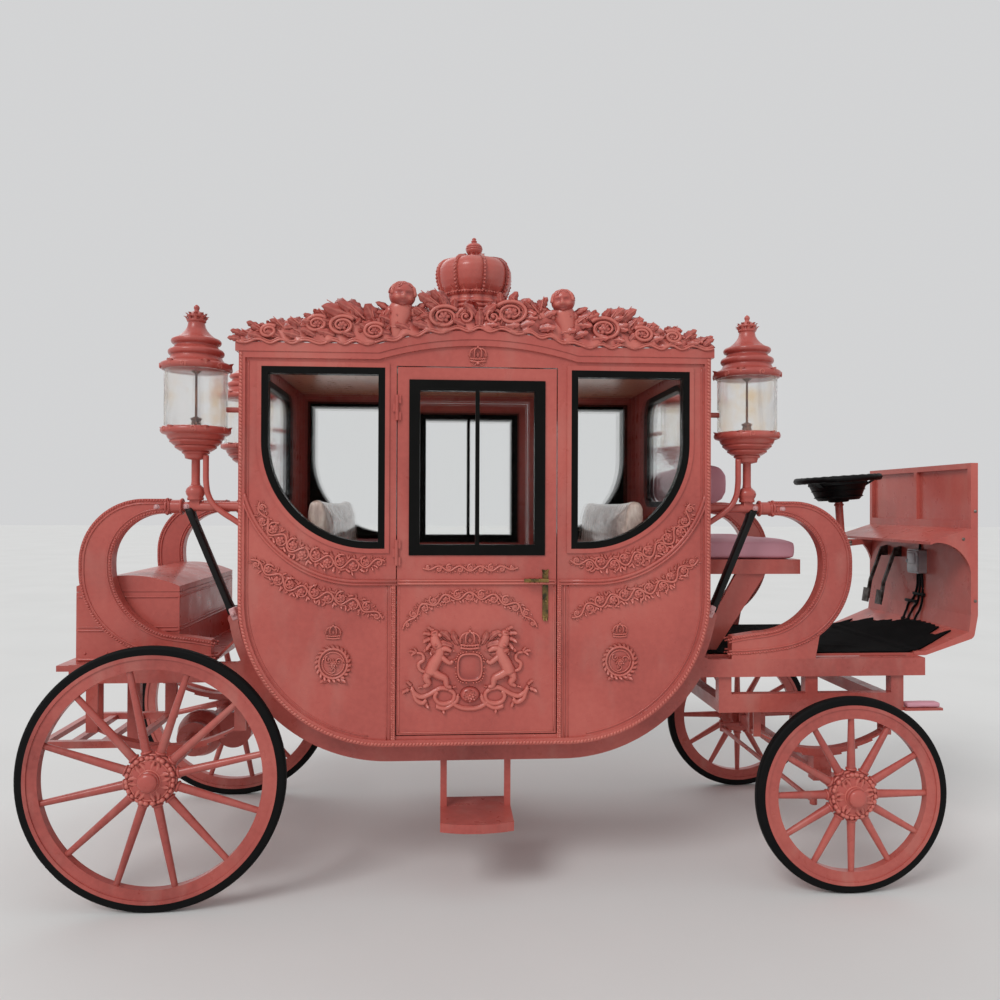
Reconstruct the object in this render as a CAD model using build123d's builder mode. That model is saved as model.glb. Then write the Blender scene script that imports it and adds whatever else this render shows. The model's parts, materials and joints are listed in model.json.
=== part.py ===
from build123d import *
import os
from math import asin, cos, degrees, radians, sin, sqrt

os.makedirs("parts", exist_ok=True)

# Sizes in millimetres. X runs forwards, Y to the carriage's left, Z up.
# The origin is on the ground, under the middle of the whole length.

# Wheels and axles
REAR_AXLE_X = -1600.0
WHEELBASE = 3126.0
FRONT_AXLE_X = REAR_AXLE_X + WHEELBASE
TRACK = 1510.0
WHEEL_Y = TRACK / 2
REAR_WHEEL_R = 575.0
FRONT_WHEEL_R = 448.0
TYRE_WIDTH = 46.0
TYRE_DEPTH = 37.0
TYRE_ROUND = 14.0
TYRE_SEAT = 0.2
FELLOE_DEPTH = 62.0
FELLOE_WIDTH = 40.0
RIM_WIDTH = 50.0
RIM_DEPTH = 16.0
SPOKE_COUNT = 12
SPOKE_HUB_R = 20.0
SPOKE_RIM_R = 13.5
REAR_SPOKE_PHASE = 12.0
FRONT_SPOKE_PHASE = 0.0
HUB_R = 74.0
HUB_FLANGE_R = 106.0
HUB_FLANGE_OUT = 30.0
HUB_INNER = 60.0
NOSE_R = 44.0
NOSE_OUT = 72.0
SPINDLE_R = 20.0
SPINDLE_REACH = 40.0
BEARING_GAP = 0.05

# Cab shell
CAB_X = -185.0
CAB_LENGTH = 2134.0
CAB_WIDTH = 1400.0
CAB_BOTTOM = 684.0
CAB_CORNER_R = 660.0
EAVES_Z = 2447.0
ARCH_Z = 2514.0
ARCH_HALF = 450.0
WALL = 40.0
SEAM = 0.3
MOVING_GAP = 5.0
BEAD_WIDTH = 28.0
BEAD_PROUD = 11.0
TRIM_WIDTH = 20.0
TRIM_PROUD = 7.0
ROOF_THICKNESS = 40.0
ROOF_OVERHANG = 15.0
FLOOR_TOP = 762.0
FLOOR_THICKNESS = 22.0

# Windows and doors, X as distance from the middle of the cab
WINDOW_FRAME = 30.0
WINDOW_FRAME_PROUD = 6.0
GLASS_THICKNESS = 6.0
SIDE_WINDOW_IN = 452.0
SIDE_WINDOW_OUT = 939.0
SIDE_WINDOW_BOTTOM = 1599.0
SIDE_WINDOW_TOP = 2352.0
SIDE_WINDOW_R = 452.0
END_WINDOW_HALF = 380.0
END_WINDOW_BOTTOM = 1790.0
END_WINDOW_R = 90.0
DOOR_X = -191.0
DOOR_WIDTH = 720.0
DOOR_BOTTOM = 733.0
DOOR_TOP = 2387.0
DOOR_WINDOW_WIDTH = 520.0
DOOR_WINDOW_BOTTOM = 1587.0
DOOR_WINDOW_TOP = 2283.0
DOOR_FRAME = 48.0
MULLION = 18.0
HANDLE_INSET = 50.0
HANDLE_Z = 1360.0
HANDLE_PLATE = (26.0, 226.0, 6.0)
LEVER_LENGTH = 100.0
LEVER_R = 8.0
LEVER_OUT = 42.0
WAIST_Z = 1418.0
WAIST_R = 534.0
WAIST_WIDTH = 22.0
PILASTER_WIDTH = 18.0

# Hinges
BARREL_R = 8.0
HINGE_PIN_R = 4.0
HINGE_LENGTH = 114.0
HINGE_LEAF = 18.0
BARREL_GAP = 0.3
BARREL_LIFT = 1.0
DOOR_HINGE_Z = (1551.0, 2203.0)
LID_HINGE_Y = 320.0

# Chassis: two side beams that follow the belly of the cab
BEAM_Y = 506.0
BEAM_THICK = 60.0
BEAM_GAP = 14.0
BEAM_DEPTH = 94.0
RAIL_TOP = 1035.0
RAIL_DEPTH = 85.0
FRAME_REAR_X = -2035.0
ARM_R = 720.0
ARM_DEPTH = 40.0
ARM_END_Z = 1240.0
ARM_EYE_R = 24.0
CROSS_WIDTH = 60.0
REAR_CROSS_X = (-2005.0, -1840.0, -1560.0)
BELLY_CROSS_X = (-560.0, -185.0, 190.0)
FRONT_CROSS_X = 1060.0
LEDGE_X = -2090.0
LEDGE_DROP = 3.0
LEDGE_THICK = 27.0

# C-shaped scrolls that carry the braces
SCROLL_Z = 1500.0
SCROLL_X = -1705.0
SCROLL_OUTER_R = 290.0
SCROLL_INNER_R = 222.0
SCROLL_LOWER_R = 392.0
SCROLL_LOWER_INNER_R = 320.0
SCROLL_INNER_SHIFT = 78.0
SCROLL_LOWER_Z = 1462.0
SCROLL_FOOT_X = -1403.0
SCROLL_TIP_X = -1600.0
BAR_Z = 1755.0
BAR_R = 22.0
FERRULE_R = 31.0
FERRULE_LENGTH = 70.0
PAD_SIZE = 44.0
PAD_TOP = 1786.0

# Leather braces
BRACE_WIDTH = 50.0
BRACE_THICK = 24.0
BRACE_TOP_X = -1520.0

# Lamps, X as distance from the middle of the cab
LAMP_OUT = 1300.0
LAMP_Y = BEAM_Y + BEAM_THICK / 2
GLASS_R = 140.0
GLASS_WALL = 5.0
GLASS_BOTTOM = 2120.0
GLASS_TOP = 2380.0
LAMP_ROD_R = 6.0
LAMP_BAR_Z = 2203.0
LAMP_BAR_R = 9.0
LAMP_STEM_R = 22.0
SIDE_STEM_R = 11.0

# Crown on the roof
PEDESTAL_R = 190.0
CIRCLET_R = 160.0
CIRCLET_LIP = 8.0
CIRCLET_BASE = 2740.0
CIRCLET_TOP = 2870.0
CAP_R = 200.0
CAP_WIDEST = 2990.0
CAP_TOP = 3098.0
CAP_SHOULDER = 0.62
ORB_R = 30.0
FINIAL_R = 9.0
FINIAL_TOP = 3198.0
RIB_WIDTH = 26.0
RIB_PROUD = 10.0

# Cresting round the roof edge
CREST_THICK = 34.0
CREST_RAIL = 58.0
CREST_INSET = 20.0

# Trunk behind the cab
TRUNK_REAR_X = -2031.0
TRUNK_FRONT_X = -1566.0
TRUNK_HALF_WIDTH = 498.0
TRUNK_SEAM_Z = 1357.0
TRUNK_WALL = 18.0
LID_GAP = 2.0
LID_EDGE_Z = 1385.0
LID_APEX_Z = 1435.0
FOOTWELL_FLAT_X = -1400.0
FOOTWELL_END_X = -1300.0
FOOTWELL_END_Z = 1150.0
FOOTWELL_SHEET = 12.0

# Footman's step at the rear
STEP_REAR_X = -2300.0
STEP_Z = 600.0
STEP_HALF_WIDTH = 300.0
STEP_BAR = 34.0
STEP_RUNGS = 4
STEP_POST_X = -1840.0

# Cab furniture
BENCH_FRONT = 395.0
BENCH_BACK = 775.0
BENCH_TOP = 1120.0
BENCH_BOARD = 20.0
CUSHION_THICK = 120.0
BACKREST_TOP = 1800.0
BACKREST_THICK = 170.0
SEAT_HALF_WIDTH = 640.0
SOFT_GAP = 0.5
SEAT_INSET = 4.0

# Driver's end
FLOOR_REAR_X = 850.0
FLOOR_HALF_WIDTH = 500.0
FLOOR_SHEET = 12.0
CARPET_THICK = 6.0
DASH_AHEAD = 310.0
DASH_TOP = 1985.0
DASH_THICK = 36.0
DASH_HALF_WIDTH = 500.0
DASH_FOOT_LAP = 18.0
DASH_FOOT = 60.0
DASH_TOE_BACK = 20.0
DASH_TOE_RISE = 83.0
DASH_KNEE_RISE = 110.0
DASH_BEND_R = 30.0
DASH_SHEET = 20.0
RECESS_DEPTH = 18.0
RECESS_BOTTOM = 1700.0
RECESS_FRAME = 28.0
SHELF_REACH = 245.0
SHELF_REAR_Z = 1593.0
SHELF_FRONT_Z = 1660.0
SHELF_THICK = 14.0
CHEEK_THICK = 20.0
CHEEK_R = 150.0
SEAT_REAR_X = 890.0
SEAT_FRONT_X = 1430.0
SEAT_BOARD_Z = 1430.0
SEAT_BOARD_THICK = 72.0
SEAT_CUSHION_THICK = 92.0
DRIVER_HALF_WIDTH = 420.0
STRUT_THICK = 24.0
STRUT_FOOT_X = (900.0, 1010.0)
STRUT_TOP_X = (1110.0, 1260.0)
STRUT_INSET = 16.0
ROLL_DEPTH = 174.0
ROLL_LOW = 1775.0
ROLL_HIGH = 1975.0
ROLL_ROUND = 75.0
SEAT_ROUND = 30.0
ROLL_CLEAR = WINDOW_FRAME_PROUD + SOFT_GAP

# Fuse box and pedals
FUSE_Y = -60.0
FUSE_Z = 1470.0
FUSE_SIZE = (46.0, 110.0, 130.0)
FUSE_ROUND = 8.0
PEDAL_Z = 1483.0
PEDAL_SPREAD = 75.0
PEDAL_ARM = 14.0
PEDAL_WIDTH = 62.0

# Steering
COLUMN_BEHIND = 40.0
COLUMN_Y = 220.0
COLUMN_TILT = 4.0
COLUMN_R = 22.0
COLUMN_BOTTOM = 1555.0
COLUMN_TOP = 1800.0
SHAFT_R = 12.0
BOWL_R = 157.0
BOWL_FLOOR_R = 123.0
BOWL_HEIGHT = 95.0
BOWL_WALL = 12.0
BOWL_PLATE = 16.0
HUB_BOSS_R = 40.0
STEERING_SPOKE = 32.0
SPOKE_DEPTH = 14.0
STEERING_R = 222.0
STEERING_RIM_R = 13.0
STEERING_RIM_Z = 1925.0
KINGPIN_Y = 650.0
KINGPIN_R = 11.0
BEAM_EYE_R = 25.0
BEAM_EYE_HALF = 25.0
EAR_GAP = 3.0
EAR_THICK = 18.0
EAR_R = 27.0
EAR_HALF = 22.0
STEER_ARM_HALF = 14.0
STEER_ARM = 130.0
TIE_ROD_R = 12.0
TIE_PIN_R = 8.0
TIE_EYE_R = 17.0
TIE_EYE_HALF = 15.0
TIE_GAP = 3.0

# Axles and springs
AXLE_R = 35.0
AXLE_END_GAP = 5.0
DIFF_R = 118.0
MOTOR_R = 92.0
MOTOR_LENGTH = 240.0
FRONT_BEAM = 50.0
NECK_HALF = 16.0
SEAT_BLOCK_HALF = 45.0
SEAT_BLOCK_SIDE = 6.0
SPRING_WIDTH = 50.0
LEAF = 9.0
LEAF_COUNT = 4
REAR_SPRING_HALF = 330.0
FRONT_SPRING_SHARE = 0.6
SPRING_RISE_SHARE = 0.279
REAR_SPRING_Y = BEAM_Y + BEAM_THICK / 2
FRONT_SPRING_Y = 430.0
SPRING_SEAT = 16.0
FRONT_SEAT_BLOCK = 45.0
SPRING_EYE_R = 15.0
HANGER_PLATE = 10.0

# Front frame under the driver's floor
LOWER_RAIL_TOP = 865.0
LOWER_RAIL_DEPTH = 88.0
LOWER_RAIL_Y = 500.0
LOWER_RAIL_THICK = 50.0
POST_REAR_X = 975.0
POST_MID_BEHIND = 126.0
POST_EYE_MARGIN = 33.4
FRAME_NOSE = 100.0
POST_WIDTH = 62.0
PAD_REACH = 190.0
PAD_Z = 790.0

# Door steps
STRAP_X = (-338.0, -40.0)
STRAP_WIDTH = 30.0
STRAP_THICK = 10.0
TREAD_TOP = 360.0
TREAD_THICK = 12.0
TREAD_OUT = 800.0
TREAD_IN = 430.0
TREAD_LIP = 40.0

# Values that follow from the ones above
CAB_REAR = CAB_X - CAB_LENGTH / 2
CAB_FRONT = CAB_X + CAB_LENGTH / 2
SKIN_Y = CAB_WIDTH / 2
LINING_Y = SKIN_Y - WALL
CORNER_Z = CAB_BOTTOM + CAB_CORNER_R
CORNER_REAR_X = CAB_REAR + CAB_CORNER_R
CORNER_FRONT_X = CAB_FRONT - CAB_CORNER_R
BEAM_IN_R = CAB_CORNER_R + BEAM_GAP
BEAM_OUT_R = BEAM_IN_R + BEAM_DEPTH
RAIL_BOTTOM = RAIL_TOP - RAIL_DEPTH
BEAM_OUTER_Y = BEAM_Y + BEAM_THICK
DOOR_REAR = DOOR_X - DOOR_WIDTH / 2
DOOR_FRONT = DOOR_X + DOOR_WIDTH / 2
HINGE_X = DOOR_REAR - MOVING_GAP / 2
HINGE_LIFT = BARREL_R + BARREL_LIFT
FRONT_SPRING_HALF = FRONT_SPRING_SHARE * (FRONT_AXLE_X - POST_REAR_X)
POST_FRONT_X = FRONT_AXLE_X + FRONT_SPRING_HALF + POST_EYE_MARGIN
POST_MID_X = FRONT_AXLE_X - POST_MID_BEHIND
FRAME_FRONT_X = POST_FRONT_X + FRAME_NOSE
DASH_X = FRAME_FRONT_X + DASH_AHEAD
DASH_FOOT_X = FRAME_FRONT_X - DASH_FOOT_LAP
SHELF_REAR_X = DASH_X - SHELF_REACH
COLUMN_X = FRAME_FRONT_X - COLUMN_BEHIND


def wall_plane(y):
    """Plane that faces -Y at this Y: its x is X and its y is Z."""
    return Plane.XZ.offset(-y)


def polar(centre, radius, angle):
    """Point at a radius and an angle in degrees about a centre."""
    return (
        centre[0] + radius * cos(radians(angle)),
        centre[1] + radius * sin(radians(angle)),
    )


def ring_sector(centre, inner, outer, start, end):
    """Flat face between two radii and two angles."""
    middle = (start + end) / 2
    with BuildSketch() as shape:
        with BuildLine():
            ThreePointArc(
                polar(centre, inner, start),
                polar(centre, inner, middle),
                polar(centre, inner, end),
            )
            Line(polar(centre, inner, end), polar(centre, outer, end))
            ThreePointArc(
                polar(centre, outer, end),
                polar(centre, outer, middle),
                polar(centre, outer, start),
            )
            Line(polar(centre, outer, start), polar(centre, inner, start))
        make_face()
    return shape.sketch


def rectangle(x0, z0, x1, z1):
    """Flat face between two corners."""
    with BuildSketch() as shape:
        with Locations(((x0 + x1) / 2, (z0 + z1) / 2)):
            Rectangle(abs(x1 - x0), abs(z1 - z0))
    return shape.sketch


def polygon(*points):
    """Flat face inside straight lines."""
    with BuildSketch() as shape:
        with BuildLine():
            Polyline(*points, close=True)
        make_face()
    return shape.sketch


def box_between(low, high):
    """Box between two corners, not yet in any part."""
    size = [high[i] - low[i] for i in range(3)]
    middle = [(high[i] + low[i]) / 2 for i in range(3)]
    return Pos(*middle) * Box(*size, mode=Mode.PRIVATE)


def rod(radius, z0, z1):
    """Cylinder along z between two heights, not yet in any part."""
    return Pos(0, 0, (z0 + z1) / 2) * Cylinder(radius, z1 - z0, mode=Mode.PRIVATE)


def rod_y(radius, x, z, y0, y1):
    """Cylinder along Y between two places, not yet in any part."""
    plane = Plane(origin=(x, 0, z), x_dir=(1, 0, 0), z_dir=(0, 1, 0))
    return plane.location * rod(radius, min(y0, y1), max(y0, y1))


def rod_z(radius, x, y, z0, z1):
    """Upright cylinder between two heights, not yet in any part."""
    return Pos(x, y, 0) * rod(radius, z0, z1)


def cab_outline(inset, top_inset):
    """Side outline of the cab: arched top, round lower corners."""
    left = CAB_REAR + inset
    right = CAB_FRONT - inset
    bottom = CAB_BOTTOM + inset
    top = EAVES_Z - top_inset
    crest = ARCH_Z - top_inset
    radius = CAB_CORNER_R - inset
    arch_rear = (CAB_X - ARCH_HALF, top)
    arch_front = (CAB_X + ARCH_HALF, top)
    with BuildSketch() as shape:
        with BuildLine():
            Polyline(arch_rear, (left, top), (left, CORNER_Z))
            ThreePointArc(
                (left, CORNER_Z),
                polar((CORNER_REAR_X, CORNER_Z), radius, 225),
                (CORNER_REAR_X, bottom),
            )
            Line((CORNER_REAR_X, bottom), (CORNER_FRONT_X, bottom))
            ThreePointArc(
                (CORNER_FRONT_X, bottom),
                polar((CORNER_FRONT_X, CORNER_Z), radius, 315),
                (right, CORNER_Z),
            )
            Polyline((right, CORNER_Z), (right, top), arch_front)
            ThreePointArc(arch_front, (CAB_X, crest), arch_rear)
        make_face()
    return shape.sketch


def side_window(end, grow):
    """Side window with one round lower corner; end is -1 rear or 1 front."""
    inner = CAB_X + end * (SIDE_WINDOW_IN - grow)
    outer = CAB_X + end * (SIDE_WINDOW_OUT + grow)
    bottom = SIDE_WINDOW_BOTTOM - grow
    top = SIDE_WINDOW_TOP + grow
    radius = SIDE_WINDOW_R + grow
    centre = (outer - end * radius, bottom + radius)
    arc_start = (outer, centre[1])
    arc_middle = polar(centre, radius, 270 + 45 * end)
    arc_end = (centre[0], bottom)
    with BuildSketch() as shape:
        with BuildLine():
            Polyline(arc_end, (inner, bottom), (inner, top), (outer, top), arc_start)
            ThreePointArc(arc_start, arc_middle, arc_end)
        make_face()
    return shape.sketch


def end_window(grow):
    """Window in the front and rear walls, in Y and Z."""
    with BuildSketch() as shape:
        with Locations((0, (END_WINDOW_BOTTOM + SIDE_WINDOW_TOP) / 2)):
            RectangleRounded(
                2 * (END_WINDOW_HALF + grow),
                SIDE_WINDOW_TOP - END_WINDOW_BOTTOM + 2 * grow,
                END_WINDOW_R + grow,
            )
    return shape.sketch


def door_window(grow):
    """Door window, in X and Z."""
    return rectangle(
        DOOR_X - DOOR_WINDOW_WIDTH / 2 - grow,
        DOOR_WINDOW_BOTTOM - grow,
        DOOR_X + DOOR_WINDOW_WIDTH / 2 + grow,
        DOOR_WINDOW_TOP + grow,
    )


def hinge_plane(centre, axis, leaf):
    """Plane of a hinge: z along the pin, x to the moving leaf."""
    return Plane(origin=centre, x_dir=leaf, z_dir=axis)


def hinge_barrel(z0, z1):
    """Barrel and its leaf between two heights on the pin, leaf to +x and +y."""
    leaf = box_between((MOVING_GAP / 2, 0, z0), (HINGE_LEAF, HINGE_LIFT, z1))
    return rod(BARREL_R, z0, z1) + leaf


def moving_hinge(plane):
    """The two outer barrels with the pin, on the moving piece."""
    third = HINGE_LENGTH / 6
    half = HINGE_LENGTH / 2
    upper = hinge_barrel(third + BARREL_GAP, half)
    lower = hinge_barrel(-half, -third - BARREL_GAP)
    pin = rod(HINGE_PIN_R, 2 - half, half - 2)
    return plane.location * (upper + lower + pin)


def fixed_hinge(plane):
    """The middle barrel, bored for the pin, on the fixed piece."""
    third = HINGE_LENGTH / 6
    leaf = box_between((-HINGE_LEAF, 0, -third), (-MOVING_GAP / 2, HINGE_LIFT, third))
    bore = rod(HINGE_PIN_R + BEARING_GAP, -HINGE_LENGTH, HINGE_LENGTH)
    return plane.location * (rod(BARREL_R, -third, third) + leaf - bore)


def door_hinges(side):
    """Planes of the door's two hinges, on the outer skin at its rear edge."""
    y = side * (SKIN_Y + HINGE_LIFT)
    return [hinge_plane((HINGE_X, y, z), (0, 0, -side), (1, 0, 0)) for z in DOOR_HINGE_Z]


def lid_hinges():
    """Planes of the trunk lid's two hinges, on the back of the trunk."""
    x = TRUNK_REAR_X - HINGE_LIFT
    z = TRUNK_SEAM_Z + LID_GAP / 2
    return [hinge_plane((x, y, z), (0, 1, 0), (0, 0, 1)) for y in (-LID_HINGE_Y, LID_HINGE_Y)]


def spring_eye_z(base, half_span):
    """Height of a leaf spring's eyes above a spring base."""
    rise = SPRING_RISE_SHARE * half_span
    radius = (half_span**2 + rise**2) / (2 * rise)
    pack = LEAF * (LEAF_COUNT - 1)
    return base + pack + radius - (radius - LEAF / 2) * (1 - rise / radius)


def finish(part, name):
    """Label a finished piece and write it."""
    part.label = name
    export_step(part, f"parts/{name}.step")


# Chassis frame: side beams in one with the rails, brace arms and cross members
rear_corner = (CORNER_REAR_X, CORNER_Z)
rear_spring_base = REAR_WHEEL_R + AXLE_R + SPRING_SEAT
rear_eye_z = spring_eye_z(rear_spring_base, REAR_SPRING_HALF)
rail_reach = sqrt(BEAM_IN_R**2 - (CORNER_Z - RAIL_TOP) ** 2) + 2
arm_top_angle = degrees(asin((CORNER_Z - ARM_END_Z) / ARM_R))
beam_start_angle = degrees(asin((CORNER_Z - RAIL_TOP) / BEAM_OUT_R))
arm_eye = polar(rear_corner, ARM_R, 180 + arm_top_angle)
with BuildPart() as chassis_frame:
    with BuildSketch(wall_plane(-BEAM_Y)):
        add(rectangle(FRAME_REAR_X, RAIL_BOTTOM, CORNER_REAR_X - rail_reach, RAIL_TOP))
        add(ring_sector(rear_corner, BEAM_IN_R, BEAM_OUT_R, 180 + beam_start_angle, 270))
        add(
            ring_sector(
                rear_corner,
                ARM_R - ARM_DEPTH / 2,
                ARM_R + ARM_DEPTH / 2,
                180 + arm_top_angle,
                184 + beam_start_angle,
            )
        )
        with Locations(arm_eye):
            Circle(ARM_EYE_R)
        add(
            rectangle(
                CORNER_REAR_X - 1,
                CORNER_Z - BEAM_OUT_R,
                CAB_X + 1,
                CORNER_Z - BEAM_IN_R,
            )
        )
        mirror(about=Plane.YZ.offset(CAB_X))
        add(
            rectangle(
                2 * CAB_X - CORNER_REAR_X + rail_reach,
                RAIL_BOTTOM,
                FRAME_FRONT_X,
                RAIL_TOP,
            )
        )
    extrude(amount=BEAM_THICK)
    for end in (-1, 1):
        eye_x = REAR_AXLE_X + end * REAR_SPRING_HALF
        for sign in (-1, 1):
            near = -REAR_SPRING_Y + sign * (SPRING_WIDTH / 2 + SEAM)
            far = near + sign * HANGER_PLATE
            add(
                box_between(
                    (eye_x - 26, min(near, far), rear_eye_z - 20),
                    (eye_x + 26, max(near, far), RAIL_BOTTOM + 1),
                )
            )
    mirror(about=Plane.XZ)
    for x in (*REAR_CROSS_X, FRONT_CROSS_X, FRAME_FRONT_X - CROSS_WIDTH / 2):
        add(
            box_between(
                (x - CROSS_WIDTH / 2, -BEAM_Y - 1, RAIL_BOTTOM),
                (x + CROSS_WIDTH / 2, BEAM_Y + 1, RAIL_TOP),
            )
        )
    for x in BELLY_CROSS_X:
        add(
            box_between(
                (x - CROSS_WIDTH / 2, -BEAM_Y - 1, CORNER_Z - BEAM_OUT_R),
                (x + CROSS_WIDTH / 2, BEAM_Y + 1, CAB_BOTTOM),
            )
        )
    add(
        box_between(
            (LEDGE_X, -BEAM_OUTER_Y, RAIL_TOP - LEDGE_DROP - LEDGE_THICK),
            (FRAME_REAR_X + 1, BEAM_OUTER_Y, RAIL_TOP - LEDGE_DROP),
        )
    )
finish(chassis_frame.part, "chassis_frame")


# Front frame: lower rails, posts and the lugs that the front springs hang from
front_spring_base = FRONT_WHEEL_R + FRONT_BEAM / 2 + FRONT_SEAT_BLOCK + SPRING_SEAT
front_eye_z = spring_eye_z(front_spring_base, FRONT_SPRING_HALF)
lower_rail_bottom = LOWER_RAIL_TOP - LOWER_RAIL_DEPTH
with BuildPart() as front_frame:
    with BuildSketch(wall_plane(-LOWER_RAIL_Y)):
        add(rectangle(POST_REAR_X, lower_rail_bottom, POST_FRONT_X, LOWER_RAIL_TOP))
        for x in (POST_REAR_X, POST_MID_X, POST_FRONT_X - POST_WIDTH):
            add(rectangle(x, lower_rail_bottom, x + POST_WIDTH, RAIL_BOTTOM))
    extrude(amount=LOWER_RAIL_THICK)
    for end in (-1, 1):
        eye_x = FRONT_AXLE_X + end * FRONT_SPRING_HALF
        lug_top = lower_rail_bottom + 34
        add(
            box_between(
                (eye_x - 20, -LOWER_RAIL_Y - 1, lower_rail_bottom),
                (eye_x + 20, -FRONT_SPRING_Y + SPRING_WIDTH / 2 + HANGER_PLATE, lug_top),
            )
        )
        for y in (
            -FRONT_SPRING_Y - SPRING_WIDTH / 2 - SEAM - HANGER_PLATE,
            -FRONT_SPRING_Y + SPRING_WIDTH / 2 + SEAM,
        ):
            add(
                box_between(
                    (eye_x - 18, y, front_eye_z - 20),
                    (eye_x + 18, y + HANGER_PLATE - SEAM, lower_rail_bottom + 1),
                )
            )
    mirror(about=Plane.XZ)
    for x in (POST_REAR_X + 30, POST_FRONT_X - 30):
        add(
            box_between(
                (x - 30, -LOWER_RAIL_Y - 1, lower_rail_bottom),
                (x + 30, LOWER_RAIL_Y + 1, lower_rail_bottom + 60),
            )
        )
finish(front_frame.part, "front_frame")

# C-shaped scrolls with the ferrule and the bar that runs to the cab
scroll_top = SCROLL_Z + SCROLL_OUTER_R
upper = (SCROLL_X, SCROLL_Z)
lower_outer = (SCROLL_X - SCROLL_OUTER_R + SCROLL_LOWER_R, SCROLL_LOWER_Z)
upper_inner = (SCROLL_X + SCROLL_INNER_SHIFT, SCROLL_Z)
lower_inner = (upper_inner[0] - SCROLL_INNER_R + SCROLL_LOWER_INNER_R, SCROLL_LOWER_Z + 20)
foot_angle = 234.0
foot_start = polar(lower_outer, SCROLL_LOWER_R, foot_angle)
tip_bottom = SCROLL_Z + SCROLL_INNER_R
inner_left = (upper_inner[0] - SCROLL_INNER_R, SCROLL_Z)
inner_low = (lower_inner[0], lower_inner[1] - SCROLL_LOWER_INNER_R)
foot_top = inner_low[1] - 18
scroll_plane = wall_plane(-BEAM_Y)
with BuildSketch() as scroll_face:
    with BuildLine():
        Line((SCROLL_TIP_X, tip_bottom), (SCROLL_TIP_X, scroll_top))
        Line((SCROLL_TIP_X, scroll_top), (SCROLL_X, scroll_top))
        ThreePointArc(
            (SCROLL_X, scroll_top),
            polar(upper, SCROLL_OUTER_R, 135),
            (SCROLL_X - SCROLL_OUTER_R, SCROLL_Z),
        )
        Line((SCROLL_X - SCROLL_OUTER_R, SCROLL_Z), (SCROLL_X - SCROLL_OUTER_R, SCROLL_LOWER_Z))
        ThreePointArc(
            (SCROLL_X - SCROLL_OUTER_R, SCROLL_LOWER_Z),
            polar(lower_outer, SCROLL_LOWER_R, (180 + foot_angle) / 2),
            foot_start,
        )
        Polyline(
            foot_start,
            (foot_start[0] + 20, RAIL_TOP),
            (SCROLL_FOOT_X, RAIL_TOP),
            (SCROLL_FOOT_X, foot_top),
            inner_low,
        )
        ThreePointArc(
            inner_low,
            polar(lower_inner, SCROLL_LOWER_INNER_R, 225),
            (inner_left[0], lower_inner[1]),
        )
        Line((inner_left[0], lower_inner[1]), inner_left)
        ThreePointArc(
            inner_left,
            polar(upper_inner, SCROLL_INNER_R, 135),
            (upper_inner[0], tip_bottom),
        )
        Line((upper_inner[0], tip_bottom), (SCROLL_TIP_X, tip_bottom))
    make_face()
bar_y = -LAMP_Y
with BuildPart() as c_scrolls:
    with BuildSketch(scroll_plane):
        add(scroll_face.sketch)
    extrude(amount=BEAM_THICK)
    with BuildSketch(Plane.YZ.offset(SCROLL_TIP_X - 12)):
        with Locations((bar_y, BAR_Z)):
            Circle(BAR_R)
    extrude(amount=CAB_REAR - SCROLL_TIP_X + 12)
    with BuildSketch(Plane.YZ.offset(SCROLL_TIP_X - 12)):
        with Locations((bar_y, BAR_Z)):
            Circle(FERRULE_R)
    extrude(amount=FERRULE_LENGTH)
    lamp_x = CAB_X - LAMP_OUT
    add(
        box_between(
            (lamp_x - PAD_SIZE / 2, bar_y - PAD_SIZE / 2, BAR_Z),
            (lamp_x + PAD_SIZE / 2, bar_y + PAD_SIZE / 2, PAD_TOP),
        )
    )
    mirror(about=Plane.YZ.offset(CAB_X))
    mirror(about=Plane.XZ)
finish(c_scrolls.part, "c_scrolls")

# Leather braces from the bars down to the eyes of the brace arms
brace_dx = arm_eye[0] - BRACE_TOP_X
brace_dz = arm_eye[1] - BAR_Z
brace_length = sqrt(brace_dx**2 + brace_dz**2)
brace_angle = degrees(asin(-brace_dz / brace_length))
brace_middle = ((arm_eye[0] + BRACE_TOP_X) / 2, (arm_eye[1] + BAR_Z) / 2)
with BuildPart() as leather_braces:
    with BuildSketch(wall_plane(bar_y + BRACE_WIDTH / 2)):
        with Locations(Location((*brace_middle, 0), (0, 0, -brace_angle))):
            Rectangle(brace_length, BRACE_THICK)
        with Locations(arm_eye):
            Circle(ARM_EYE_R + SEAM, mode=Mode.SUBTRACT)
    extrude(amount=BRACE_WIDTH)
    with BuildSketch(Plane.YZ.offset(BRACE_TOP_X - 100)):
        with Locations((bar_y, BAR_Z)):
            Circle(BAR_R + SEAM)
    extrude(amount=200, mode=Mode.SUBTRACT)
    add(
        box_between(
            (BRACE_TOP_X - 100, bar_y - 100, BAR_Z - BAR_R / 2),
            (BRACE_TOP_X + 100, bar_y + 100, BAR_Z + 100),
        ),
        mode=Mode.SUBTRACT,
    )
    mirror(about=Plane.YZ.offset(CAB_X))
    mirror(about=Plane.XZ)
finish(leather_braces.part, "leather_braces")

# Cab side walls, each with its two windows, door opening and mouldings
waist_centre = (CAB_REAR + WAIST_R + 2, WAIST_Z + WAIST_R)
opening_low = DOOR_BOTTOM - MOVING_GAP
opening_high = DOOR_TOP + MOVING_GAP
opening_rear = DOOR_REAR - MOVING_GAP
opening_front = DOOR_FRONT + MOVING_GAP


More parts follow.
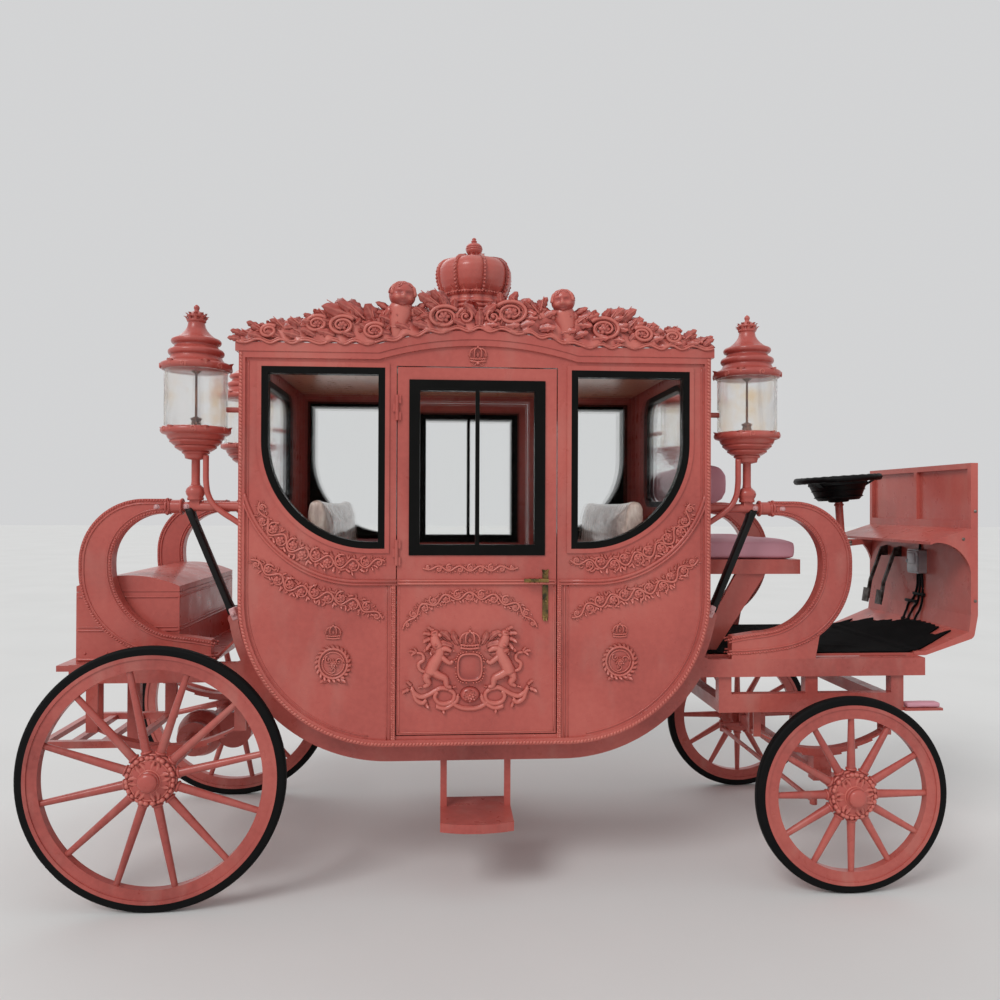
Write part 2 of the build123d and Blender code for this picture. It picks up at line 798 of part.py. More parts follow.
def waist_strip(end):
    """Waist moulding from the door to the corner; end is -1 or 1."""
    door_edge = opening_rear if end < 0 else opening_front
    centre = (
        waist_centre[0] if end < 0 else 2 * CAB_X - waist_centre[0],
        waist_centre[1],
    )
    half = WAIST_WIDTH / 2
    start = 198 if end < 0 else 270
    stop = 270 if end < 0 else 342
    with BuildSketch() as shape:
        add(ring_sector(centre, WAIST_R - half, WAIST_R + half, start, stop))
        add(rectangle(centre[0] + end, WAIST_Z - half, door_edge, WAIST_Z + half))
    return shape.sketch


def cab_side(side):
    """One side wall, outer skin at the given side of the carriage."""
    skin = side * SKIN_Y
    with BuildPart() as wall:
        with BuildSketch(wall_plane(side * LINING_Y)):
            add(cab_outline(0, SEAM))
            for end in (-1, 1):
                add(side_window(end, WINDOW_FRAME + SEAM), mode=Mode.SUBTRACT)
            add(
                rectangle(opening_rear, opening_low, opening_front, opening_high),
                mode=Mode.SUBTRACT,
            )
        extrude(amount=-side * WALL)
        with BuildSketch(wall_plane(skin)):
            add(cab_outline(0, SEAM))
            add(cab_outline(BEAD_WIDTH, BEAD_WIDTH + SEAM), mode=Mode.SUBTRACT)
        extrude(amount=-side * BEAD_PROUD)
        with BuildSketch(wall_plane(skin)):
            for end in (-1, 1):
                add(waist_strip(end))
                pilaster_x = opening_rear if end < 0 else opening_front
                add(
                    rectangle(
                        pilaster_x,
                        CAB_BOTTOM + BEAD_WIDTH,
                        pilaster_x + end * PILASTER_WIDTH,
                        WAIST_Z,
                    )
                )
                add(side_window(end, WINDOW_FRAME + TRIM_WIDTH))
                add(side_window(end, WINDOW_FRAME + SEAM), mode=Mode.SUBTRACT)
        extrude(amount=-side * TRIM_PROUD)
        for plane in door_hinges(side):
            add(fixed_hinge(plane))
    return wall.part


for side, name in ((-1, "cab_side_right"), (1, "cab_side_left")):
    finish(cab_side(side), name)


def cab_end(outer_x, inner_x):
    """Front or rear wall of the cab between the side walls."""
    with BuildPart() as wall:
        with BuildSketch(Plane.YZ.offset(min(outer_x, inner_x))):
            with Locations((0, (CORNER_Z + EAVES_Z - SEAM) / 2)):
                Rectangle(2 * LINING_Y, EAVES_Z - SEAM - CORNER_Z)
            add(end_window(WINDOW_FRAME + SEAM), mode=Mode.SUBTRACT)
        extrude(amount=WALL)
    return wall.part


finish(cab_end(CAB_REAR, CAB_REAR + WALL), "cab_end_rear")
finish(cab_end(CAB_FRONT, CAB_FRONT - WALL), "cab_end_front")

# Belly of the cab with its floor
inner_r = CAB_CORNER_R - WALL
with BuildPart() as cab_belly:
    with BuildSketch(Plane.XZ):
        add(ring_sector(rear_corner, inner_r, CAB_CORNER_R, 180, 270))
        add(ring_sector((CORNER_FRONT_X, CORNER_Z), inner_r, CAB_CORNER_R, 270, 360))
        add(rectangle(CORNER_REAR_X - 1, CAB_BOTTOM, CORNER_FRONT_X + 1, CAB_BOTTOM + WALL))
        floor_reach = sqrt(inner_r**2 - (CORNER_Z - FLOOR_TOP + FLOOR_THICKNESS) ** 2) + 4
        add(
            rectangle(
                CORNER_REAR_X - floor_reach,
                FLOOR_TOP - FLOOR_THICKNESS,
                CORNER_FRONT_X + floor_reach,
                FLOOR_TOP,
            )
        )
    extrude(amount=LINING_Y, both=True)
finish(cab_belly.part, "cab_belly")


def roof_line(lift, overhang):
    """Points of the roof's underside or top, from rear to front."""
    rear = (CAB_REAR - overhang, EAVES_Z + lift)
    front = (CAB_FRONT + overhang, EAVES_Z + lift)
    arch_rear = (CAB_X - ARCH_HALF, EAVES_Z + lift)
    arch_front = (CAB_X + ARCH_HALF, EAVES_Z + lift)
    return rear, arch_rear, (CAB_X, ARCH_Z + lift), arch_front, front


def roof_band(low, high, overhang):
    """Face between two lines that follow the roof's arch."""
    low_points = roof_line(low, overhang)
    high_points = roof_line(high, overhang)
    with BuildSketch() as shape:
        with BuildLine():
            Line(low_points[0], low_points[1])
            ThreePointArc(low_points[1], low_points[2], low_points[3])
            Line(low_points[3], low_points[4])
            Line(low_points[4], high_points[4])
            Line(high_points[4], high_points[3])
            ThreePointArc(high_points[3], high_points[2], high_points[1])
            Line(high_points[1], high_points[0])
            Line(high_points[0], low_points[0])
        make_face()
    return shape.sketch


with BuildPart() as cab_roof:
    with BuildSketch(Plane.XZ):
        add(roof_band(0, ROOF_THICKNESS, ROOF_OVERHANG))
    extrude(amount=SKIN_Y + ROOF_OVERHANG, both=True)
finish(cab_roof.part, "cab_roof")


def side_openings(grow):
    """Outlines of the two side windows of one wall."""
    return [side_window(end, grow) for end in (-1, 1)]


def end_walls():
    """Inner face and direction of the rear and front walls."""
    return ((CAB_REAR, 1), (CAB_FRONT, -1))


# Black window frames of the cab, through the walls and a little proud of them
with BuildPart() as window_frames:
    with BuildSketch(wall_plane(-LINING_Y + WINDOW_FRAME_PROUD)):
        for shape in side_openings(WINDOW_FRAME):
            add(shape)
        for shape in side_openings(0):
            add(shape, mode=Mode.SUBTRACT)
    extrude(amount=WALL + 2 * WINDOW_FRAME_PROUD)
    mirror(about=Plane.XZ)
    for x, inward in end_walls():
        with BuildSketch(Plane.YZ.offset(x - inward * WINDOW_FRAME_PROUD)):
            add(end_window(WINDOW_FRAME))
            add(end_window(0), mode=Mode.SUBTRACT)
        extrude(amount=inward * (WALL + 2 * WINDOW_FRAME_PROUD))
finish(window_frames.part, "window_frames")

# Glass in those frames
pane_inset = (WALL - GLASS_THICKNESS) / 2
with BuildPart() as window_glass:
    with BuildSketch(wall_plane(-LINING_Y - pane_inset)):
        for shape in side_openings(-SEAM):
            add(shape)
    extrude(amount=GLASS_THICKNESS)
    mirror(about=Plane.XZ)
    for x, inward in end_walls():
        with BuildSketch(Plane.YZ.offset(x + inward * pane_inset)):
            add(end_window(-SEAM))
        extrude(amount=inward * GLASS_THICKNESS)
finish(window_glass.part, "window_glass")

# Doors: leaf with waist moulding and hinges, window frame, glass and handle
handle_x = DOOR_FRONT - HANDLE_INSET
door_frame_depth = WALL + 2 * WINDOW_FRAME_PROUD


def door_leaf(side):
    """Door leaf, flush with the side wall."""
    skin = side * SKIN_Y
    with BuildPart() as leaf:
        with BuildSketch(wall_plane(side * LINING_Y)):
            add(rectangle(DOOR_REAR, DOOR_BOTTOM, DOOR_FRONT, DOOR_TOP))
            add(door_window(DOOR_FRAME + SEAM), mode=Mode.SUBTRACT)
        extrude(amount=-side * WALL)
        with BuildSketch(wall_plane(skin)):
            half = WAIST_WIDTH / 2
            plate_half = HANDLE_PLATE[0] / 2 + SEAM
            add(rectangle(DOOR_REAR, WAIST_Z - half, handle_x - plate_half, WAIST_Z + half))
            add(rectangle(handle_x + plate_half, WAIST_Z - half, DOOR_FRONT, WAIST_Z + half))
        extrude(amount=-side * TRIM_PROUD)
        for plane in door_hinges(side):
            add(moving_hinge(plane))
    return leaf.part


def door_frame(side):
    """Black frame of the door window with its mullion."""
    with BuildPart() as frame:
        with BuildSketch(wall_plane(side * (LINING_Y - WINDOW_FRAME_PROUD))):
            add(door_window(DOOR_FRAME))
            add(door_window(0), mode=Mode.SUBTRACT)
            add(
                rectangle(
                    DOOR_X - MULLION / 2,
                    DOOR_WINDOW_BOTTOM - 1,
                    DOOR_X + MULLION / 2,
                    DOOR_WINDOW_TOP + 1,
                )
            )
        extrude(amount=-side * door_frame_depth)
    return frame.part


def door_glass(side):
    """The two panes beside the mullion."""
    with BuildPart() as glass:
        with BuildSketch(wall_plane(side * (LINING_Y + pane_inset))):
            for end in (-1, 1):
                near = DOOR_X + end * (MULLION / 2 + SEAM)
                far = DOOR_X + end * (DOOR_WINDOW_WIDTH / 2 - SEAM)
                low = DOOR_WINDOW_BOTTOM + SEAM
                add(rectangle(near, low, far, DOOR_WINDOW_TOP - SEAM))
        extrude(amount=-side * GLASS_THICKNESS)
    return glass.part


def door_handle(side):
    """Long plate and lever, outside."""
    skin = side * SKIN_Y
    width, height, thick = HANDLE_PLATE
    with BuildPart() as handle:
        with BuildSketch(wall_plane(skin)):
            with Locations((handle_x, HANDLE_Z)):
                RectangleRounded(width, height, width / 2 - 1)
        extrude(amount=-side * thick)
        lever_z = HANDLE_Z + height * 0.3
        add(rod_y(LEVER_R, handle_x, lever_z, skin, skin + side * LEVER_OUT))
        rear = handle_x - LEVER_LENGTH
        lever_y = skin + side * LEVER_OUT
        with BuildSketch(Plane.YZ.offset(rear)):
            with Locations((lever_y, lever_z)):
                RectangleRounded(LEVER_R * 1.5, LEVER_R * 2.2, LEVER_R * 0.6)
        extrude(amount=LEVER_LENGTH + LEVER_R * 1.4)
    return handle.part


for side, word in ((-1, "right"), (1, "left")):
    finish(door_leaf(side), f"door_{word}")
    finish(door_frame(side), f"door_frame_{word}")
    finish(door_glass(side), f"door_glass_{word}")
    finish(door_handle(side), f"door_handle_{word}")

# Carved cresting round the roof edge: a low rail with lobes of foliage
# Lobes as x from the middle of the cab, height above the roof edge, radius
crest_base = EAVES_Z + ROOF_THICKNESS
crest_y = SKIN_Y - CREST_INSET
lobes = (
    (-1020, 40, 44),
    (-900, 48, 50),
    (-800, 52, 54),
    (-690, 130, 66),
    (-600, 70, 70),
    (-500, 120, 70),
    (-348, 218, 62),
    (-348, 130, 58),
    (-250, 170, 74),
    (-160, 120, 80),
    (-60, 130, 66),
    (60, 130, 66),
    (160, 130, 84),
    (260, 160, 74),
    (368, 130, 58),
    (368, 215, 62),
    (500, 110, 60),
    (620, 130, 60),
    (700, 90, 60),
    (800, 60, 54),
    (900, 46, 50),
    (1010, 36, 44),
)
# Lobes of the front and rear runs, as y and the same two sizes
end_lobes = ((0, 120, 78), (130, 80, 62), (260, 70, 60), (390, 100, 62), (520, 60, 54))
with BuildPart() as roof_cresting:
    with BuildSketch(wall_plane(-crest_y + CREST_THICK / 2)):
        add(roof_band(ROOF_THICKNESS, ROOF_THICKNESS + CREST_RAIL, 0))
        for x, height, radius in lobes:
            with Locations((CAB_X + x, crest_base + height)):
                Circle(radius)
        add(roof_band(-100, ROOF_THICKNESS, 200), mode=Mode.SUBTRACT)
    extrude(amount=CREST_THICK)
    mirror(about=Plane.XZ)
    for x, inward in end_walls():
        with BuildSketch(Plane.YZ.offset(x + inward * (CREST_INSET - CREST_THICK / 2))):
            add(rectangle(-crest_y, crest_base, crest_y, crest_base + CREST_RAIL))
            for y, height, radius in end_lobes:
                for sign in (-1, 1):
                    with Locations((sign * y, crest_base + height)):
                        Circle(radius)
            add(
                rectangle(-SKIN_Y, crest_base - 200, SKIN_Y, crest_base),
                mode=Mode.SUBTRACT,
            )
        extrude(amount=inward * CREST_THICK)
finish(roof_cresting.part, "roof_cresting")

# Crown on a round pedestal: radius and height pairs of the turned form
crown_seat = ARCH_Z + ROOF_THICKNESS


def cap_profile(grow):
    """Half section of the crown's swelling cap."""
    foot = (CIRCLET_R + grow, CIRCLET_TOP - 2)
    shoulder = (CAP_R * CAP_SHOULDER + grow / 2, CAP_TOP - 8 + grow / 2)
    top = (0, CAP_TOP + grow / 2)
    with BuildSketch() as shape:
        with BuildLine():
            Line((0, foot[1]), foot)
            ThreePointArc(foot, (CAP_R + grow, CAP_WIDEST), shoulder)
            Polyline(shoulder, top, (0, foot[1]))
        make_face()
    return shape.sketch


with BuildPart() as crown:
    with BuildSketch(Plane.XZ):
        with BuildLine():
            Polyline(
                (0, crown_seat - 40),
                (PEDESTAL_R, crown_seat - 40),
                (PEDESTAL_R, crown_seat + 30),
                (PEDESTAL_R * 0.8, crown_seat + 60),
                (PEDESTAL_R * 0.7, CIRCLET_BASE - 20),
                (CIRCLET_R + CIRCLET_LIP, CIRCLET_BASE),
                (CIRCLET_R + CIRCLET_LIP, CIRCLET_BASE + 24),
                (CIRCLET_R, CIRCLET_BASE + 30),
                (CIRCLET_R, CIRCLET_TOP - 20),
                (CIRCLET_R + CIRCLET_LIP, CIRCLET_TOP - 14),
                (CIRCLET_R + CIRCLET_LIP, CIRCLET_TOP),
                (0, CIRCLET_TOP),
                close=True,
            )
        make_face()
        add(cap_profile(0))
    revolve(axis=Axis.Z)
    for angle in (0, 45, 90, 135):
        with BuildSketch(Plane.XZ.rotated((0, 0, angle))):
            add(cap_profile(RIB_PROUD))
            add(mirror(cap_profile(RIB_PROUD), about=Plane.YZ))
        extrude(amount=RIB_WIDTH / 2, both=True)
    with Locations((0, 0, CAP_TOP + ORB_R)):
        Sphere(ORB_R)
    add(rod(FINIAL_R, CAP_TOP + ORB_R, FINIAL_TOP))
    add(rod(ORB_R + CIRCLET_LIP, CAP_TOP - 11, CAP_TOP + 7))
with BuildPart() as seated_crown:
    add(Pos(CAB_X, 0, 0) * crown.part)
    with BuildSketch(Plane.XZ):
        add(roof_band(-100, ROOF_THICKNESS + SEAM, 0))
    extrude(amount=PEDESTAL_R + 1, both=True, mode=Mode.SUBTRACT)
finish(seated_crown.part, "crown")


# Lamps: radius and height pairs of the turned cup, and of the tiered hood
lamp_cup = (
    (0, 1842),
    (30, 1842),
    (LAMP_STEM_R, 1856),
    (LAMP_STEM_R, 1962),
    (58, 1972),
    (62, 1992),
    (92, 2002),
    (98, 2022),
    (124, 2036),
    (130, 2060),
    (154, 2086),
    (156, GLASS_BOTTOM),
    (0, GLASS_BOTTOM),
)
lamp_knob = ((0, PAD_TOP), (26, PAD_TOP), (36, 1812), (30, 1843), (0, 1843))
lamp_hood = (
    (0, GLASS_TOP),
    (160, GLASS_TOP),
    (160, 2396),
    (146, 2410),
    (140, 2440),
    (126, 2452),
    (124, 2478),
    (112, 2492),
    (112, 2512),
    (86, 2530),
    (60, 2560),
    (40, 2580),
    (38, 2600),
    (46, 2606),
    (46, 2630),
    (34, 2650),
    (14, 2664),
    (12, 2684),
    (0, 2690),
)
lamp_x = CAB_X - LAMP_OUT
side_stem_y = bar_y - BAR_R - SIDE_STEM_R - 4
with BuildPart() as lamp_metal:
    with BuildSketch(Plane.XZ):
        for profile in (lamp_cup, lamp_knob, lamp_hood):
            add(polygon(*profile))
    revolve(axis=Axis.Z)
    with Locations((GLASS_R + LAMP_ROD_R + 4, 0, (GLASS_BOTTOM + GLASS_TOP) / 2)):
        Cylinder(LAMP_ROD_R, GLASS_TOP - GLASS_BOTTOM + 16)
    with BuildSketch(Plane.YZ.offset(GLASS_R + LAMP_ROD_R + 4)):
        with Locations((0, LAMP_BAR_Z)):
            Circle(LAMP_BAR_R)
    extrude(amount=LAMP_OUT - CAB_LENGTH / 2 - GLASS_R - LAMP_ROD_R - 4)
    with BuildLine(wall_plane(side_stem_y - bar_y)) as stem_path:
        FilletPolyline(
            (45, 2000),
            (45, 1850),
            (LAMP_OUT - CAB_LENGTH / 2, 1660),
            radius=120,
        )
    with BuildSketch(Plane.XY.offset(2000).shift_origin((45, side_stem_y - bar_y, 2000))):
        Circle(SIDE_STEM_R)
    sweep(path=stem_path.line)
lamp = Pos(lamp_x, bar_y, 0) * lamp_metal.part
wall_side = box_between((CAB_REAR, -2000, 0), (CAB_REAR + 400, 2000, 3000))
lamp = lamp - wall_side
with BuildPart() as lamps:
    add(lamp)
    mirror(about=Plane.YZ.offset(CAB_X))
    mirror(about=Plane.XZ)
finish(lamps.part, "lamp_metalwork")

with BuildPart() as lamp_glasses:
    with Locations((lamp_x, bar_y, (GLASS_BOTTOM + GLASS_TOP) / 2)):
        Cylinder(GLASS_R, GLASS_TOP - GLASS_BOTTOM - 2 * SEAM)
        Cylinder(GLASS_R - GLASS_WALL, GLASS_TOP, mode=Mode.SUBTRACT)
    mirror(about=Plane.YZ.offset(CAB_X))
    mirror(about=Plane.XZ)
finish(lamp_glasses.part, "lamp_glasses")

# Trunk with the footwell behind the cab, one welded piece
with BuildPart() as rear_trunk:
    add(
        box_between(
            (TRUNK_REAR_X, -TRUNK_HALF_WIDTH, RAIL_TOP),
            (TRUNK_FRONT_X, TRUNK_HALF_WIDTH, TRUNK_SEAM_Z),
        )
    )
    add(
        box_between(
            (TRUNK_REAR_X + TRUNK_WALL, TRUNK_WALL - TRUNK_HALF_WIDTH, RAIL_TOP + TRUNK_WALL),
            (TRUNK_FRONT_X - TRUNK_WALL, TRUNK_HALF_WIDTH - TRUNK_WALL, TRUNK_SEAM_Z + 1),
        ),
        mode=Mode.SUBTRACT,
    )
    with BuildSketch(Plane.XZ):
        add(
            polygon(
                (TRUNK_FRONT_X - 1, RAIL_TOP),
                (FOOTWELL_FLAT_X, RAIL_TOP),
                (FOOTWELL_END_X, FOOTWELL_END_Z - FOOTWELL_SHEET),
                (FOOTWELL_END_X, FOOTWELL_END_Z),
                (FOOTWELL_FLAT_X - 6, RAIL_TOP + FOOTWELL_SHEET),
                (TRUNK_FRONT_X - 1, RAIL_TOP + FOOTWELL_SHEET),
            )
        )
    extrude(amount=TRUNK_HALF_WIDTH, both=True)
    for plane in lid_hinges():
        add(fixed_hinge(plane))
finish(rear_trunk.part, "rear_trunk")

lid_bottom = TRUNK_SEAM_Z + LID_GAP
lid_middle = (TRUNK_REAR_X + TRUNK_FRONT_X) / 2


def lid_face(inset):
    """Side outline of the arched lid, or of the space inside it."""
    left = TRUNK_REAR_X + inset
    right = TRUNK_FRONT_X - inset
    bottom = lid_bottom - (1 if inset else 0)
    with BuildSketch() as shape:
        with BuildLine():
            Polyline(
                (left, LID_EDGE_Z - inset / 2),
                (left, bottom),
                (right, bottom),
                (right, LID_EDGE_Z - inset / 2),
            )
            ThreePointArc(
                (right, LID_EDGE_Z - inset / 2),
                (lid_middle, LID_APEX_Z - inset),
                (left, LID_EDGE_Z - inset / 2),
            )
        make_face()
    return shape.sketch


with BuildPart() as trunk_lid:
    with BuildSketch(Plane.XZ):
        add(lid_face(0))
    extrude(amount=TRUNK_HALF_WIDTH, both=True)
    with BuildSketch(Plane.XZ):
        add(lid_face(TRUNK_WALL))
    extrude(amount=TRUNK_HALF_WIDTH - TRUNK_WALL, both=True, mode=Mode.SUBTRACT)
    for plane in lid_hinges():
        add(moving_hinge(plane))
finish(trunk_lid.part, "trunk_lid")

# Footman's step: a tray of bars hung from two posts under the rear frame
with BuildPart() as rear_step:
    for side in (-1, 1):
        y = side * (STEP_HALF_WIDTH - STEP_BAR / 2)
        add(
            box_between(
                (STEP_REAR_X, y - STEP_BAR / 2, STEP_Z - STEP_BAR / 2),
                (STEP_POST_X + CROSS_WIDTH / 2, y + STEP_BAR / 2, STEP_Z + STEP_BAR / 2),
            )
        )
        add(
            box_between(
                (STEP_POST_X - CROSS_WIDTH / 2, y - STEP_BAR / 2, STEP_Z),
                (STEP_POST_X + CROSS_WIDTH / 2, y + STEP_BAR / 2, RAIL_BOTTOM),
            )
        )
    rung_pitch = (STEP_POST_X - STEP_REAR_X - STEP_BAR) / (STEP_RUNGS - 1)
    for number in range(STEP_RUNGS):
        x = STEP_REAR_X + STEP_BAR / 2 + number * rung_pitch
        add(
            box_between(
                (x - STEP_BAR / 2, 1 - STEP_HALF_WIDTH, STEP_Z - STEP_BAR / 2),
                (x + STEP_BAR / 2, STEP_HALF_WIDTH - 1, STEP_Z + STEP_BAR / 4),
            )
        )
    fillet_edges = rear_step.edges().filter_by(Axis.Z).group_by(Axis.X)[0]
    fillet(fillet_edges, STEP_BAR / 2.5)
finish(rear_step.part, "rear_step")

# Facing benches inside the cab, and their cushions
with BuildPart() as cabin_benches:
    with BuildSketch(Plane.XZ):
        add(
            rectangle(
                CAB_X - BENCH_BACK,
                BENCH_TOP - BENCH_BOARD,
                CAB_X - BENCH_FRONT,
                BENCH_TOP,
            )
        )
        add(
            rectangle(
                CAB_X - BENCH_FRONT - 60,
                FLOOR_TOP,
                CAB_X - BENCH_FRONT - 40,
                BENCH_TOP - 1,
            )
        )
        back_x = CAB_X - BENCH_BACK - BENCH_BOARD
        add(rectangle(back_x, BENCH_TOP - BENCH_BOARD, back_x + BENCH_BOARD, 1700))
    extrude(amount=SEAT_HALF_WIDTH, both=True)
    mirror(about=Plane.YZ.offset(CAB_X))
finish(cabin_benches.part, "cabin_benches")

with BuildPart() as cabin_cushions:
    with BuildSketch(Plane.XZ):
        with BuildLine():
            Polyline(
                (CAB_X - BENCH_BACK + SOFT_GAP, BENCH_TOP + SOFT_GAP),
                (CAB_X - BENCH_FRONT, BENCH_TOP + SOFT_GAP),
                (CAB_X - BENCH_FRONT, BENCH_TOP + CUSHION_THICK),
                (CAB_X - BENCH_BACK + BACKREST_THICK + 4, BENCH_TOP + CUSHION_THICK),
                (CAB_X - BENCH_BACK + BACKREST_THICK + 4, BENCH_TOP + CUSHION_THICK - 20),
                (CAB_X - BENCH_BACK + SOFT_GAP, BENCH_TOP + CUSHION_THICK - 20),
                close=True,
            )
        make_face()
    extrude(amount=SEAT_HALF_WIDTH - SEAT_INSET, both=True)
    with BuildSketch(Plane.XZ):
        with Locations(
            (
                CAB_X - BENCH_BACK + SOFT_GAP + BACKREST_THICK / 2,
                (BENCH_TOP + CUSHION_THICK + BACKREST_TOP) / 2 - 8,
            )
        ):
            RectangleRounded(
                BACKREST_THICK, BACKREST_TOP - BENCH_TOP - CUSHION_THICK + 14, 70
            )
    extrude(amount=SEAT_HALF_WIDTH - SEAT_INSET, both=True)
    mirror(about=Plane.YZ.offset(CAB_X))
finish(cabin_cushions.part, "cabin_cushions")

# Door steps: two straps from each side beam and a curved tread
beam_bottom = CORNER_Z - BEAM_OUT_R
with BuildPart() as door_steps:
    strap_y = -BEAM_OUTER_Y + STRAP_THICK / 2 + 4
    for x in STRAP_X:
        add(
            box_between(
                (x - STRAP_WIDTH / 2, strap_y - STRAP_THICK / 2, TREAD_TOP - 2),
                (x + STRAP_WIDTH / 2, strap_y + STRAP_THICK / 2, beam_bottom),
            )
        )
    tread_rear = STRAP_X[0] - STRAP_WIDTH / 2
    tread_front = STRAP_X[1] + STRAP_WIDTH / 2
    with BuildSketch(Plane.XY.offset(TREAD_TOP - TREAD_THICK)):
        with BuildLine():
            Polyline(
                (tread_rear, 30 - TREAD_OUT),
                (tread_rear, -TREAD_IN),
                (tread_front, -TREAD_IN),
                (tread_front, 30 - TREAD_OUT),
            )
            ThreePointArc(
                (tread_front, 30 - TREAD_OUT),
                ((tread_rear + tread_front) / 2, -TREAD_OUT),
                (tread_rear, 30 - TREAD_OUT),
            )
        make_face()
    extrude(amount=TREAD_THICK)
    with BuildSketch(Plane.XY.offset(TREAD_TOP - TREAD_LIP)):
        with BuildLine():
            ThreePointArc(
                (tread_front, 30 - TREAD_OUT),
                ((tread_rear + tread_front) / 2, -TREAD_OUT),
                (tread_rear, 30 - TREAD_OUT),
            )
            Line((tread_rear, 30 - TREAD_OUT), (tread_rear, 40 - TREAD_OUT))
            ThreePointArc(
                (tread_rear, 40 - TREAD_OUT),
                ((tread_rear + tread_front) / 2, 10 - TREAD_OUT),
                (tread_front, 40 - TREAD_OUT),
            )
            Line((tread_front, 40 - TREAD_OUT), (tread_front, 30 - TREAD_OUT))
        make_face()
    extrude(amount=TREAD_LIP)
    mirror(about=Plane.XZ)
finish(door_steps.part, "door_steps")

# Driver's floor and its black carpet
with BuildPart() as driver_floor:
    add(
        box_between(
            (FLOOR_REAR_X, -FLOOR_HALF_WIDTH, RAIL_TOP),
            (DASH_FOOT_X - 2, FLOOR_HALF_WIDTH, RAIL_TOP + FLOOR_SHEET),
        )
    )
    for side in (-1, 1):
        y0 = side * BEAM_Y
        y1 = side * BEAM_OUTER_Y
        add(
            box_between(
                (POST_FRONT_X, min(y0, y1), PAD_Z - FLOOR_SHEET),
                (POST_FRONT_X + PAD_REACH, max(y0, y1), PAD_Z),
            )
        )
finish(driver_floor.part, "driver_floor")

# Dash: bent board with two recesses, shelf and curved side cheeks
dash_inner_x = DASH_X - DASH_THICK
dash_low_z = RAIL_TOP + DASH_TOE_RISE
dash_knee_z = dash_low_z + DASH_KNEE_RISE
with BuildPart() as dash_panel:
    with BuildSketch(Plane.XZ):
        with BuildLine():
            FilletPolyline(
                (DASH_FOOT_X, RAIL_TOP),
                (DASH_FOOT_X + DASH_FOOT, RAIL_TOP),
                (DASH_X - DASH_TOE_BACK, dash_low_z),
                (DASH_X, dash_knee_z),
                (DASH_X, DASH_TOP),
                radius=DASH_BEND_R,
            )
            Polyline(
                (DASH_X, DASH_TOP),
                (dash_inner_x, DASH_TOP),
                (dash_inner_x, dash_knee_z),
                (dash_inner_x - DASH_TOE_BACK / 2, dash_low_z + DASH_SHEET * 1.5),
                (DASH_FOOT_X + DASH_FOOT - 4, RAIL_TOP + DASH_SHEET),
                (DASH_FOOT_X, RAIL_TOP + DASH_SHEET),
                (DASH_FOOT_X, RAIL_TOP),
            )
        make_face()
        add(
            polygon(
                (SHELF_REAR_X, SHELF_REAR_Z - SHELF_THICK),
                (dash_inner_x + 1, SHELF_FRONT_Z - SHELF_THICK),
                (dash_inner_x + 1, SHELF_FRONT_Z),
                (SHELF_REAR_X, SHELF_REAR_Z),
            )
        )
    extrude(amount=DASH_HALF_WIDTH, both=True)
    cheek_start = (SHELF_REAR_X + CHEEK_THICK * 1.5, SHELF_REAR_Z - 4)
    with BuildSketch(wall_plane(-DASH_HALF_WIDTH + CHEEK_THICK)):
        with BuildLine():
            Line((dash_inner_x + 1, SHELF_FRONT_Z - 2), cheek_start)
            ThreePointArc(
                cheek_start,
                (dash_inner_x - CHEEK_R * 0.35, SHELF_REAR_Z - CHEEK_R * 0.35),
                (dash_inner_x, SHELF_REAR_Z - CHEEK_R),
            )
            Polyline(
                (dash_inner_x, SHELF_REAR_Z - CHEEK_R),
                (dash_inner_x + 1, SHELF_REAR_Z - CHEEK_R),
                (dash_inner_x + 1, SHELF_FRONT_Z - 2),
            )
        make_face()
    extrude(amount=CHEEK_THICK)
    mirror(about=Plane.XZ)
    for side in (-1, 1):
        near = side * RECESS_FRAME / 2
        far = side * (DASH_HALF_WIDTH - RECESS_FRAME)
        add(
            box_between(
                (dash_inner_x - 1, min(near, far), RECESS_BOTTOM),
                (dash_inner_x + RECESS_DEPTH, max(near, far), DASH_TOP - RECESS_FRAME),
            ),
            mode=Mode.SUBTRACT,
        )
finish(dash_panel.part, "dash_panel")

carpet_bottom = RAIL_TOP + FLOOR_SHEET
with BuildPart() as driver_carpet:
    with BuildSketch(Plane.XZ):
        add(
            polygon(
                (FLOOR_REAR_X + 20, carpet_bottom + SEAM),
                (DASH_FOOT_X - 4, carpet_bottom + SEAM),
                (DASH_FOOT_X - 4, carpet_bottom + SEAM + CARPET_THICK),
                (FLOOR_REAR_X + 20, carpet_bottom + SEAM + CARPET_THICK),
            )
        )
    extrude(amount=FLOOR_HALF_WIDTH - 10, both=True)
finish(driver_carpet.part, "driver_carpet")

# Driver's bench: board with a lip and two slanting side struts
with BuildPart() as driver_bench:
    add(
        box_between(
            (CAB_FRONT, -DRIVER_HALF_WIDTH, SEAT_BOARD_Z),
            (SEAT_FRONT_X, DRIVER_HALF_WIDTH, SEAT_BOARD_Z + SEAT_BOARD_THICK),
        )
    )
    with BuildSketch(wall_plane(-DRIVER_HALF_WIDTH + STRUT_THICK + STRUT_INSET)):
        strut_foot = carpet_bottom + CARPET_THICK + 2 * SEAM
        add(
            polygon(
                (STRUT_FOOT_X[0], strut_foot),
                (STRUT_FOOT_X[1], strut_foot),
                (STRUT_TOP_X[1], SEAT_BOARD_Z + 1),
                (STRUT_TOP_X[0], SEAT_BOARD_Z + 1),
            )
        )
    extrude(amount=STRUT_THICK)
    mirror(about=Plane.XZ)
finish(driver_bench.part, "driver_bench")

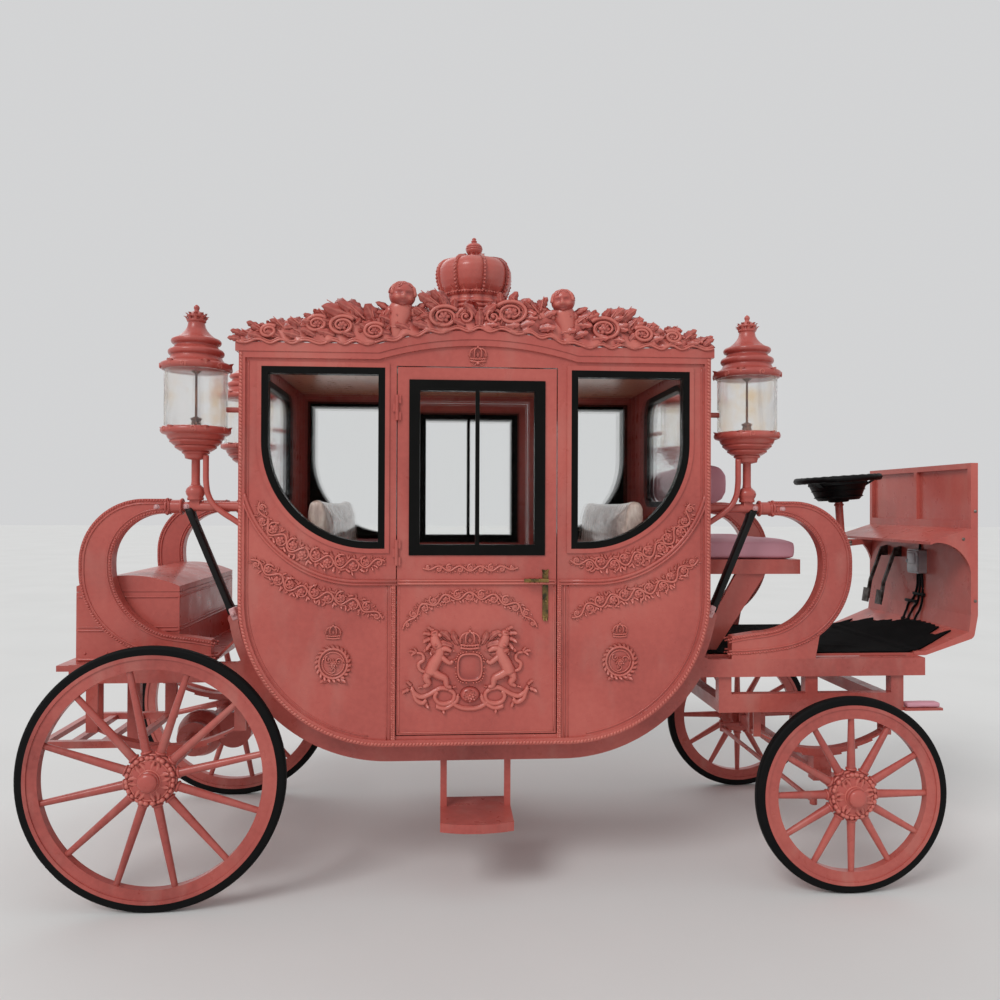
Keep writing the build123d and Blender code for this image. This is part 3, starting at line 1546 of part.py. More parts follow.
seat_top = SEAT_BOARD_Z + SEAT_BOARD_THICK
with BuildPart() as driver_cushions:
    with BuildSketch(Plane.XZ):
        with Locations(
            (
                (SEAT_REAR_X + SEAT_FRONT_X) / 2,
                seat_top + SOFT_GAP + SEAT_CUSHION_THICK / 2,
            )
        ):
            RectangleRounded(SEAT_FRONT_X - SEAT_REAR_X - 2, SEAT_CUSHION_THICK, SEAT_ROUND)
    extrude(amount=DRIVER_HALF_WIDTH - SEAT_INSET, both=True)
    with BuildSketch(Plane.XZ):
        with Locations(
            (CAB_FRONT + ROLL_CLEAR + ROLL_DEPTH / 2, (ROLL_LOW + ROLL_HIGH) / 2)
        ):
            RectangleRounded(ROLL_DEPTH, ROLL_HIGH - ROLL_LOW, ROLL_ROUND)
    extrude(amount=DRIVER_HALF_WIDTH - SEAT_INSET, both=True)
finish(driver_cushions.part, "driver_cushions")


# Wheels: turned hub and felloe with tapered round spokes between them
def wheel(x, radius, side, phase):
    """Wheel without its tyre; side is -1 on the right or 1 on the left."""
    z = radius
    rim = radius - TYRE_DEPTH - TYRE_SEAT
    felloe_in = rim - FELLOE_DEPTH
    hub = (
        (SPINDLE_R + BEARING_GAP, -HUB_INNER),
        (HUB_R - 18, -HUB_INNER),
        (HUB_R, -24),
        (HUB_FLANGE_R, -18),
        (HUB_FLANGE_R, HUB_FLANGE_OUT - 8),
        (HUB_FLANGE_R - 16, HUB_FLANGE_OUT),
        (NOSE_R + 6, HUB_FLANGE_OUT + 4),
        (NOSE_R, NOSE_OUT - 18),
        (NOSE_R - 16, NOSE_OUT),
        (0, NOSE_OUT),
        (0, SPINDLE_REACH + 2),
        (SPINDLE_R + BEARING_GAP, SPINDLE_REACH + 2),
    )
    half_felloe = FELLOE_WIDTH / 2
    half_rim = RIM_WIDTH / 2
    felloe = (
        (felloe_in, -half_felloe),
        (rim - RIM_DEPTH, -half_felloe),
        (rim - RIM_DEPTH, -half_rim),
        (rim, -half_rim),
        (rim, half_rim),
        (rim - RIM_DEPTH, half_rim),
        (rim - RIM_DEPTH, half_felloe),
        (felloe_in, half_felloe),
    )
    with BuildPart() as body:
        with BuildSketch(Plane.XY.offset(z)):
            for profile in (hub, felloe):
                add(polygon(*[(x + r, side * (WHEEL_Y + w)) for r, w in profile]))
        revolve(axis=Axis((x, 0, z), (0, 1, 0)))
        spoke_start = HUB_FLANGE_R - 12
        for number in range(SPOKE_COUNT):
            angle = phase + number * 360 / SPOKE_COUNT
            direction = (cos(radians(angle)), 0, sin(radians(angle)))
            foot = (
                x + spoke_start * direction[0],
                side * WHEEL_Y,
                z + spoke_start * direction[2],
            )
            plane = Plane(origin=foot, x_dir=(0, 1, 0), z_dir=direction)
            length = felloe_in + 4 - spoke_start
            with Locations(plane.location):
                Cone(
                    SPOKE_HUB_R,
                    SPOKE_RIM_R,
                    length,
                    align=(Align.CENTER, Align.CENTER, Align.MIN),
                )
    return body.part


def tyre(x, radius, side):
    """Solid rubber tyre with rounded shoulders."""
    inner = radius - TYRE_DEPTH
    with BuildPart() as body:
        with BuildSketch(Plane.XY.offset(radius)):
            with Locations((x + (inner + radius) / 2, side * WHEEL_Y)):
                Rectangle(TYRE_DEPTH, TYRE_WIDTH)
        revolve(axis=Axis((x, 0, radius), (0, 1, 0)))
        tread = body.faces().sort_by(SortBy.AREA)[-1]
        fillet(tread.edges(), TYRE_ROUND)
    return body.part


# Each wheel as name, axle place, radius, side and spoke phase
wheels = (
    ("rear_right", REAR_AXLE_X, REAR_WHEEL_R, -1, REAR_SPOKE_PHASE),
    ("rear_left", REAR_AXLE_X, REAR_WHEEL_R, 1, REAR_SPOKE_PHASE),
    ("front_right", FRONT_AXLE_X, FRONT_WHEEL_R, -1, FRONT_SPOKE_PHASE),
    ("front_left", FRONT_AXLE_X, FRONT_WHEEL_R, 1, FRONT_SPOKE_PHASE),
)
for name, x, radius, side, phase in wheels:
    finish(wheel(x, radius, side, phase), f"wheel_{name}")
    finish(tyre(x, radius, side), f"tyre_{name}")

# Rear axle: tube, differential housing and the drive motor ahead of it
axle_end = WHEEL_Y - HUB_INNER - AXLE_END_GAP
with BuildPart() as rear_axle:
    add(rod_y(AXLE_R, REAR_AXLE_X, REAR_WHEEL_R, -axle_end, axle_end))
    add(rod_y(SPINDLE_R, REAR_AXLE_X, REAR_WHEEL_R, -WHEEL_Y - SPINDLE_REACH, 0))
    add(rod_y(SPINDLE_R, REAR_AXLE_X, REAR_WHEEL_R, 0, WHEEL_Y + SPINDLE_REACH))
    with Locations((REAR_AXLE_X, 0, REAR_WHEEL_R)):
        Sphere(DIFF_R)
    add(rod_y(DIFF_R * 0.72, REAR_AXLE_X, REAR_WHEEL_R, -DIFF_R - 22, DIFF_R + 22))
    motor_x = REAR_AXLE_X + DIFF_R + MOTOR_R * 0.6
    motor_z = REAR_WHEEL_R + 20
    add(rod_y(MOTOR_R, motor_x, motor_z, -40, MOTOR_LENGTH - 40))
    for sign in (-1, 1):
        y = sign * REAR_SPRING_Y
        add(
            box_between(
                (
                    REAR_AXLE_X - SEAT_BLOCK_HALF,
                    y - SPRING_WIDTH / 2 - SEAT_BLOCK_SIDE,
                    REAR_WHEEL_R + AXLE_R / 2,
                ),
                (
                    REAR_AXLE_X + SEAT_BLOCK_HALF,
                    y + SPRING_WIDTH / 2 + SEAT_BLOCK_SIDE,
                    rear_spring_base,
                ),
            )
        )
finish(rear_axle.part, "rear_axle")

# Front axle beam with an eye for the kingpin at each end
with BuildPart() as front_axle:
    beam_reach = KINGPIN_Y - EAR_R - 6
    add(
        box_between(
            (
                FRONT_AXLE_X - FRONT_BEAM / 2,
                -beam_reach,
                FRONT_WHEEL_R - FRONT_BEAM / 2,
            ),
            (FRONT_AXLE_X + FRONT_BEAM / 2, beam_reach, FRONT_WHEEL_R + FRONT_BEAM / 2),
        )
    )
    for sign in (-1, 1):
        add(
            rod_z(
                BEAM_EYE_R,
                FRONT_AXLE_X,
                sign * KINGPIN_Y,
                FRONT_WHEEL_R - BEAM_EYE_HALF,
                FRONT_WHEEL_R + BEAM_EYE_HALF,
            )
        )
        neck_in = sign * (beam_reach - 1)
        neck_out = sign * KINGPIN_Y
        add(
            box_between(
                (
                    FRONT_AXLE_X - NECK_HALF,
                    min(neck_in, neck_out),
                    FRONT_WHEEL_R - BEAM_EYE_HALF,
                ),
                (
                    FRONT_AXLE_X + NECK_HALF,
                    max(neck_in, neck_out),
                    FRONT_WHEEL_R + BEAM_EYE_HALF,
                ),
            )
        )
        y = sign * FRONT_SPRING_Y
        add(
            box_between(
                (
                    FRONT_AXLE_X - SEAT_BLOCK_HALF,
                    y - SPRING_WIDTH / 2 - SEAT_BLOCK_SIDE,
                    FRONT_WHEEL_R - FRONT_BEAM / 2 - 8,
                ),
                (
                    FRONT_AXLE_X + SEAT_BLOCK_HALF,
                    y + SPRING_WIDTH / 2 + SEAT_BLOCK_SIDE,
                    front_spring_base,
                ),
            )
        )
    for sign in (-1, 1):
        bore = rod_z(KINGPIN_R + BEARING_GAP, FRONT_AXLE_X, sign * KINGPIN_Y, 0, 900)
        add(bore, mode=Mode.SUBTRACT)
finish(front_axle.part, "front_axle")


def leaf_spring(x, base, half_span, y):
    """Leaf pack that curves up to an eye at each end, flat on its seat."""
    rise = SPRING_RISE_SHARE * half_span
    radius = (half_span**2 + rise**2) / (2 * rise)
    pack = LEAF * (LEAF_COUNT - 1)
    centre = (x, base + pack + radius)
    reach = degrees(asin(half_span / radius))
    plane = wall_plane(y + SPRING_WIDTH / 2)
    with BuildPart() as spring:
        with BuildSketch(plane):
            for number in range(LEAF_COUNT):
                share = 1 - number * 0.24
                inner = radius + (number - 1) * LEAF
                start = 270 - reach * share
                stop = 270 + reach * share
                add(ring_sector(centre, inner, inner + LEAF, start, stop))
            add(rectangle(x - 44, base, x + 44, base + pack + LEAF))
            for angle in (270 - reach, 270 + reach):
                with Locations(polar(centre, radius - LEAF / 2, angle)):
                    Circle(SPRING_EYE_R)
        extrude(amount=SPRING_WIDTH)
    return spring.part


with BuildPart() as leaf_springs:
    for sign in (-1, 1):
        add(
            leaf_spring(
                REAR_AXLE_X, rear_spring_base, REAR_SPRING_HALF, sign * REAR_SPRING_Y
            )
        )
        add(
            leaf_spring(
                FRONT_AXLE_X, front_spring_base, FRONT_SPRING_HALF, sign * FRONT_SPRING_Y
            )
        )
finish(leaf_springs.part, "leaf_springs")


# Steering knuckles: two ears on the kingpin, spindle and steering arm
ear_low = FRONT_WHEEL_R - BEAM_EYE_HALF - EAR_GAP
ear_high = FRONT_WHEEL_R + BEAM_EYE_HALF + EAR_GAP
arm_x = FRONT_AXLE_X - STEER_ARM
tie_z = ear_low - EAR_THICK - TIE_GAP - TIE_EYE_HALF


def knuckle(side):
    """Knuckle with its kingpin, spindle and arm."""
    y = side * KINGPIN_Y
    with BuildPart() as body:
        for low, high in (
            (ear_low - EAR_THICK, ear_low),
            (ear_high, ear_high + EAR_THICK),
        ):
            add(rod_z(EAR_R, FRONT_AXLE_X, y, low, high))
            edge = y + side * 45
            add(
                box_between(
                    (FRONT_AXLE_X - EAR_HALF, min(y, edge), low),
                    (FRONT_AXLE_X + EAR_HALF, max(y, edge), high),
                )
            )
        add(rod_z(KINGPIN_R, FRONT_AXLE_X, y, ear_low - 1, ear_high + 1))
        inner = y + side * (EAR_R + 6)
        outer = side * (WHEEL_Y - HUB_INNER - 3)
        add(
            box_between(
                (FRONT_AXLE_X - EAR_HALF, min(inner, outer), ear_low - EAR_THICK),
                (FRONT_AXLE_X + EAR_HALF, max(inner, outer), ear_high + EAR_THICK),
            )
        )
        add(
            rod_y(
                SPINDLE_R,
                FRONT_AXLE_X,
                FRONT_WHEEL_R,
                inner,
                side * (WHEEL_Y + SPINDLE_REACH),
            )
        )
        add(
            box_between(
                (arm_x, y - STEER_ARM_HALF, ear_low - EAR_THICK),
                (FRONT_AXLE_X, y + STEER_ARM_HALF, ear_low - 2),
            )
        )
        add(rod_z(18, arm_x, y, ear_low - EAR_THICK, ear_low - 2))
        add(rod_z(TIE_PIN_R, arm_x, y, tie_z - TIE_EYE_HALF - 4, ear_low - 4))
    return body.part


for side, word in ((-1, "right"), (1, "left")):
    finish(knuckle(side), f"knuckle_{word}")

# Tie rod between the two steering arms, with an eye on each pin
with BuildPart() as tie_rod:
    add(rod_y(TIE_ROD_R, arm_x, tie_z, 12 - KINGPIN_Y, KINGPIN_Y - 12))
    for sign in (-1, 1):
        y = sign * KINGPIN_Y
        add(rod_z(TIE_EYE_R, arm_x, y, tie_z - TIE_EYE_HALF, tie_z + TIE_EYE_HALF))
    for sign in (-1, 1):
        y = sign * KINGPIN_Y
        bore = rod_z(TIE_PIN_R + BEARING_GAP, arm_x, y, 0, 900)
        add(bore, mode=Mode.SUBTRACT)
finish(tie_rod.part, "tie_rod")

# Steering column on its bracket, with the steering wheel on top
column_plane = Plane(
    origin=(COLUMN_X, COLUMN_Y, COLUMN_BOTTOM),
    x_dir=(cos(radians(COLUMN_TILT)), 0, sin(radians(COLUMN_TILT))),
    z_dir=(-sin(radians(COLUMN_TILT)), 0, cos(radians(COLUMN_TILT))),
)
column_length = COLUMN_TOP - COLUMN_BOTTOM
hub_height = STEERING_RIM_Z - COLUMN_TOP
shelf_slope = (SHELF_FRONT_Z - SHELF_REAR_Z) / (dash_inner_x - SHELF_REAR_X)
bracket_end = SHELF_REAR_X + 60
bracket_top = SHELF_REAR_Z - SHELF_THICK - SEAM
with BuildPart() as steering_column:
    add(column_plane.location * rod(COLUMN_R, 0, column_length))
    add(column_plane.location * rod(SHAFT_R + BEARING_GAP, -1, column_length + 1), mode=Mode.SUBTRACT)
    with BuildSketch(Plane.XZ.offset(-COLUMN_Y)):
        add(
            polygon(
                (COLUMN_X + COLUMN_R - 4, bracket_top - 40),
                (SHELF_REAR_X, bracket_top - 30),
                (bracket_end, bracket_top - 16),
                (bracket_end, bracket_top + shelf_slope * (bracket_end - SHELF_REAR_X)),
                (SHELF_REAR_X, bracket_top),
                (COLUMN_X + COLUMN_R - 6, bracket_top),
            )
        )
    extrude(amount=30, both=True)
finish(steering_column.part, "steering_column")

with BuildPart() as steering_wheel:
    with BuildSketch(Plane.XZ):
        with Locations((STEERING_R, hub_height)):
            Circle(STEERING_RIM_R)
        add(
            polygon(
                (0, 4),
                (BOWL_FLOOR_R - BOWL_WALL, 4),
                (BOWL_FLOOR_R, 4 + BOWL_WALL),
                (BOWL_R, BOWL_HEIGHT),
                (BOWL_R - BOWL_WALL, BOWL_HEIGHT),
                (BOWL_FLOOR_R - BOWL_WALL, 4 + BOWL_PLATE),
                (HUB_BOSS_R, 4 + BOWL_PLATE),
                (HUB_BOSS_R, BOWL_HEIGHT * 0.75),
                (0, BOWL_HEIGHT * 0.75),
            )
        )
        add(polygon((0, -column_length + 6), (SHAFT_R, -column_length + 6), (SHAFT_R, 5), (0, 5)))
    revolve(axis=Axis.Z)
    for angle in (90, 210, 330):
        with BuildSketch(Plane.XZ.rotated((0, 0, angle))):
            add(
                polygon(
                    (BOWL_R - BOWL_WALL / 2, BOWL_HEIGHT - SPOKE_DEPTH - 2),
                    (STEERING_R - 4, hub_height - SPOKE_DEPTH / 2),
                    (STEERING_R - 4, hub_height + SPOKE_DEPTH / 2),
                    (BOWL_R - BOWL_WALL / 2, BOWL_HEIGHT - 2),
                )
            )
        extrude(amount=STEERING_SPOKE / 2, both=True)
wheel_plane = Plane(
    origin=column_plane.origin + column_plane.z_dir * column_length,
    x_dir=column_plane.x_dir,
    z_dir=column_plane.z_dir,
)
finish(wheel_plane.location * steering_wheel.part, "steering_wheel")

# Fuse box on the dash and the pedals below it
with BuildPart() as fuse_box:
    with Locations((dash_inner_x - FUSE_SIZE[0] / 2 - SEAM, FUSE_Y, FUSE_Z)):
        Box(*FUSE_SIZE)
    fillet(fuse_box.edges().filter_by(Axis.X), FUSE_ROUND)
finish(fuse_box.part, "fuse_box")

# Side outlines of arm and foot pad: distance behind the dash, drop below the pivot
pedal_arm = (
    (SEAM, 0),
    (SEAM, -60),
    (40, -50),
    (110, 140),
    (130, 250),
    (112, 254),
    (94, 146),
    (40, 0),
)
pedal_pad = ((128, 190), (140, 270), (130, 272), (116, 192))
with BuildPart() as pedals:
    for y in (COLUMN_Y - PEDAL_SPREAD, COLUMN_Y + PEDAL_SPREAD):
        for outline, half in ((pedal_arm, PEDAL_ARM / 2), (pedal_pad, PEDAL_WIDTH / 2)):
            with BuildSketch(Plane.XZ.offset(-y)):
                points = [(dash_inner_x - back, PEDAL_Z - drop) for back, drop in outline]
                add(polygon(*points))
            extrude(amount=half, both=True)
finish(pedals.part, "pedals")
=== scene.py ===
"""Dresses the royal carriage: paint, glass, leather, carving and light over its frame."""

import json
import logging
import math
from dataclasses import dataclass, field
from enum import Enum
from random import Random
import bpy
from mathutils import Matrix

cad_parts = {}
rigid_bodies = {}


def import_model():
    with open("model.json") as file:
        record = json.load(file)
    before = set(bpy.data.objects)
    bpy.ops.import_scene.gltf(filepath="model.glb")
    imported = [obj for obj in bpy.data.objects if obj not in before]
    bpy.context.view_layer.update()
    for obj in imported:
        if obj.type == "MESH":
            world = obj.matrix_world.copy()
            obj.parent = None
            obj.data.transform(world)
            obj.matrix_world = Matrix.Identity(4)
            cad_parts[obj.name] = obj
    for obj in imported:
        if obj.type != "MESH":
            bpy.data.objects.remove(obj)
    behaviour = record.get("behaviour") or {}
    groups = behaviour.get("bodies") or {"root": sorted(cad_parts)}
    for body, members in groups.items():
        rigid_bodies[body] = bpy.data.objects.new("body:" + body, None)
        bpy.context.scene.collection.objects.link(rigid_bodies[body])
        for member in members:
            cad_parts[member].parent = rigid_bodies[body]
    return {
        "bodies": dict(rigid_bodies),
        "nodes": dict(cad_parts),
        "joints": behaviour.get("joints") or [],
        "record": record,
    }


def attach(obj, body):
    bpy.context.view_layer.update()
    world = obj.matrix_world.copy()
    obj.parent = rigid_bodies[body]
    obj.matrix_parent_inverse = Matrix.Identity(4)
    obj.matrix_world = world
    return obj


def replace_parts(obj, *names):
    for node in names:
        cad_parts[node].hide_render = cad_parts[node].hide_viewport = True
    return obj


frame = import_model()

from types import MappingProxyType
from typing import Any, Iterable, Mapping, Sequence

import bmesh
import bpy
import numpy as np
from mathutils import Matrix, Vector

log = logging.getLogger("carriage")

Colour = tuple[float, float, float]
Point = tuple[float, float, float]
Pair = tuple[float, float]

# The cab's own line, in metres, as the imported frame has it
CAB_X = -0.185
CAB_REAR = -1.252
CAB_FRONT = 0.882
SKIN_Y = 0.7
CORNER_R = 0.66
CORNER_Z = 1.344
EAVES_Z = 2.447
ARCH_Z = 2.514
ARCH_HALF = 0.45
ROOF_LIFT = 0.04
CARRIER = "carriage"


def linear(red: int, green: int, blue: int) -> Colour:
    """Turn a colour written in eight-bit screen values into linear light.

    Args:
        red: Red from 0 to 255.
        green: Green from 0 to 255.
        blue: Blue from 0 to 255.

    Returns:
        The same colour as three linear numbers.
    """
    parts = [value / 255 for value in (red, green, blue)]
    bent = [p / 12.92 if p <= 0.04045 else ((p + 0.055) / 1.055) ** 2.4 for p in parts]
    return (bent[0], bent[1], bent[2])


def arch_height(x: float) -> float:
    """Height of the roof line above the eaves at this X.

    Args:
        x: Place along the cab.

    Returns:
        The height, 0 beside the arch.
    """
    reach = abs(x - CAB_X)
    if reach >= ARCH_HALF:
        return 0.0
    rise = ARCH_Z - EAVES_Z
    radius = (ARCH_HALF**2 + rise**2) / (2 * rise)
    return math.sqrt(radius**2 - reach**2) - (radius - rise)


class NodeWork:
    """A node tree that is wired by short calls."""

    tree: bpy.types.NodeTree

    def add(self, kind: str, feeds: Mapping[Any, Any] = MappingProxyType({}), **settings: Any) -> Any:
        """Add one node.

        Args:
            kind: The node's type name.
            feeds: What its inputs get: outputs of other nodes, or plain values.
            **settings: Properties to set on it first.

        Returns:
            The new node.
        """
        made = self.tree.nodes.new(kind)
        for key, value in settings.items():
            setattr(made, key, value)
        for key, value in feeds.items():
            self.feed(made.inputs[key], value)
        return made

    def feed(self, target: Any, source: Any) -> None:
        """Join an output to an input, or set the input's value.

        Args:
            target: The input.
            source: The output or the value.
        """
        if isinstance(source, bpy.types.NodeSocket):
            self.tree.links.new(source, target)
        else:
            target.default_value = source


class MaterialSheet(NodeWork):
    """Nodes of one material."""

    def __init__(self, name: str) -> None:
        """Start a material with its shader and its object coordinates.

        Args:
            name: The material's name.
        """
        self.material = bpy.data.materials.new(name)
        self.material.use_nodes = True
        self.tree = self.material.node_tree
        self.shader = self.tree.nodes["Principled BSDF"]
        self.place = self.add("ShaderNodeTexCoord").outputs["Object"]

    def give(self, **values: Any) -> None:
        """Feed the shader's sockets by name with outputs, numbers or colours.

        Args:
            **values: What each socket gets.
        """
        for key, value in values.items():
            colour = (*value, 1.0) if isinstance(value, tuple) else value
            self.feed(self.shader.inputs[key.replace("_", " ")], colour)

    def stretched(self, scale: Point, turn: Point = (0.0, 0.0, 0.0)) -> Any:
        """Object coordinates, scaled and turned along each axis."""
        feeds = {"Scale": scale, "Rotation": turn, "Vector": self.place}
        return self.add("ShaderNodeMapping", feeds).outputs["Vector"]

    def noise(self, scale: float, detail: float = 3.0, source: Any = None) -> Any:
        """Even noise from 0 to 1, of so many waves in a metre."""
        feeds = {"Scale": scale, "Detail": detail, "Vector": source or self.place}
        return self.add("ShaderNodeTexNoise", feeds).outputs["Fac"]

    def cells(self, scale: float, feature: str = "F1", source: Any = None) -> Any:
        """Distance pattern of small cells, so many in a metre."""
        feeds = {"Scale": scale, "Vector": source or self.place}
        return self.add("ShaderNodeTexVoronoi", feeds, feature=feature).outputs["Distance"]

    def ramp(self, factor: Any, *stops: tuple[float, Colour]) -> Any:
        """Colour for a number.

        Args:
            factor: The number's output.
            *stops: Place and colour pairs.

        Returns:
            The colour output.
        """
        made = self.add("ShaderNodeValToRGB", {"Fac": factor})
        elements = made.color_ramp.elements
        while len(elements) < len(stops):
            elements.new(0.5)
        for element, (place, colour) in zip(elements, stops):
            element.position = place
            element.color = (*colour, 1.0)
        return made.outputs["Color"]

    def mix(self, factor: Any, first: Any, second: Any) -> Any:
        """Blend two colours by a number, an output or a fixed share."""
        feeds = {0: factor, 6: first, 7: second}
        return self.add("ShaderNodeMix", feeds, data_type="RGBA").outputs[2]

    def range(self, factor: Any, low: float, high: float, start: float = 0.0, stop: float = 1.0) -> Any:
        """Stretch the numbers from start to stop over low to high."""
        feeds = {"From Min": start, "From Max": stop, "To Min": low, "To Max": high, "Value": factor}
        return self.add("ShaderNodeMapRange", feeds).outputs["Result"]

    def sum(self, first: Any, second: Any, share: float) -> Any:
        """One number plus a share of another."""
        return self.add("ShaderNodeMath", {0: second, 1: share, 2: first}, operation="MULTIPLY_ADD").outputs[0]

    def attribute(self, name: str) -> Any:
        """A number kept on the piece's own points."""
        return self.add("ShaderNodeAttribute", attribute_name=name).outputs["Fac"]

    def bump(self, height: Any, strength: float, distance: float, below: Any = None) -> Any:
        """Lay a fine relief on the surface.

        Args:
            height: The height's output.
            strength: Its share.
            distance: Its depth in metres.
            below: A relief that lies under it.

        Returns:
            The bent normal, which is also given to the shader.
        """
        feeds = {"Strength": strength, "Distance": distance, "Height": height}
        if below is not None:
            feeds["Normal"] = below
        normal = self.add("ShaderNodeBump", feeds).outputs["Normal"]
        self.give(Normal=normal)
        return normal


@dataclass(frozen=True)
class BodyPaint:
    """Pink body paint under clear lacquer with patches of dust; where it is carved, painted shade darkens its
    hollows and painted highlight lightens its crests.
    """

    name: str
    colour: Colour
    shade: Colour
    light: Colour
    carved: bool = False
    grime: float = 0.35

    def make(self) -> bpy.types.Material:
        """Build the material.

        Returns:
            The material.
        """
        sheet = MaterialSheet(self.name)
        broad = sheet.noise(1.6, 4)
        fine = sheet.noise(46, 5)
        blend = sheet.sum(sheet.range(broad, 0.0, 0.62, 0.3, 0.7), fine, 0.4)
        base = sheet.ramp(blend, (0.15, self.shade), (0.5, self.colour), (0.9, self.light))
        if self.carved:
            # Painted shade and highlight: the relief ramp darkens the carving's hollows and lightens its crests.
            relief = sheet.attribute("relief")
            painted_hollow_shade = tuple(value * 0.42 for value in self.shade)
            painted_relief_shading = sheet.ramp(relief, (0.0, painted_hollow_shade), (0.38, self.shade), (0.72, self.colour), (1.0, self.light))
            base = sheet.mix(0.72, base, painted_relief_shading)
        dust = sheet.noise(9, 6, sheet.stretched((1.0, 1.0, 0.35)))
        dust_share = sheet.range(dust, 0.0, self.grime, 0.52, 0.8)
        dusty = tuple(0.55 * value + 0.45 * grey for value, grey in zip(self.colour, (0.5, 0.36, 0.3)))
        sheet.give(
            Base_Color=sheet.mix(dust_share, base, (*dusty, 1.0)),
            Roughness=sheet.range(sheet.noise(14, 4), 0.24, 0.46, 0.3, 0.75),
        )
        sheet.give(Coat_Weight=0.22, Coat_Roughness=0.14, Specular_IOR_Level=0.35)
        wavy = sheet.bump(sheet.noise(5.5, 2), 0.2, 0.004)
        sheet.bump(sheet.noise(260, 3), 0.1 if not self.carved else 0.22, 0.0006, wavy)
        return sheet.material


@dataclass(frozen=True)
class SatinPaint:
    """Dark paint with slightly paler random patches of wear and dust."""

    name: str
    colour: Colour
    light: Colour
    roughness: float = 0.34
    grain: float = 190.0

    def make(self) -> bpy.types.Material:
        """Build the material.

        Returns:
            The material.
        """
        sheet = MaterialSheet(self.name)
        wear = sheet.noise(12, 6)
        sheet.give(
            Base_Color=sheet.ramp(wear, (0.35, self.colour), (0.8, self.light)),
            Roughness=sheet.range(sheet.noise(30, 4), self.roughness - 0.08, self.roughness + 0.14),
        )
        sheet.give(Specular_IOR_Level=0.12)
        sheet.bump(sheet.noise(self.grain, 3), 0.12, 0.0006)
        return sheet.material


@dataclass(frozen=True)
class TyreRubber:
    """Solid black rubber with a fine pebbled grain and pale road dust."""

    name: str = "tyre_rubber"

    def make(self) -> bpy.types.Material:
        """Build the material.

        Returns:
            The material.
        """
        sheet = MaterialSheet(self.name)
        dust = sheet.noise(16, 6)
        sheet.give(
            Base_Color=sheet.ramp(
                dust, (0.42, linear(8, 8, 9)), (0.7, linear(16, 15, 15)), (0.9, linear(40, 36, 33))
            ),
            Roughness=sheet.range(dust, 0.5, 0.85),
        )
        sheet.give(Specular_IOR_Level=0.14)
        rough = sheet.bump(sheet.noise(420, 3), 0.35, 0.0007)
        sheet.bump(sheet.cells(90), 0.12, 0.0012, rough)
        return sheet.material


@dataclass(frozen=True)
class ClearGlass:
    """Float glass, or lamp glass with a warm tint, with faint dust and ripples."""

    name: str
    tint: Colour
    ripple: float = 0.02
    body: float = 0.3

    def make(self) -> bpy.types.Material:
        """Build the material.

        Returns:
            The material.
        """
        sheet = MaterialSheet(self.name)
        film = sheet.noise(7, 5)
        sheet.give(Roughness=sheet.range(film, 0.0, 0.06, 0.5, 0.8))
        sheet.give(Base_Color=sheet.ramp(film, (0.3, self.tint), (0.9, (0.93, 0.94, 0.93))))
        sheet.give(Transmission_Weight=1.0, IOR=1.08, Alpha=self.body)
        sheet.bump(sheet.noise(6, 2), self.ripple, 0.002)
        return sheet.material


@dataclass(frozen=True)
class LampGlass:
    """Old blown cylinder: clear, with greyish streaks down it and golden patches of painted reflection."""

    name: str = "lamp_cylinder_glass"
    clear: Colour = (0.985, 0.985, 0.975)
    amber_reflection: Colour = (0.96, 0.74, 0.46)
    smoke: Colour = (0.55, 0.5, 0.5)

    def make(self) -> bpy.types.Material:
        """Build the material.

        Returns:
            The material.
        """
        sheet = MaterialSheet(self.name)
        streaks = sheet.noise(13, 4, sheet.stretched((1.0, 1.0, 0.1)))
        clouds = sheet.noise(9, 5, sheet.stretched((1.0, 1.0, 0.7), (0.0, 0.0, 0.6)))
        # Painted reflection: golden patches stand in for reflections on the glass.
        tint = sheet.mix(sheet.range(clouds, 0.0, 0.85, 0.5, 0.72), (*self.clear, 1.0), (*self.amber_reflection, 1.0))
        base = sheet.mix(sheet.range(streaks, 0.0, 0.75, 0.56, 0.74), tint, (*self.smoke, 1.0))
        sheet.give(Base_Color=base, Roughness=sheet.range(clouds, 0.0, 0.16, 0.45, 0.75))
        sheet.give(Transmission_Weight=0.94, IOR=1.12, Coat_Weight=0.5, Coat_Roughness=0.04, Alpha=0.72)
        sheet.bump(streaks, 0.25, 0.004)
        return sheet.material


@dataclass(frozen=True)
class AgedMetal:
    """Metal with dark patina in patches and fine scratches."""

    name: str
    colour: Colour
    patina: Colour
    metallic: float = 1.0
    roughness: float = 0.32
    patch: float = 26.0

    def make(self) -> bpy.types.Material:
        """Build the material.

        Returns:
            The material.
        """
        sheet = MaterialSheet(self.name)
        patches = sheet.noise(self.patch, 7)
        lines = sheet.noise(120, 2, sheet.stretched((1.0, 1.0, 14.0)))
        sheet.give(
            Base_Color=sheet.ramp(patches, (0.38, self.patina), (0.62, self.colour)),
            Roughness=sheet.range(sheet.sum(patches, lines, 0.4), self.roughness - 0.1, self.roughness + 0.3),
        )
        sheet.give(Metallic=self.metallic)
        sheet.bump(lines, 0.12, 0.0004)
        return sheet.material


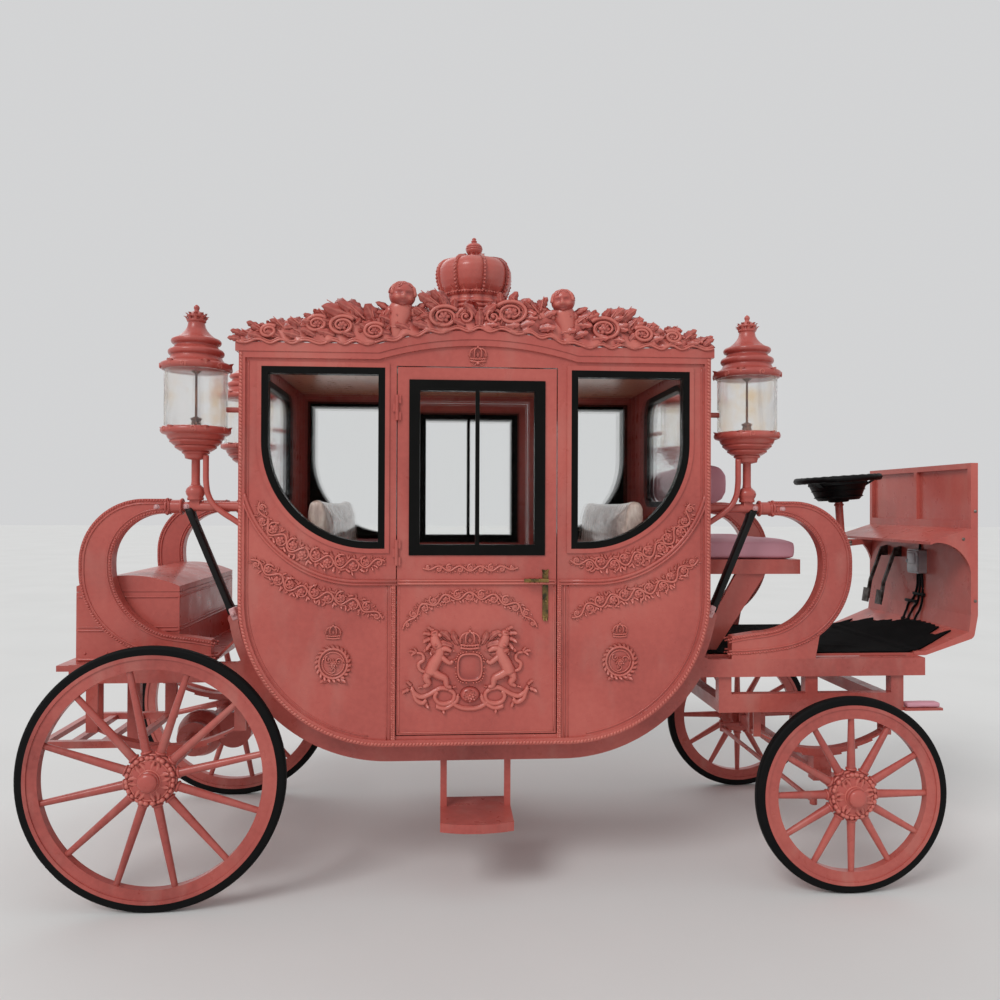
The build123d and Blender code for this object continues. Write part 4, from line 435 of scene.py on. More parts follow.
@dataclass(frozen=True)
class GrainLeather:
    """Coated leather with pebble grain, soft creases and a sheen."""

    name: str
    colour: Colour
    shade: Colour
    light: Colour
    roughness: float = 0.38
    grain: float = 520.0
    coat: float = 0.25

    def make(self) -> bpy.types.Material:
        """Build the material.

        Returns:
            The material.
        """
        sheet = MaterialSheet(self.name)
        soft = sheet.noise(5, 4)
        mottled = sheet.sum(soft, sheet.noise(70, 3), 0.25)
        sheet.give(
            Base_Color=sheet.ramp(mottled, (0.35, self.shade), (0.62, self.colour), (0.9, self.light)),
            Roughness=sheet.range(soft, self.roughness - 0.08, self.roughness + 0.12, 0.3, 0.7),
        )
        sheet.give(
            Coat_Weight=self.coat, Coat_Roughness=0.2, Sheen_Weight=0.3 * self.coat,
            Specular_IOR_Level=0.16 + self.coat,
        )
        creased = sheet.bump(sheet.noise(16, 5), 0.35, 0.003)
        sheet.bump(sheet.cells(self.grain), 0.3, 0.0005, creased)
        return sheet.material


@dataclass(frozen=True)
class CrinkledWrap:
    """Silvery protective film, sharply crinkled over a pale pad."""

    name: str = "crinkled_wrap"

    def make(self) -> bpy.types.Material:
        """Build the material.

        Returns:
            The material.
        """
        sheet = MaterialSheet(self.name)
        crinkle = sheet.cells(13, "DISTANCE_TO_EDGE", sheet.stretched((1.5, 1.0, 0.55), (0.5, 0.2, 0.0)))
        finer = sheet.noise(34, 5, sheet.stretched((1.2, 1.2, 0.5)))
        sheet.give(
            Base_Color=sheet.ramp(
                finer, (0.25, linear(172, 146, 136)), (0.55, linear(202, 178, 166)), (0.8, linear(236, 222, 212))
            ),
            Roughness=sheet.range(finer, 0.16, 0.4, 0.3, 0.7),
        )
        sheet.give(Coat_Weight=0.6, Coat_Roughness=0.1)
        folded = sheet.bump(crinkle, 0.6, 0.012)
        sheet.bump(finer, 0.45, 0.006, folded)
        return sheet.material


@dataclass(frozen=True)
class PileCarpet:
    """Short black pile with lint and lighter bent patches."""

    name: str = "pile_carpet"

    def make(self) -> bpy.types.Material:
        """Build the material.

        Returns:
            The material.
        """
        sheet = MaterialSheet(self.name)
        tufts = sheet.cells(700)
        patches = sheet.noise(11, 5)
        sheet.give(
            Base_Color=sheet.ramp(
                sheet.sum(patches, tufts, 0.25), (0.3, linear(2, 2, 3)), (0.6, linear(5, 5, 6)),
                (0.95, linear(16, 16, 16)),
            )
        )
        sheet.give(Roughness=0.95, Sheen_Weight=0.02, Specular_IOR_Level=0.04)
        soft = sheet.bump(patches, 0.5, 0.006)
        sheet.bump(tufts, 0.8, 0.0018, soft)
        return sheet.material


class Finish(Enum):
    """Every finish of the carriage."""

    PINK = BodyPaint("pink_body_paint", linear(184, 88, 79), linear(164, 74, 67), linear(196, 102, 91))
    CARVED = BodyPaint(
        "pink_carved_paint", linear(186, 89, 80), linear(146, 61, 56), linear(216, 126, 112), True, 0.3
    )
    CHASSIS = BodyPaint(
        "pink_chassis_paint", linear(176, 84, 76), linear(146, 65, 59), linear(194, 103, 92), False, 0.5
    )
    CEILING = BodyPaint(
        "ceiling_board", linear(212, 150, 120), linear(194, 130, 102), linear(224, 168, 140), False, 0.12
    )
    TRIM = GrainLeather("mauve_trim", linear(176, 108, 116), linear(150, 84, 92), linear(200, 136, 142), 0.36)
    BLACK = SatinPaint("black_frame_paint", linear(4, 4, 3), linear(12, 11, 10), 0.42)
    RUBBER = TyreRubber()
    GLASS = ClearGlass("window_float_glass", (0.93, 0.96, 0.95))
    LAMP_GLASS = LampGlass()
    BRASS = AgedMetal("aged_brass", linear(150, 122, 76), linear(68, 66, 52))
    STEEL = AgedMetal("oily_steel", linear(120, 116, 114), linear(58, 50, 46), 1.0, 0.42)
    BOLT = AgedMetal("zinc_bolts", linear(178, 172, 166), linear(120, 104, 96), 1.0, 0.34)
    SILVER = AgedMetal("silver_case", linear(186, 187, 190), linear(146, 146, 150), 0.85, 0.3, 9.0)
    # Pink leather whose mauve cast is a painted reflection of the blue sky on its gloss.
    PAINTED_SKY_LEATHER = GrainLeather(
        "mauve_leather", linear(124, 92, 134), linear(96, 70, 108), linear(160, 130, 166), 0.32, 480.0, 0.4
    )
    WRAP = CrinkledWrap()
    STRAP = GrainLeather(
        "black_strap_leather", linear(13, 12, 12), linear(8, 7, 7), linear(32, 29, 28), 0.45, 520.0, 0.05
    )
    CARPET = PileCarpet()
    PLASTIC = GrainLeather("black_moulding", linear(7, 7, 8), linear(4, 4, 5), linear(16, 15, 16), 0.46, 800.0, 0.0)
    CLAMP = BodyPaint(
        "pale_clamp_paint", linear(205, 158, 158), linear(180, 128, 128), linear(222, 182, 180), False, 0.3
    )
    CANDLE = SatinPaint("lamp_core", linear(92, 60, 50), linear(170, 118, 84), 0.4, 60.0)

    def material(self) -> bpy.types.Material:
        """The finish's material, built when it is first asked for."""
        made = bpy.data.materials.get(self.value.name)
        return made or self.value.make()


NODE_FINISHES: dict[Finish, tuple[str, ...]] = {
    Finish.PINK: (
        "cab_side_right", "cab_side_left", "cab_end_rear", "cab_end_front", "cab_belly", "cab_roof", "door_right",
        "door_left", "crown", "roof_cresting", "lamp_metalwork", "rear_trunk", "trunk_lid", "dash_panel",
        "driver_bench", "c_scrolls", "driver_floor", "cabin_benches",
    ),
    Finish.CHASSIS: (
        "door_steps", "chassis_frame", "rear_step", "front_frame", "rear_axle", "front_axle", "leaf_springs",
        "knuckle_right", "knuckle_left", "tie_rod", "steering_column", "wheel_rear_right", "wheel_rear_left",
        "wheel_front_right", "wheel_front_left",
    ),
    Finish.BLACK: ("window_frames", "door_frame_right", "door_frame_left"),
    Finish.GLASS: ("window_glass", "door_glass_right", "door_glass_left"), Finish.LAMP_GLASS: ("lamp_glasses",),
    Finish.RUBBER: ("tyre_rear_right", "tyre_rear_left", "tyre_front_right", "tyre_front_left"),
    Finish.BRASS: ("door_handle_right", "door_handle_left"), Finish.STRAP: ("leather_braces",),
    Finish.WRAP: ("cabin_cushions",), Finish.PAINTED_SKY_LEATHER: ("driver_cushions",), Finish.CARPET: ("driver_carpet",),
    Finish.PLASTIC: ("steering_wheel",), Finish.STEEL: ("pedals",), Finish.SILVER: ("fuse_box",),
}


def finish_nodes() -> None:
    """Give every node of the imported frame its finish."""
    for finish, names in NODE_FINISHES.items():
        for name in names:
            for slot in frame["nodes"][name].material_slots:
                slot.material = finish.material()
            log.info("%s finished as %s", name, finish.value.name)


@dataclass
class Form:
    """A small sculpted shape: points, faces, and how high each point stands in its relief, which the carved paint
    turns into painted shade low down and painted highlight high up.
    """

    points: np.ndarray
    faces: list[tuple[int, ...]]
    relief: Any

    def __post_init__(self) -> None:
        """Give every point its relief where one number stands for all."""
        self.relief = np.broadcast_to(np.asarray(self.relief, float), len(self.points))

    def placed(self, matrix: Matrix) -> "Form":
        """Copy of the form under a matrix, turned outwards again if that mirrors it.

        Args:
            matrix: Where it goes.

        Returns:
            The placed copy.
        """
        grid = np.array(matrix)
        points = self.points @ grid[:3, :3].T + grid[:3, 3]
        faces = self.faces
        if matrix.determinant() < 0:
            faces = [face[::-1] for face in faces]
        return Form(points, faces, self.relief)

    def outward(self) -> "Form":
        """The form with its faces turned outwards.

        Returns:
            The form itself.
        """
        total = 0.0
        for face in self.faces:
            first = self.points[face[0]]
            for second, third in zip(face[1:-1], face[2:]):
                total += float(np.dot(first, np.cross(self.points[second], self.points[third])))
        if total < 0:
            self.faces = [face[::-1] for face in self.faces]
        return self


def joined(forms: Sequence[Form]) -> Form:
    """Several forms as one.

    Args:
        forms: The forms.

    Returns:
        One form of all of them.
    """
    faces: list[tuple[int, ...]] = []
    start = 0
    for form in forms:
        faces.extend(tuple(index + start for index in face) for face in form.faces)
        start += len(form.points)
    points = np.concatenate([form.points for form in forms])
    return Form(points, faces, np.concatenate([form.relief for form in forms]))


def grid_faces(rows: int, cols: int, start: int = 0, closed: bool = False) -> list[tuple[int, ...]]:
    """Square faces of a grid of points, row after row.

    Args:
        rows: Rows of points.
        cols: Points in a row.
        start: Number of its first point.
        closed: Whether each row runs round into itself.

    Returns:
        The faces.
    """
    faces = []
    for i in range(rows - 1):
        for j in range(cols if closed else cols - 1):
            k = (j + 1) % cols
            low, high = start + i * cols, start + (i + 1) * cols
            faces.append((low + j, low + k, high + k, high + j))
    return faces


def two_sided(front: np.ndarray, back: np.ndarray, relief: Any) -> Form:
    """Closed form between two grids of points of the same size.

    Args:
        front: Front points, rows by columns by three.
        back: Points behind them.
        relief: Relief of all the points, or one for each.

    Returns:
        The closed form.
    """
    rows, cols = front.shape[:2]
    count = rows * cols
    faces = grid_faces(rows, cols)
    faces += [tuple(count + i for i in ring[::-1]) for ring in faces]
    border = [*range(cols), *range(2 * cols - 1, count, cols)]
    border += [*range(count - 2, count - cols - 1, -1), *range(count - 2 * cols, 0, -cols)]
    faces += [(border[i], border[i - 1], border[i - 1] + count, border[i] + count) for i in range(len(border))]
    points = np.concatenate([front.reshape(-1, 3), back.reshape(-1, 3)])
    return Form(points, faces, relief).outward()


def thin_shell(front: np.ndarray, keel: np.ndarray, relief: np.ndarray) -> Form:
    """Closed leaf between a front grid and a keel that runs down the middle of its back.

    Args:
        front: Front points, rows by columns by three.
        keel: One point behind each row.
        relief: Relief of the front points.

    Returns:
        The closed form.
    """
    rows, cols = front.shape[:2]
    count, last = rows * cols, cols - 1
    faces = grid_faces(rows, cols)
    for i in range(rows - 1):
        low, high, near, far = i * cols, (i + 1) * cols, count + i, count + i + 1
        faces += [(low, high, far, near), (high + last, low + last, near, far)]
    faces += [(*range(last, -1, -1), count), (*range(count - cols, count), count + rows - 1)]
    points = np.concatenate([front.reshape(-1, 3), keel])
    return Form(points, faces, np.concatenate([relief.reshape(-1), np.full(rows, 0.2)]))


def acanthus(
    length: float, width: float, lean: float = 0.0, curl: float = 1.1, lobes: int = 4, hollow: float = 0.35,
    rows: int = 13, cols: int = 7,
) -> Form:
    """Carved leaf that grows along +Y, faces +Z, leans aside and curls out at its tip.

    Args:
        length: Length along its midrib.
        width: Full width.
        lean: Turn of its tip aside, in radians, to +X.
        curl: Turn of its tip outwards, in radians.
        lobes: Lobes along each side.
        hollow: How far its sides fall behind the midrib, as a share of its width.
        rows: Points along it.
        cols: Points across it, an odd number.

    Returns:
        The leaf as a closed form.
    """
    u = np.linspace(0, 1, rows)
    v = np.linspace(-1, 1, cols)
    aside = lean * u**1.3
    out = 0.18 + curl * u**2.4
    side = np.stack([np.cos(aside), -np.sin(aside), np.zeros(rows)], 1)
    tangent = np.stack([np.sin(aside) * np.cos(out), np.cos(aside) * np.cos(out), np.sin(out)], 1)
    normal = np.cross(side, tangent)
    step = length / (rows - 1)
    spine = np.concatenate([np.zeros((1, 3)), np.cumsum((tangent[1:] + tangent[:-1]) / 2 * step, 0)])
    wave = np.abs(np.sin(lobes * np.pi * u + 0.35))
    shape = np.sin(np.pi * np.clip(u * 0.93 + 0.07, 0, 1) ** 0.85) ** 0.75
    half = width / 2 * shape * (0.62 + 0.38 * wave**0.6) + width * 0.012
    fall = -hollow * half[:, None] * v[None, :] ** 2
    flutes = 0.2 * half[:, None] * (
        np.abs(np.sin(lobes * np.pi * (u[:, None] - 0.12 * np.abs(v[None, :])) + 0.35)) - 0.5
    )
    lift = fall + flutes * np.abs(v[None, :]) ** 0.7
    rib = 0.13 * width * np.exp(-((v[None, :] / 0.16) ** 2)) * (1 - 0.75 * u[:, None])
    vein = -0.07 * width * np.exp(-(((np.abs(v[None, :]) - 0.3) / 0.14) ** 2)) * (1 - u[:, None])
    lift = lift + rib + vein
    front = spine[:, None, :] + side[:, None, :] * (half[:, None] * v[None, :])[..., None]
    front = front + normal[:, None, :] * lift[..., None]
    keel = front[:, cols // 2] - normal * (width * (0.16 - 0.07 * u))[:, None]
    height = 0.55 + (lift - fall) / (width * 0.2) + 0.25 * u[:, None] - 0.3 * (1 - wave)[:, None] * v[None, :] ** 2
    return thin_shell(front, keel, np.clip(height, 0.0, 1.0))


def track(x: Any, y: Any, z: Any) -> np.ndarray:
    """Points of a path from its three coordinates, each a number or a row of numbers."""
    return np.stack(np.broadcast_arrays(x, y, z), -1).astype(float)


def tube(path: np.ndarray, radii: Any, sides: int = 8, flat: float = 1.0, up: Point = (0.0, 0.0, 1.0)) -> Form:
    """Round or flattened bar along a path, closed at both ends.

    Args:
        path: Points along its middle.
        radii: Its radius, or one for each point.
        sides: Points round it.
        flat: Its height along up, as a share of its width.
        up: Direction that it is flattened along.

    Returns:
        The bar as a closed form.
    """
    radii = np.broadcast_to(np.asarray(radii, float), len(path))
    tangent = np.gradient(path, axis=0)
    tangent /= np.maximum(np.linalg.norm(tangent, axis=1), 1e-9)[:, None]
    upward = np.tile(np.array(up, float), (len(path), 1))
    side = np.cross(tangent, upward)
    length = np.linalg.norm(side, axis=1)
    spare = np.cross(tangent, np.array([0.31, 0.85, 0.42]))
    side = np.where(length[:, None] < 1e-3, spare, side)
    side /= np.linalg.norm(side, axis=1)[:, None]
    top = np.cross(side, tangent)
    turn = np.linspace(0, 2 * np.pi, sides, endpoint=False)
    ring = side[:, None, :] * np.cos(turn)[None, :, None]
    ring = ring + top[:, None, :] * (np.sin(turn) * flat)[None, :, None]
    points = (path[:, None, :] + ring * radii[:, None, None]).reshape(-1, 3)
    faces = grid_faces(len(path), sides, 0, True)
    faces.append(tuple(range(sides))[::-1])
    last = (len(path) - 1) * sides
    faces.append(tuple(range(last, last + sides)))
    relief = np.tile(0.5 + 0.45 * np.sin(turn), len(path))
    return Form(points, faces, relief).outward()


def volute(radius: float, width: float, turns: float = 1.35, stem: float = 1.2, flat: float = 1.0) -> Form:
    """Scroll that winds into a bud at the origin; its stem comes from below on the +X side.

    Args:
        radius: Outer radius of the winding.
        width: Width of its bar at the outside.
        turns: Turns of the winding.
        stem: Length of its straight stem, as a share of the radius.
        flat: Height of its bar as a share of its width.

    Returns:
        The scroll as a closed form.
    """
    t = np.linspace(0, 1, int(13 * turns) + 4)
    angle = 2 * np.pi * turns * t
    reach = radius * (1 - 0.8 * t**0.85)
    wound = track(reach * np.cos(angle), reach * np.sin(angle), 0.25 * width * t)
    run = np.linspace(-stem * radius, 0, 4)[:-1]
    foot = track(radius - 0.3 * run**2 / radius, run, 0.0)
    path = np.concatenate([foot, wound])
    grow = np.concatenate([np.linspace(0.35, 1.0, 3), 1 - 0.55 * t])
    bar = tube(path, width / 2 * grow, 6, flat)
    return joined([bar, boss(radius * 0.27, radius * 0.3, 7, 2).placed(shift(0, 0, 0.1 * width))])


def boss(radius: float, height: float, sides: int = 8, rings: int = 3) -> Form:
    """Round bud on the plane Z 0, a little pointed.

    Args:
        radius: Its radius.
        height: Its height.
        sides: Points round it.
        rings: Rings of points below its tip.

    Returns:
        The bud.
    """
    t = np.linspace(0, 0.5 * np.pi, rings + 1)[:-1]
    turn = np.linspace(0, 2 * np.pi, sides, endpoint=False)
    ring = np.stack([np.cos(turn), np.sin(turn)], 1)
    points = [np.zeros((0, 3))]
    for angle in t:
        level = np.full((sides, 1), height * math.sin(angle))
        points.append(np.concatenate([ring * radius * math.cos(angle) ** 0.8, level], 1))
    points.append(np.array([[0, 0, height * 1.05]]))
    whole = np.concatenate(points)
    faces = grid_faces(rings, sides, 0, True)
    top = rings * sides
    faces += [(top - sides + j, top - sides + (j + 1) % sides, top) for j in range(sides)]
    faces.append(tuple(range(sides))[::-1])
    return Form(whole, faces, np.clip(whole[:, 2] / height, 0, 1)).outward()


def turned(profile: Sequence[Pair], sides: int = 40, lobes: int = 0, swell: float = 0.0) -> Form:
    """Turned form about Z, closed on its axis, with lobes round it where asked.

    Args:
        profile: Radius and height pairs from bottom to top, both ends on the axis.
        sides: Points round it.
        lobes: Lobes round it.
        swell: How far a lobe stands out, as a share of the radius.

    Returns:
        The turned form.
    """
    turn = np.linspace(0, 2 * np.pi, sides, endpoint=False)
    bulge = 1 + swell * np.abs(np.sin(lobes * turn / 2)) ** 0.8 if lobes else np.ones(sides)
    inner = profile[1:-1]
    rings = [track(r * bulge * np.cos(turn), r * bulge * np.sin(turn), z) for r, z in inner]
    points = np.concatenate(rings + [np.array([[0, 0, profile[0][1]], [0, 0, profile[-1][1]]])])
    faces = grid_faces(len(inner), sides, 0, True)
    low, high = len(inner) * sides, len(inner) * sides + 1
    top = (len(inner) - 1) * sides
    faces += [(low, (j + 1) % sides, j) for j in range(sides)]
    faces += [(high, top + j, top + (j + 1) % sides) for j in range(sides)]
    relief = np.concatenate(
        [
            np.tile(0.35 + 0.55 * (bulge - 1) / max(swell, 1e-6) if lobes else np.full(sides, 0.7), len(inner)),
            [0.7, 0.7],
        ]
    )
    return Form(points, faces, relief).outward()


def rosette(radius: float, petals: int = 8, depth: float = 0.35) -> Form:
    """Flower of lobed petals round a bud, on the plane Z 0.

    Args:
        radius: Its radius.
        petals: Petals in each of its two layers.
        depth: Depth of the bud, as a share of the radius.

    Returns:
        The flower.
    """
    parts = [boss(radius * 0.26, radius * depth * 1.5)]
    for layer, (reach, lift) in enumerate(((1.0, 0.0), (0.68, 0.18))):
        petal = acanthus(radius * reach, radius * reach * 0.72, 0.0, 0.9, 1, 0.15, 6, 5)
        for number in range(petals):
            angle = 2 * math.pi * (number + 0.5 * layer) / petals
            move = shift(0, 0, lift * radius) @ Matrix.Rotation(angle, 4, "Z")
            parts.append(petal.placed(move))
    return joined(parts)


def blossom(radius: float, petals: int = 5) -> Form:
    """Small lobed flower with a bud, for places where dozens of them repeat."""
    profile = ((0, -0.05), (0.96, -0.05), (1.0, 0.1), (0.62, 0.3), (0.34, 0.16), (0.28, 0.42), (0, 0.55))
    return turned([(r * radius, z * radius) for r, z in profile], 3 * petals, petals, 0.45)


def shift(x: float, y: float, z: float) -> Matrix:
    """Matrix that moves a form."""
    return Matrix.Translation((x, y, z))


def spin(degrees: float, axis: str = "Z") -> Matrix:
    """Matrix that turns a form about an axis."""
    return Matrix.Rotation(math.radians(degrees), 4, axis)


def grown(x: float, y: float, z: float) -> Matrix:
    """Matrix that scales a form along the axes."""
    return Matrix.Diagonal((x, y, z, 1.0))


def placing(
    x: float, y: float, turn: float = 0.0, size: float = 1.0, lift: float = 0.0, tip: float = 0.0,
    flip: bool = False,
) -> Matrix:
    """Matrix that sets a form on a carved face.

    Args:
        x: Place along the face.
        y: Place up the face.
        turn: Turn in the face, in degrees anticlockwise.
        size: Scale.
        lift: Distance out of the face.
        tip: Tilt of its tip out of the face, in degrees.
        flip: Whether it is mirrored side to side first.

    Returns:
        The matrix.
    """
    move = shift(x, y, lift) @ spin(turn)
    move = move @ spin(tip, "X")
    scale = grown(-size if flip else size, size, size)
    return move @ scale


HERE = Matrix.Identity(4)
RIGHT_WALL = Matrix(((1, 0, 0, 0), (0, 0, -1, -SKIN_Y), (0, 1, 0, 0), (0, 0, 0, 1)))
MIRROR_Y = grown(1.0, -1.0, 1.0)


def fore_and_aft(matrix: Matrix) -> Matrix:
    """The same place mirrored about the middle of the cab."""
    return shift(2 * CAB_X, 0, 0) @ grown(-1.0, 1.0, 1.0) @ matrix


CORNERS = (
    ("rear_right", HERE), ("rear_left", MIRROR_Y), ("front_right", fore_and_aft(HERE)),
    ("front_left", fore_and_aft(MIRROR_Y)),
)


def keep_numbers(mesh: bpy.types.Mesh, name: str, numbers: Any, kind: str = "FLOAT", key: str = "value") -> None:
    """Keep a number or a vector on every point of a mesh."""
    mesh.attributes.new(name, kind, "POINT").data.foreach_set(key, np.array(numbers, np.float32).ravel())


def mesh_of(name: str, form: Form) -> bpy.types.Mesh:
    """Make a mesh of a form, with its relief on its points.

    Args:
        name: The mesh's name.
        form: The form.

    Returns:
        The mesh.
    """
    mesh = bpy.data.meshes.new(name)
    mesh.from_pydata([tuple(point) for point in form.points.tolist()], [], form.faces)
    keep_numbers(mesh, "relief", form.relief)
    return mesh


def shown(name: str, data: Any) -> bpy.types.Object:
    """Put new data into the scene as an object.

    Args:
        name: The object's name.
        data: Its mesh, camera or light.

    Returns:
        The object.
    """
    made = bpy.data.objects.new(name, data)
    bpy.context.scene.collection.objects.link(made)
    return made


def as_piece(name: str, form: Form, finish: Finish, body: str = CARRIER, smooth: bool = True) -> bpy.types.Object:
    """Make one piece of a form and let it ride on its body.

    Args:
        name: The piece's name.
        form: Its shape in the row's frame.
        finish: Its finish.
        body: The body that it rides on.
        smooth: Whether it is shaded smooth.

    Returns:
        The finished piece.
    """
    mesh = mesh_of(name, form)
    if smooth:
        mesh.shade_smooth()
    mesh.materials.append(finish.material())
    mesh.validate()
    made = shown(name, mesh)
    settle(made, body)
    return made


def settle(made: bpy.types.Object, body: str = CARRIER) -> None:
    """Let a finished piece ride on its body, and report it.

    Args:
        made: The piece.
        body: The body that it rides on.
    """
    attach(made, body)
    log.info("%s: %d triangles on %s", made.name, sum(len(face.vertices) - 2 for face in made.data.polygons), body)


def both_sides(name: str, form: Form, finish: Finish, bodies: tuple[str, str] = (CARRIER, CARRIER)) -> None:
    """Make a right piece and its mirrored left piece."""
    as_piece(f"{name}_right", form, finish, bodies[0])
    as_piece(f"{name}_left", form.placed(MIRROR_Y), finish, bodies[1])


class Carving:
    """Forms laid on one face, gathered before they become a piece."""

    def __init__(self, face: Matrix) -> None:
        """Start on a face that its matrix carries into the row's frame."""
        self.face = face
        self.forms: list[Form] = []

    def put(self, form: Form, *place: float, **more: Any) -> None:
        """Lay a form on the face as placing() says."""
        self.forms.append(form.placed(self.face @ placing(*place, **more)))

    def pair(self, form: Form, middle: float, offset: float, y: float, turn: float = 0.0, **more: Any) -> None:
        """Lay a form and its mirror image on both sides of a middle line.

        Args:
            form: The form.
            middle: X of the middle line.
            offset: Distance from it.
            y: Place up the face.
            turn: Turn of the one on the +X side, in degrees.
            **more: Other words of placing().
        """
        place = placing(middle + offset, y, turn, **more)
        mirror = shift(2 * middle, 0, 0) @ grown(-1.0, 1.0, 1.0)
        self.forms += [form.placed(self.face @ place), form.placed(self.face @ mirror @ place)]

    def sprays(
        self, middle: float, z: float, lean: float, lift: float, *leaves: tuple[float, float, float, float]
    ) -> None:
        """Lay pairs of small leaves on both sides of a middle line.

        Args:
            middle: X of the middle line.
            z: Height that theirs count from.
            lean: How far their tips lean aside, in radians.
            lift: Distance out of the face.
            *leaves: Reach, rise, turn in degrees and size of each.
        """
        for reach, rise, turn, size in leaves:
            leaf = acanthus(size, size * 0.6, lean, 0.8, 2, 0.3, 8, 5)
            self.pair(leaf, middle, reach, z + rise, turn, lift=lift)

    def whole(self) -> Form:
        """Everything laid so far as one form."""
        return joined(self.forms)


@dataclass
class Trail:
    """A path for repeated items: its points, which way is out, and how large items are on it."""

    points: list[Point]
    outward: list[Point]
    grow: list[float] = field(default_factory=list)
    closed: bool = False


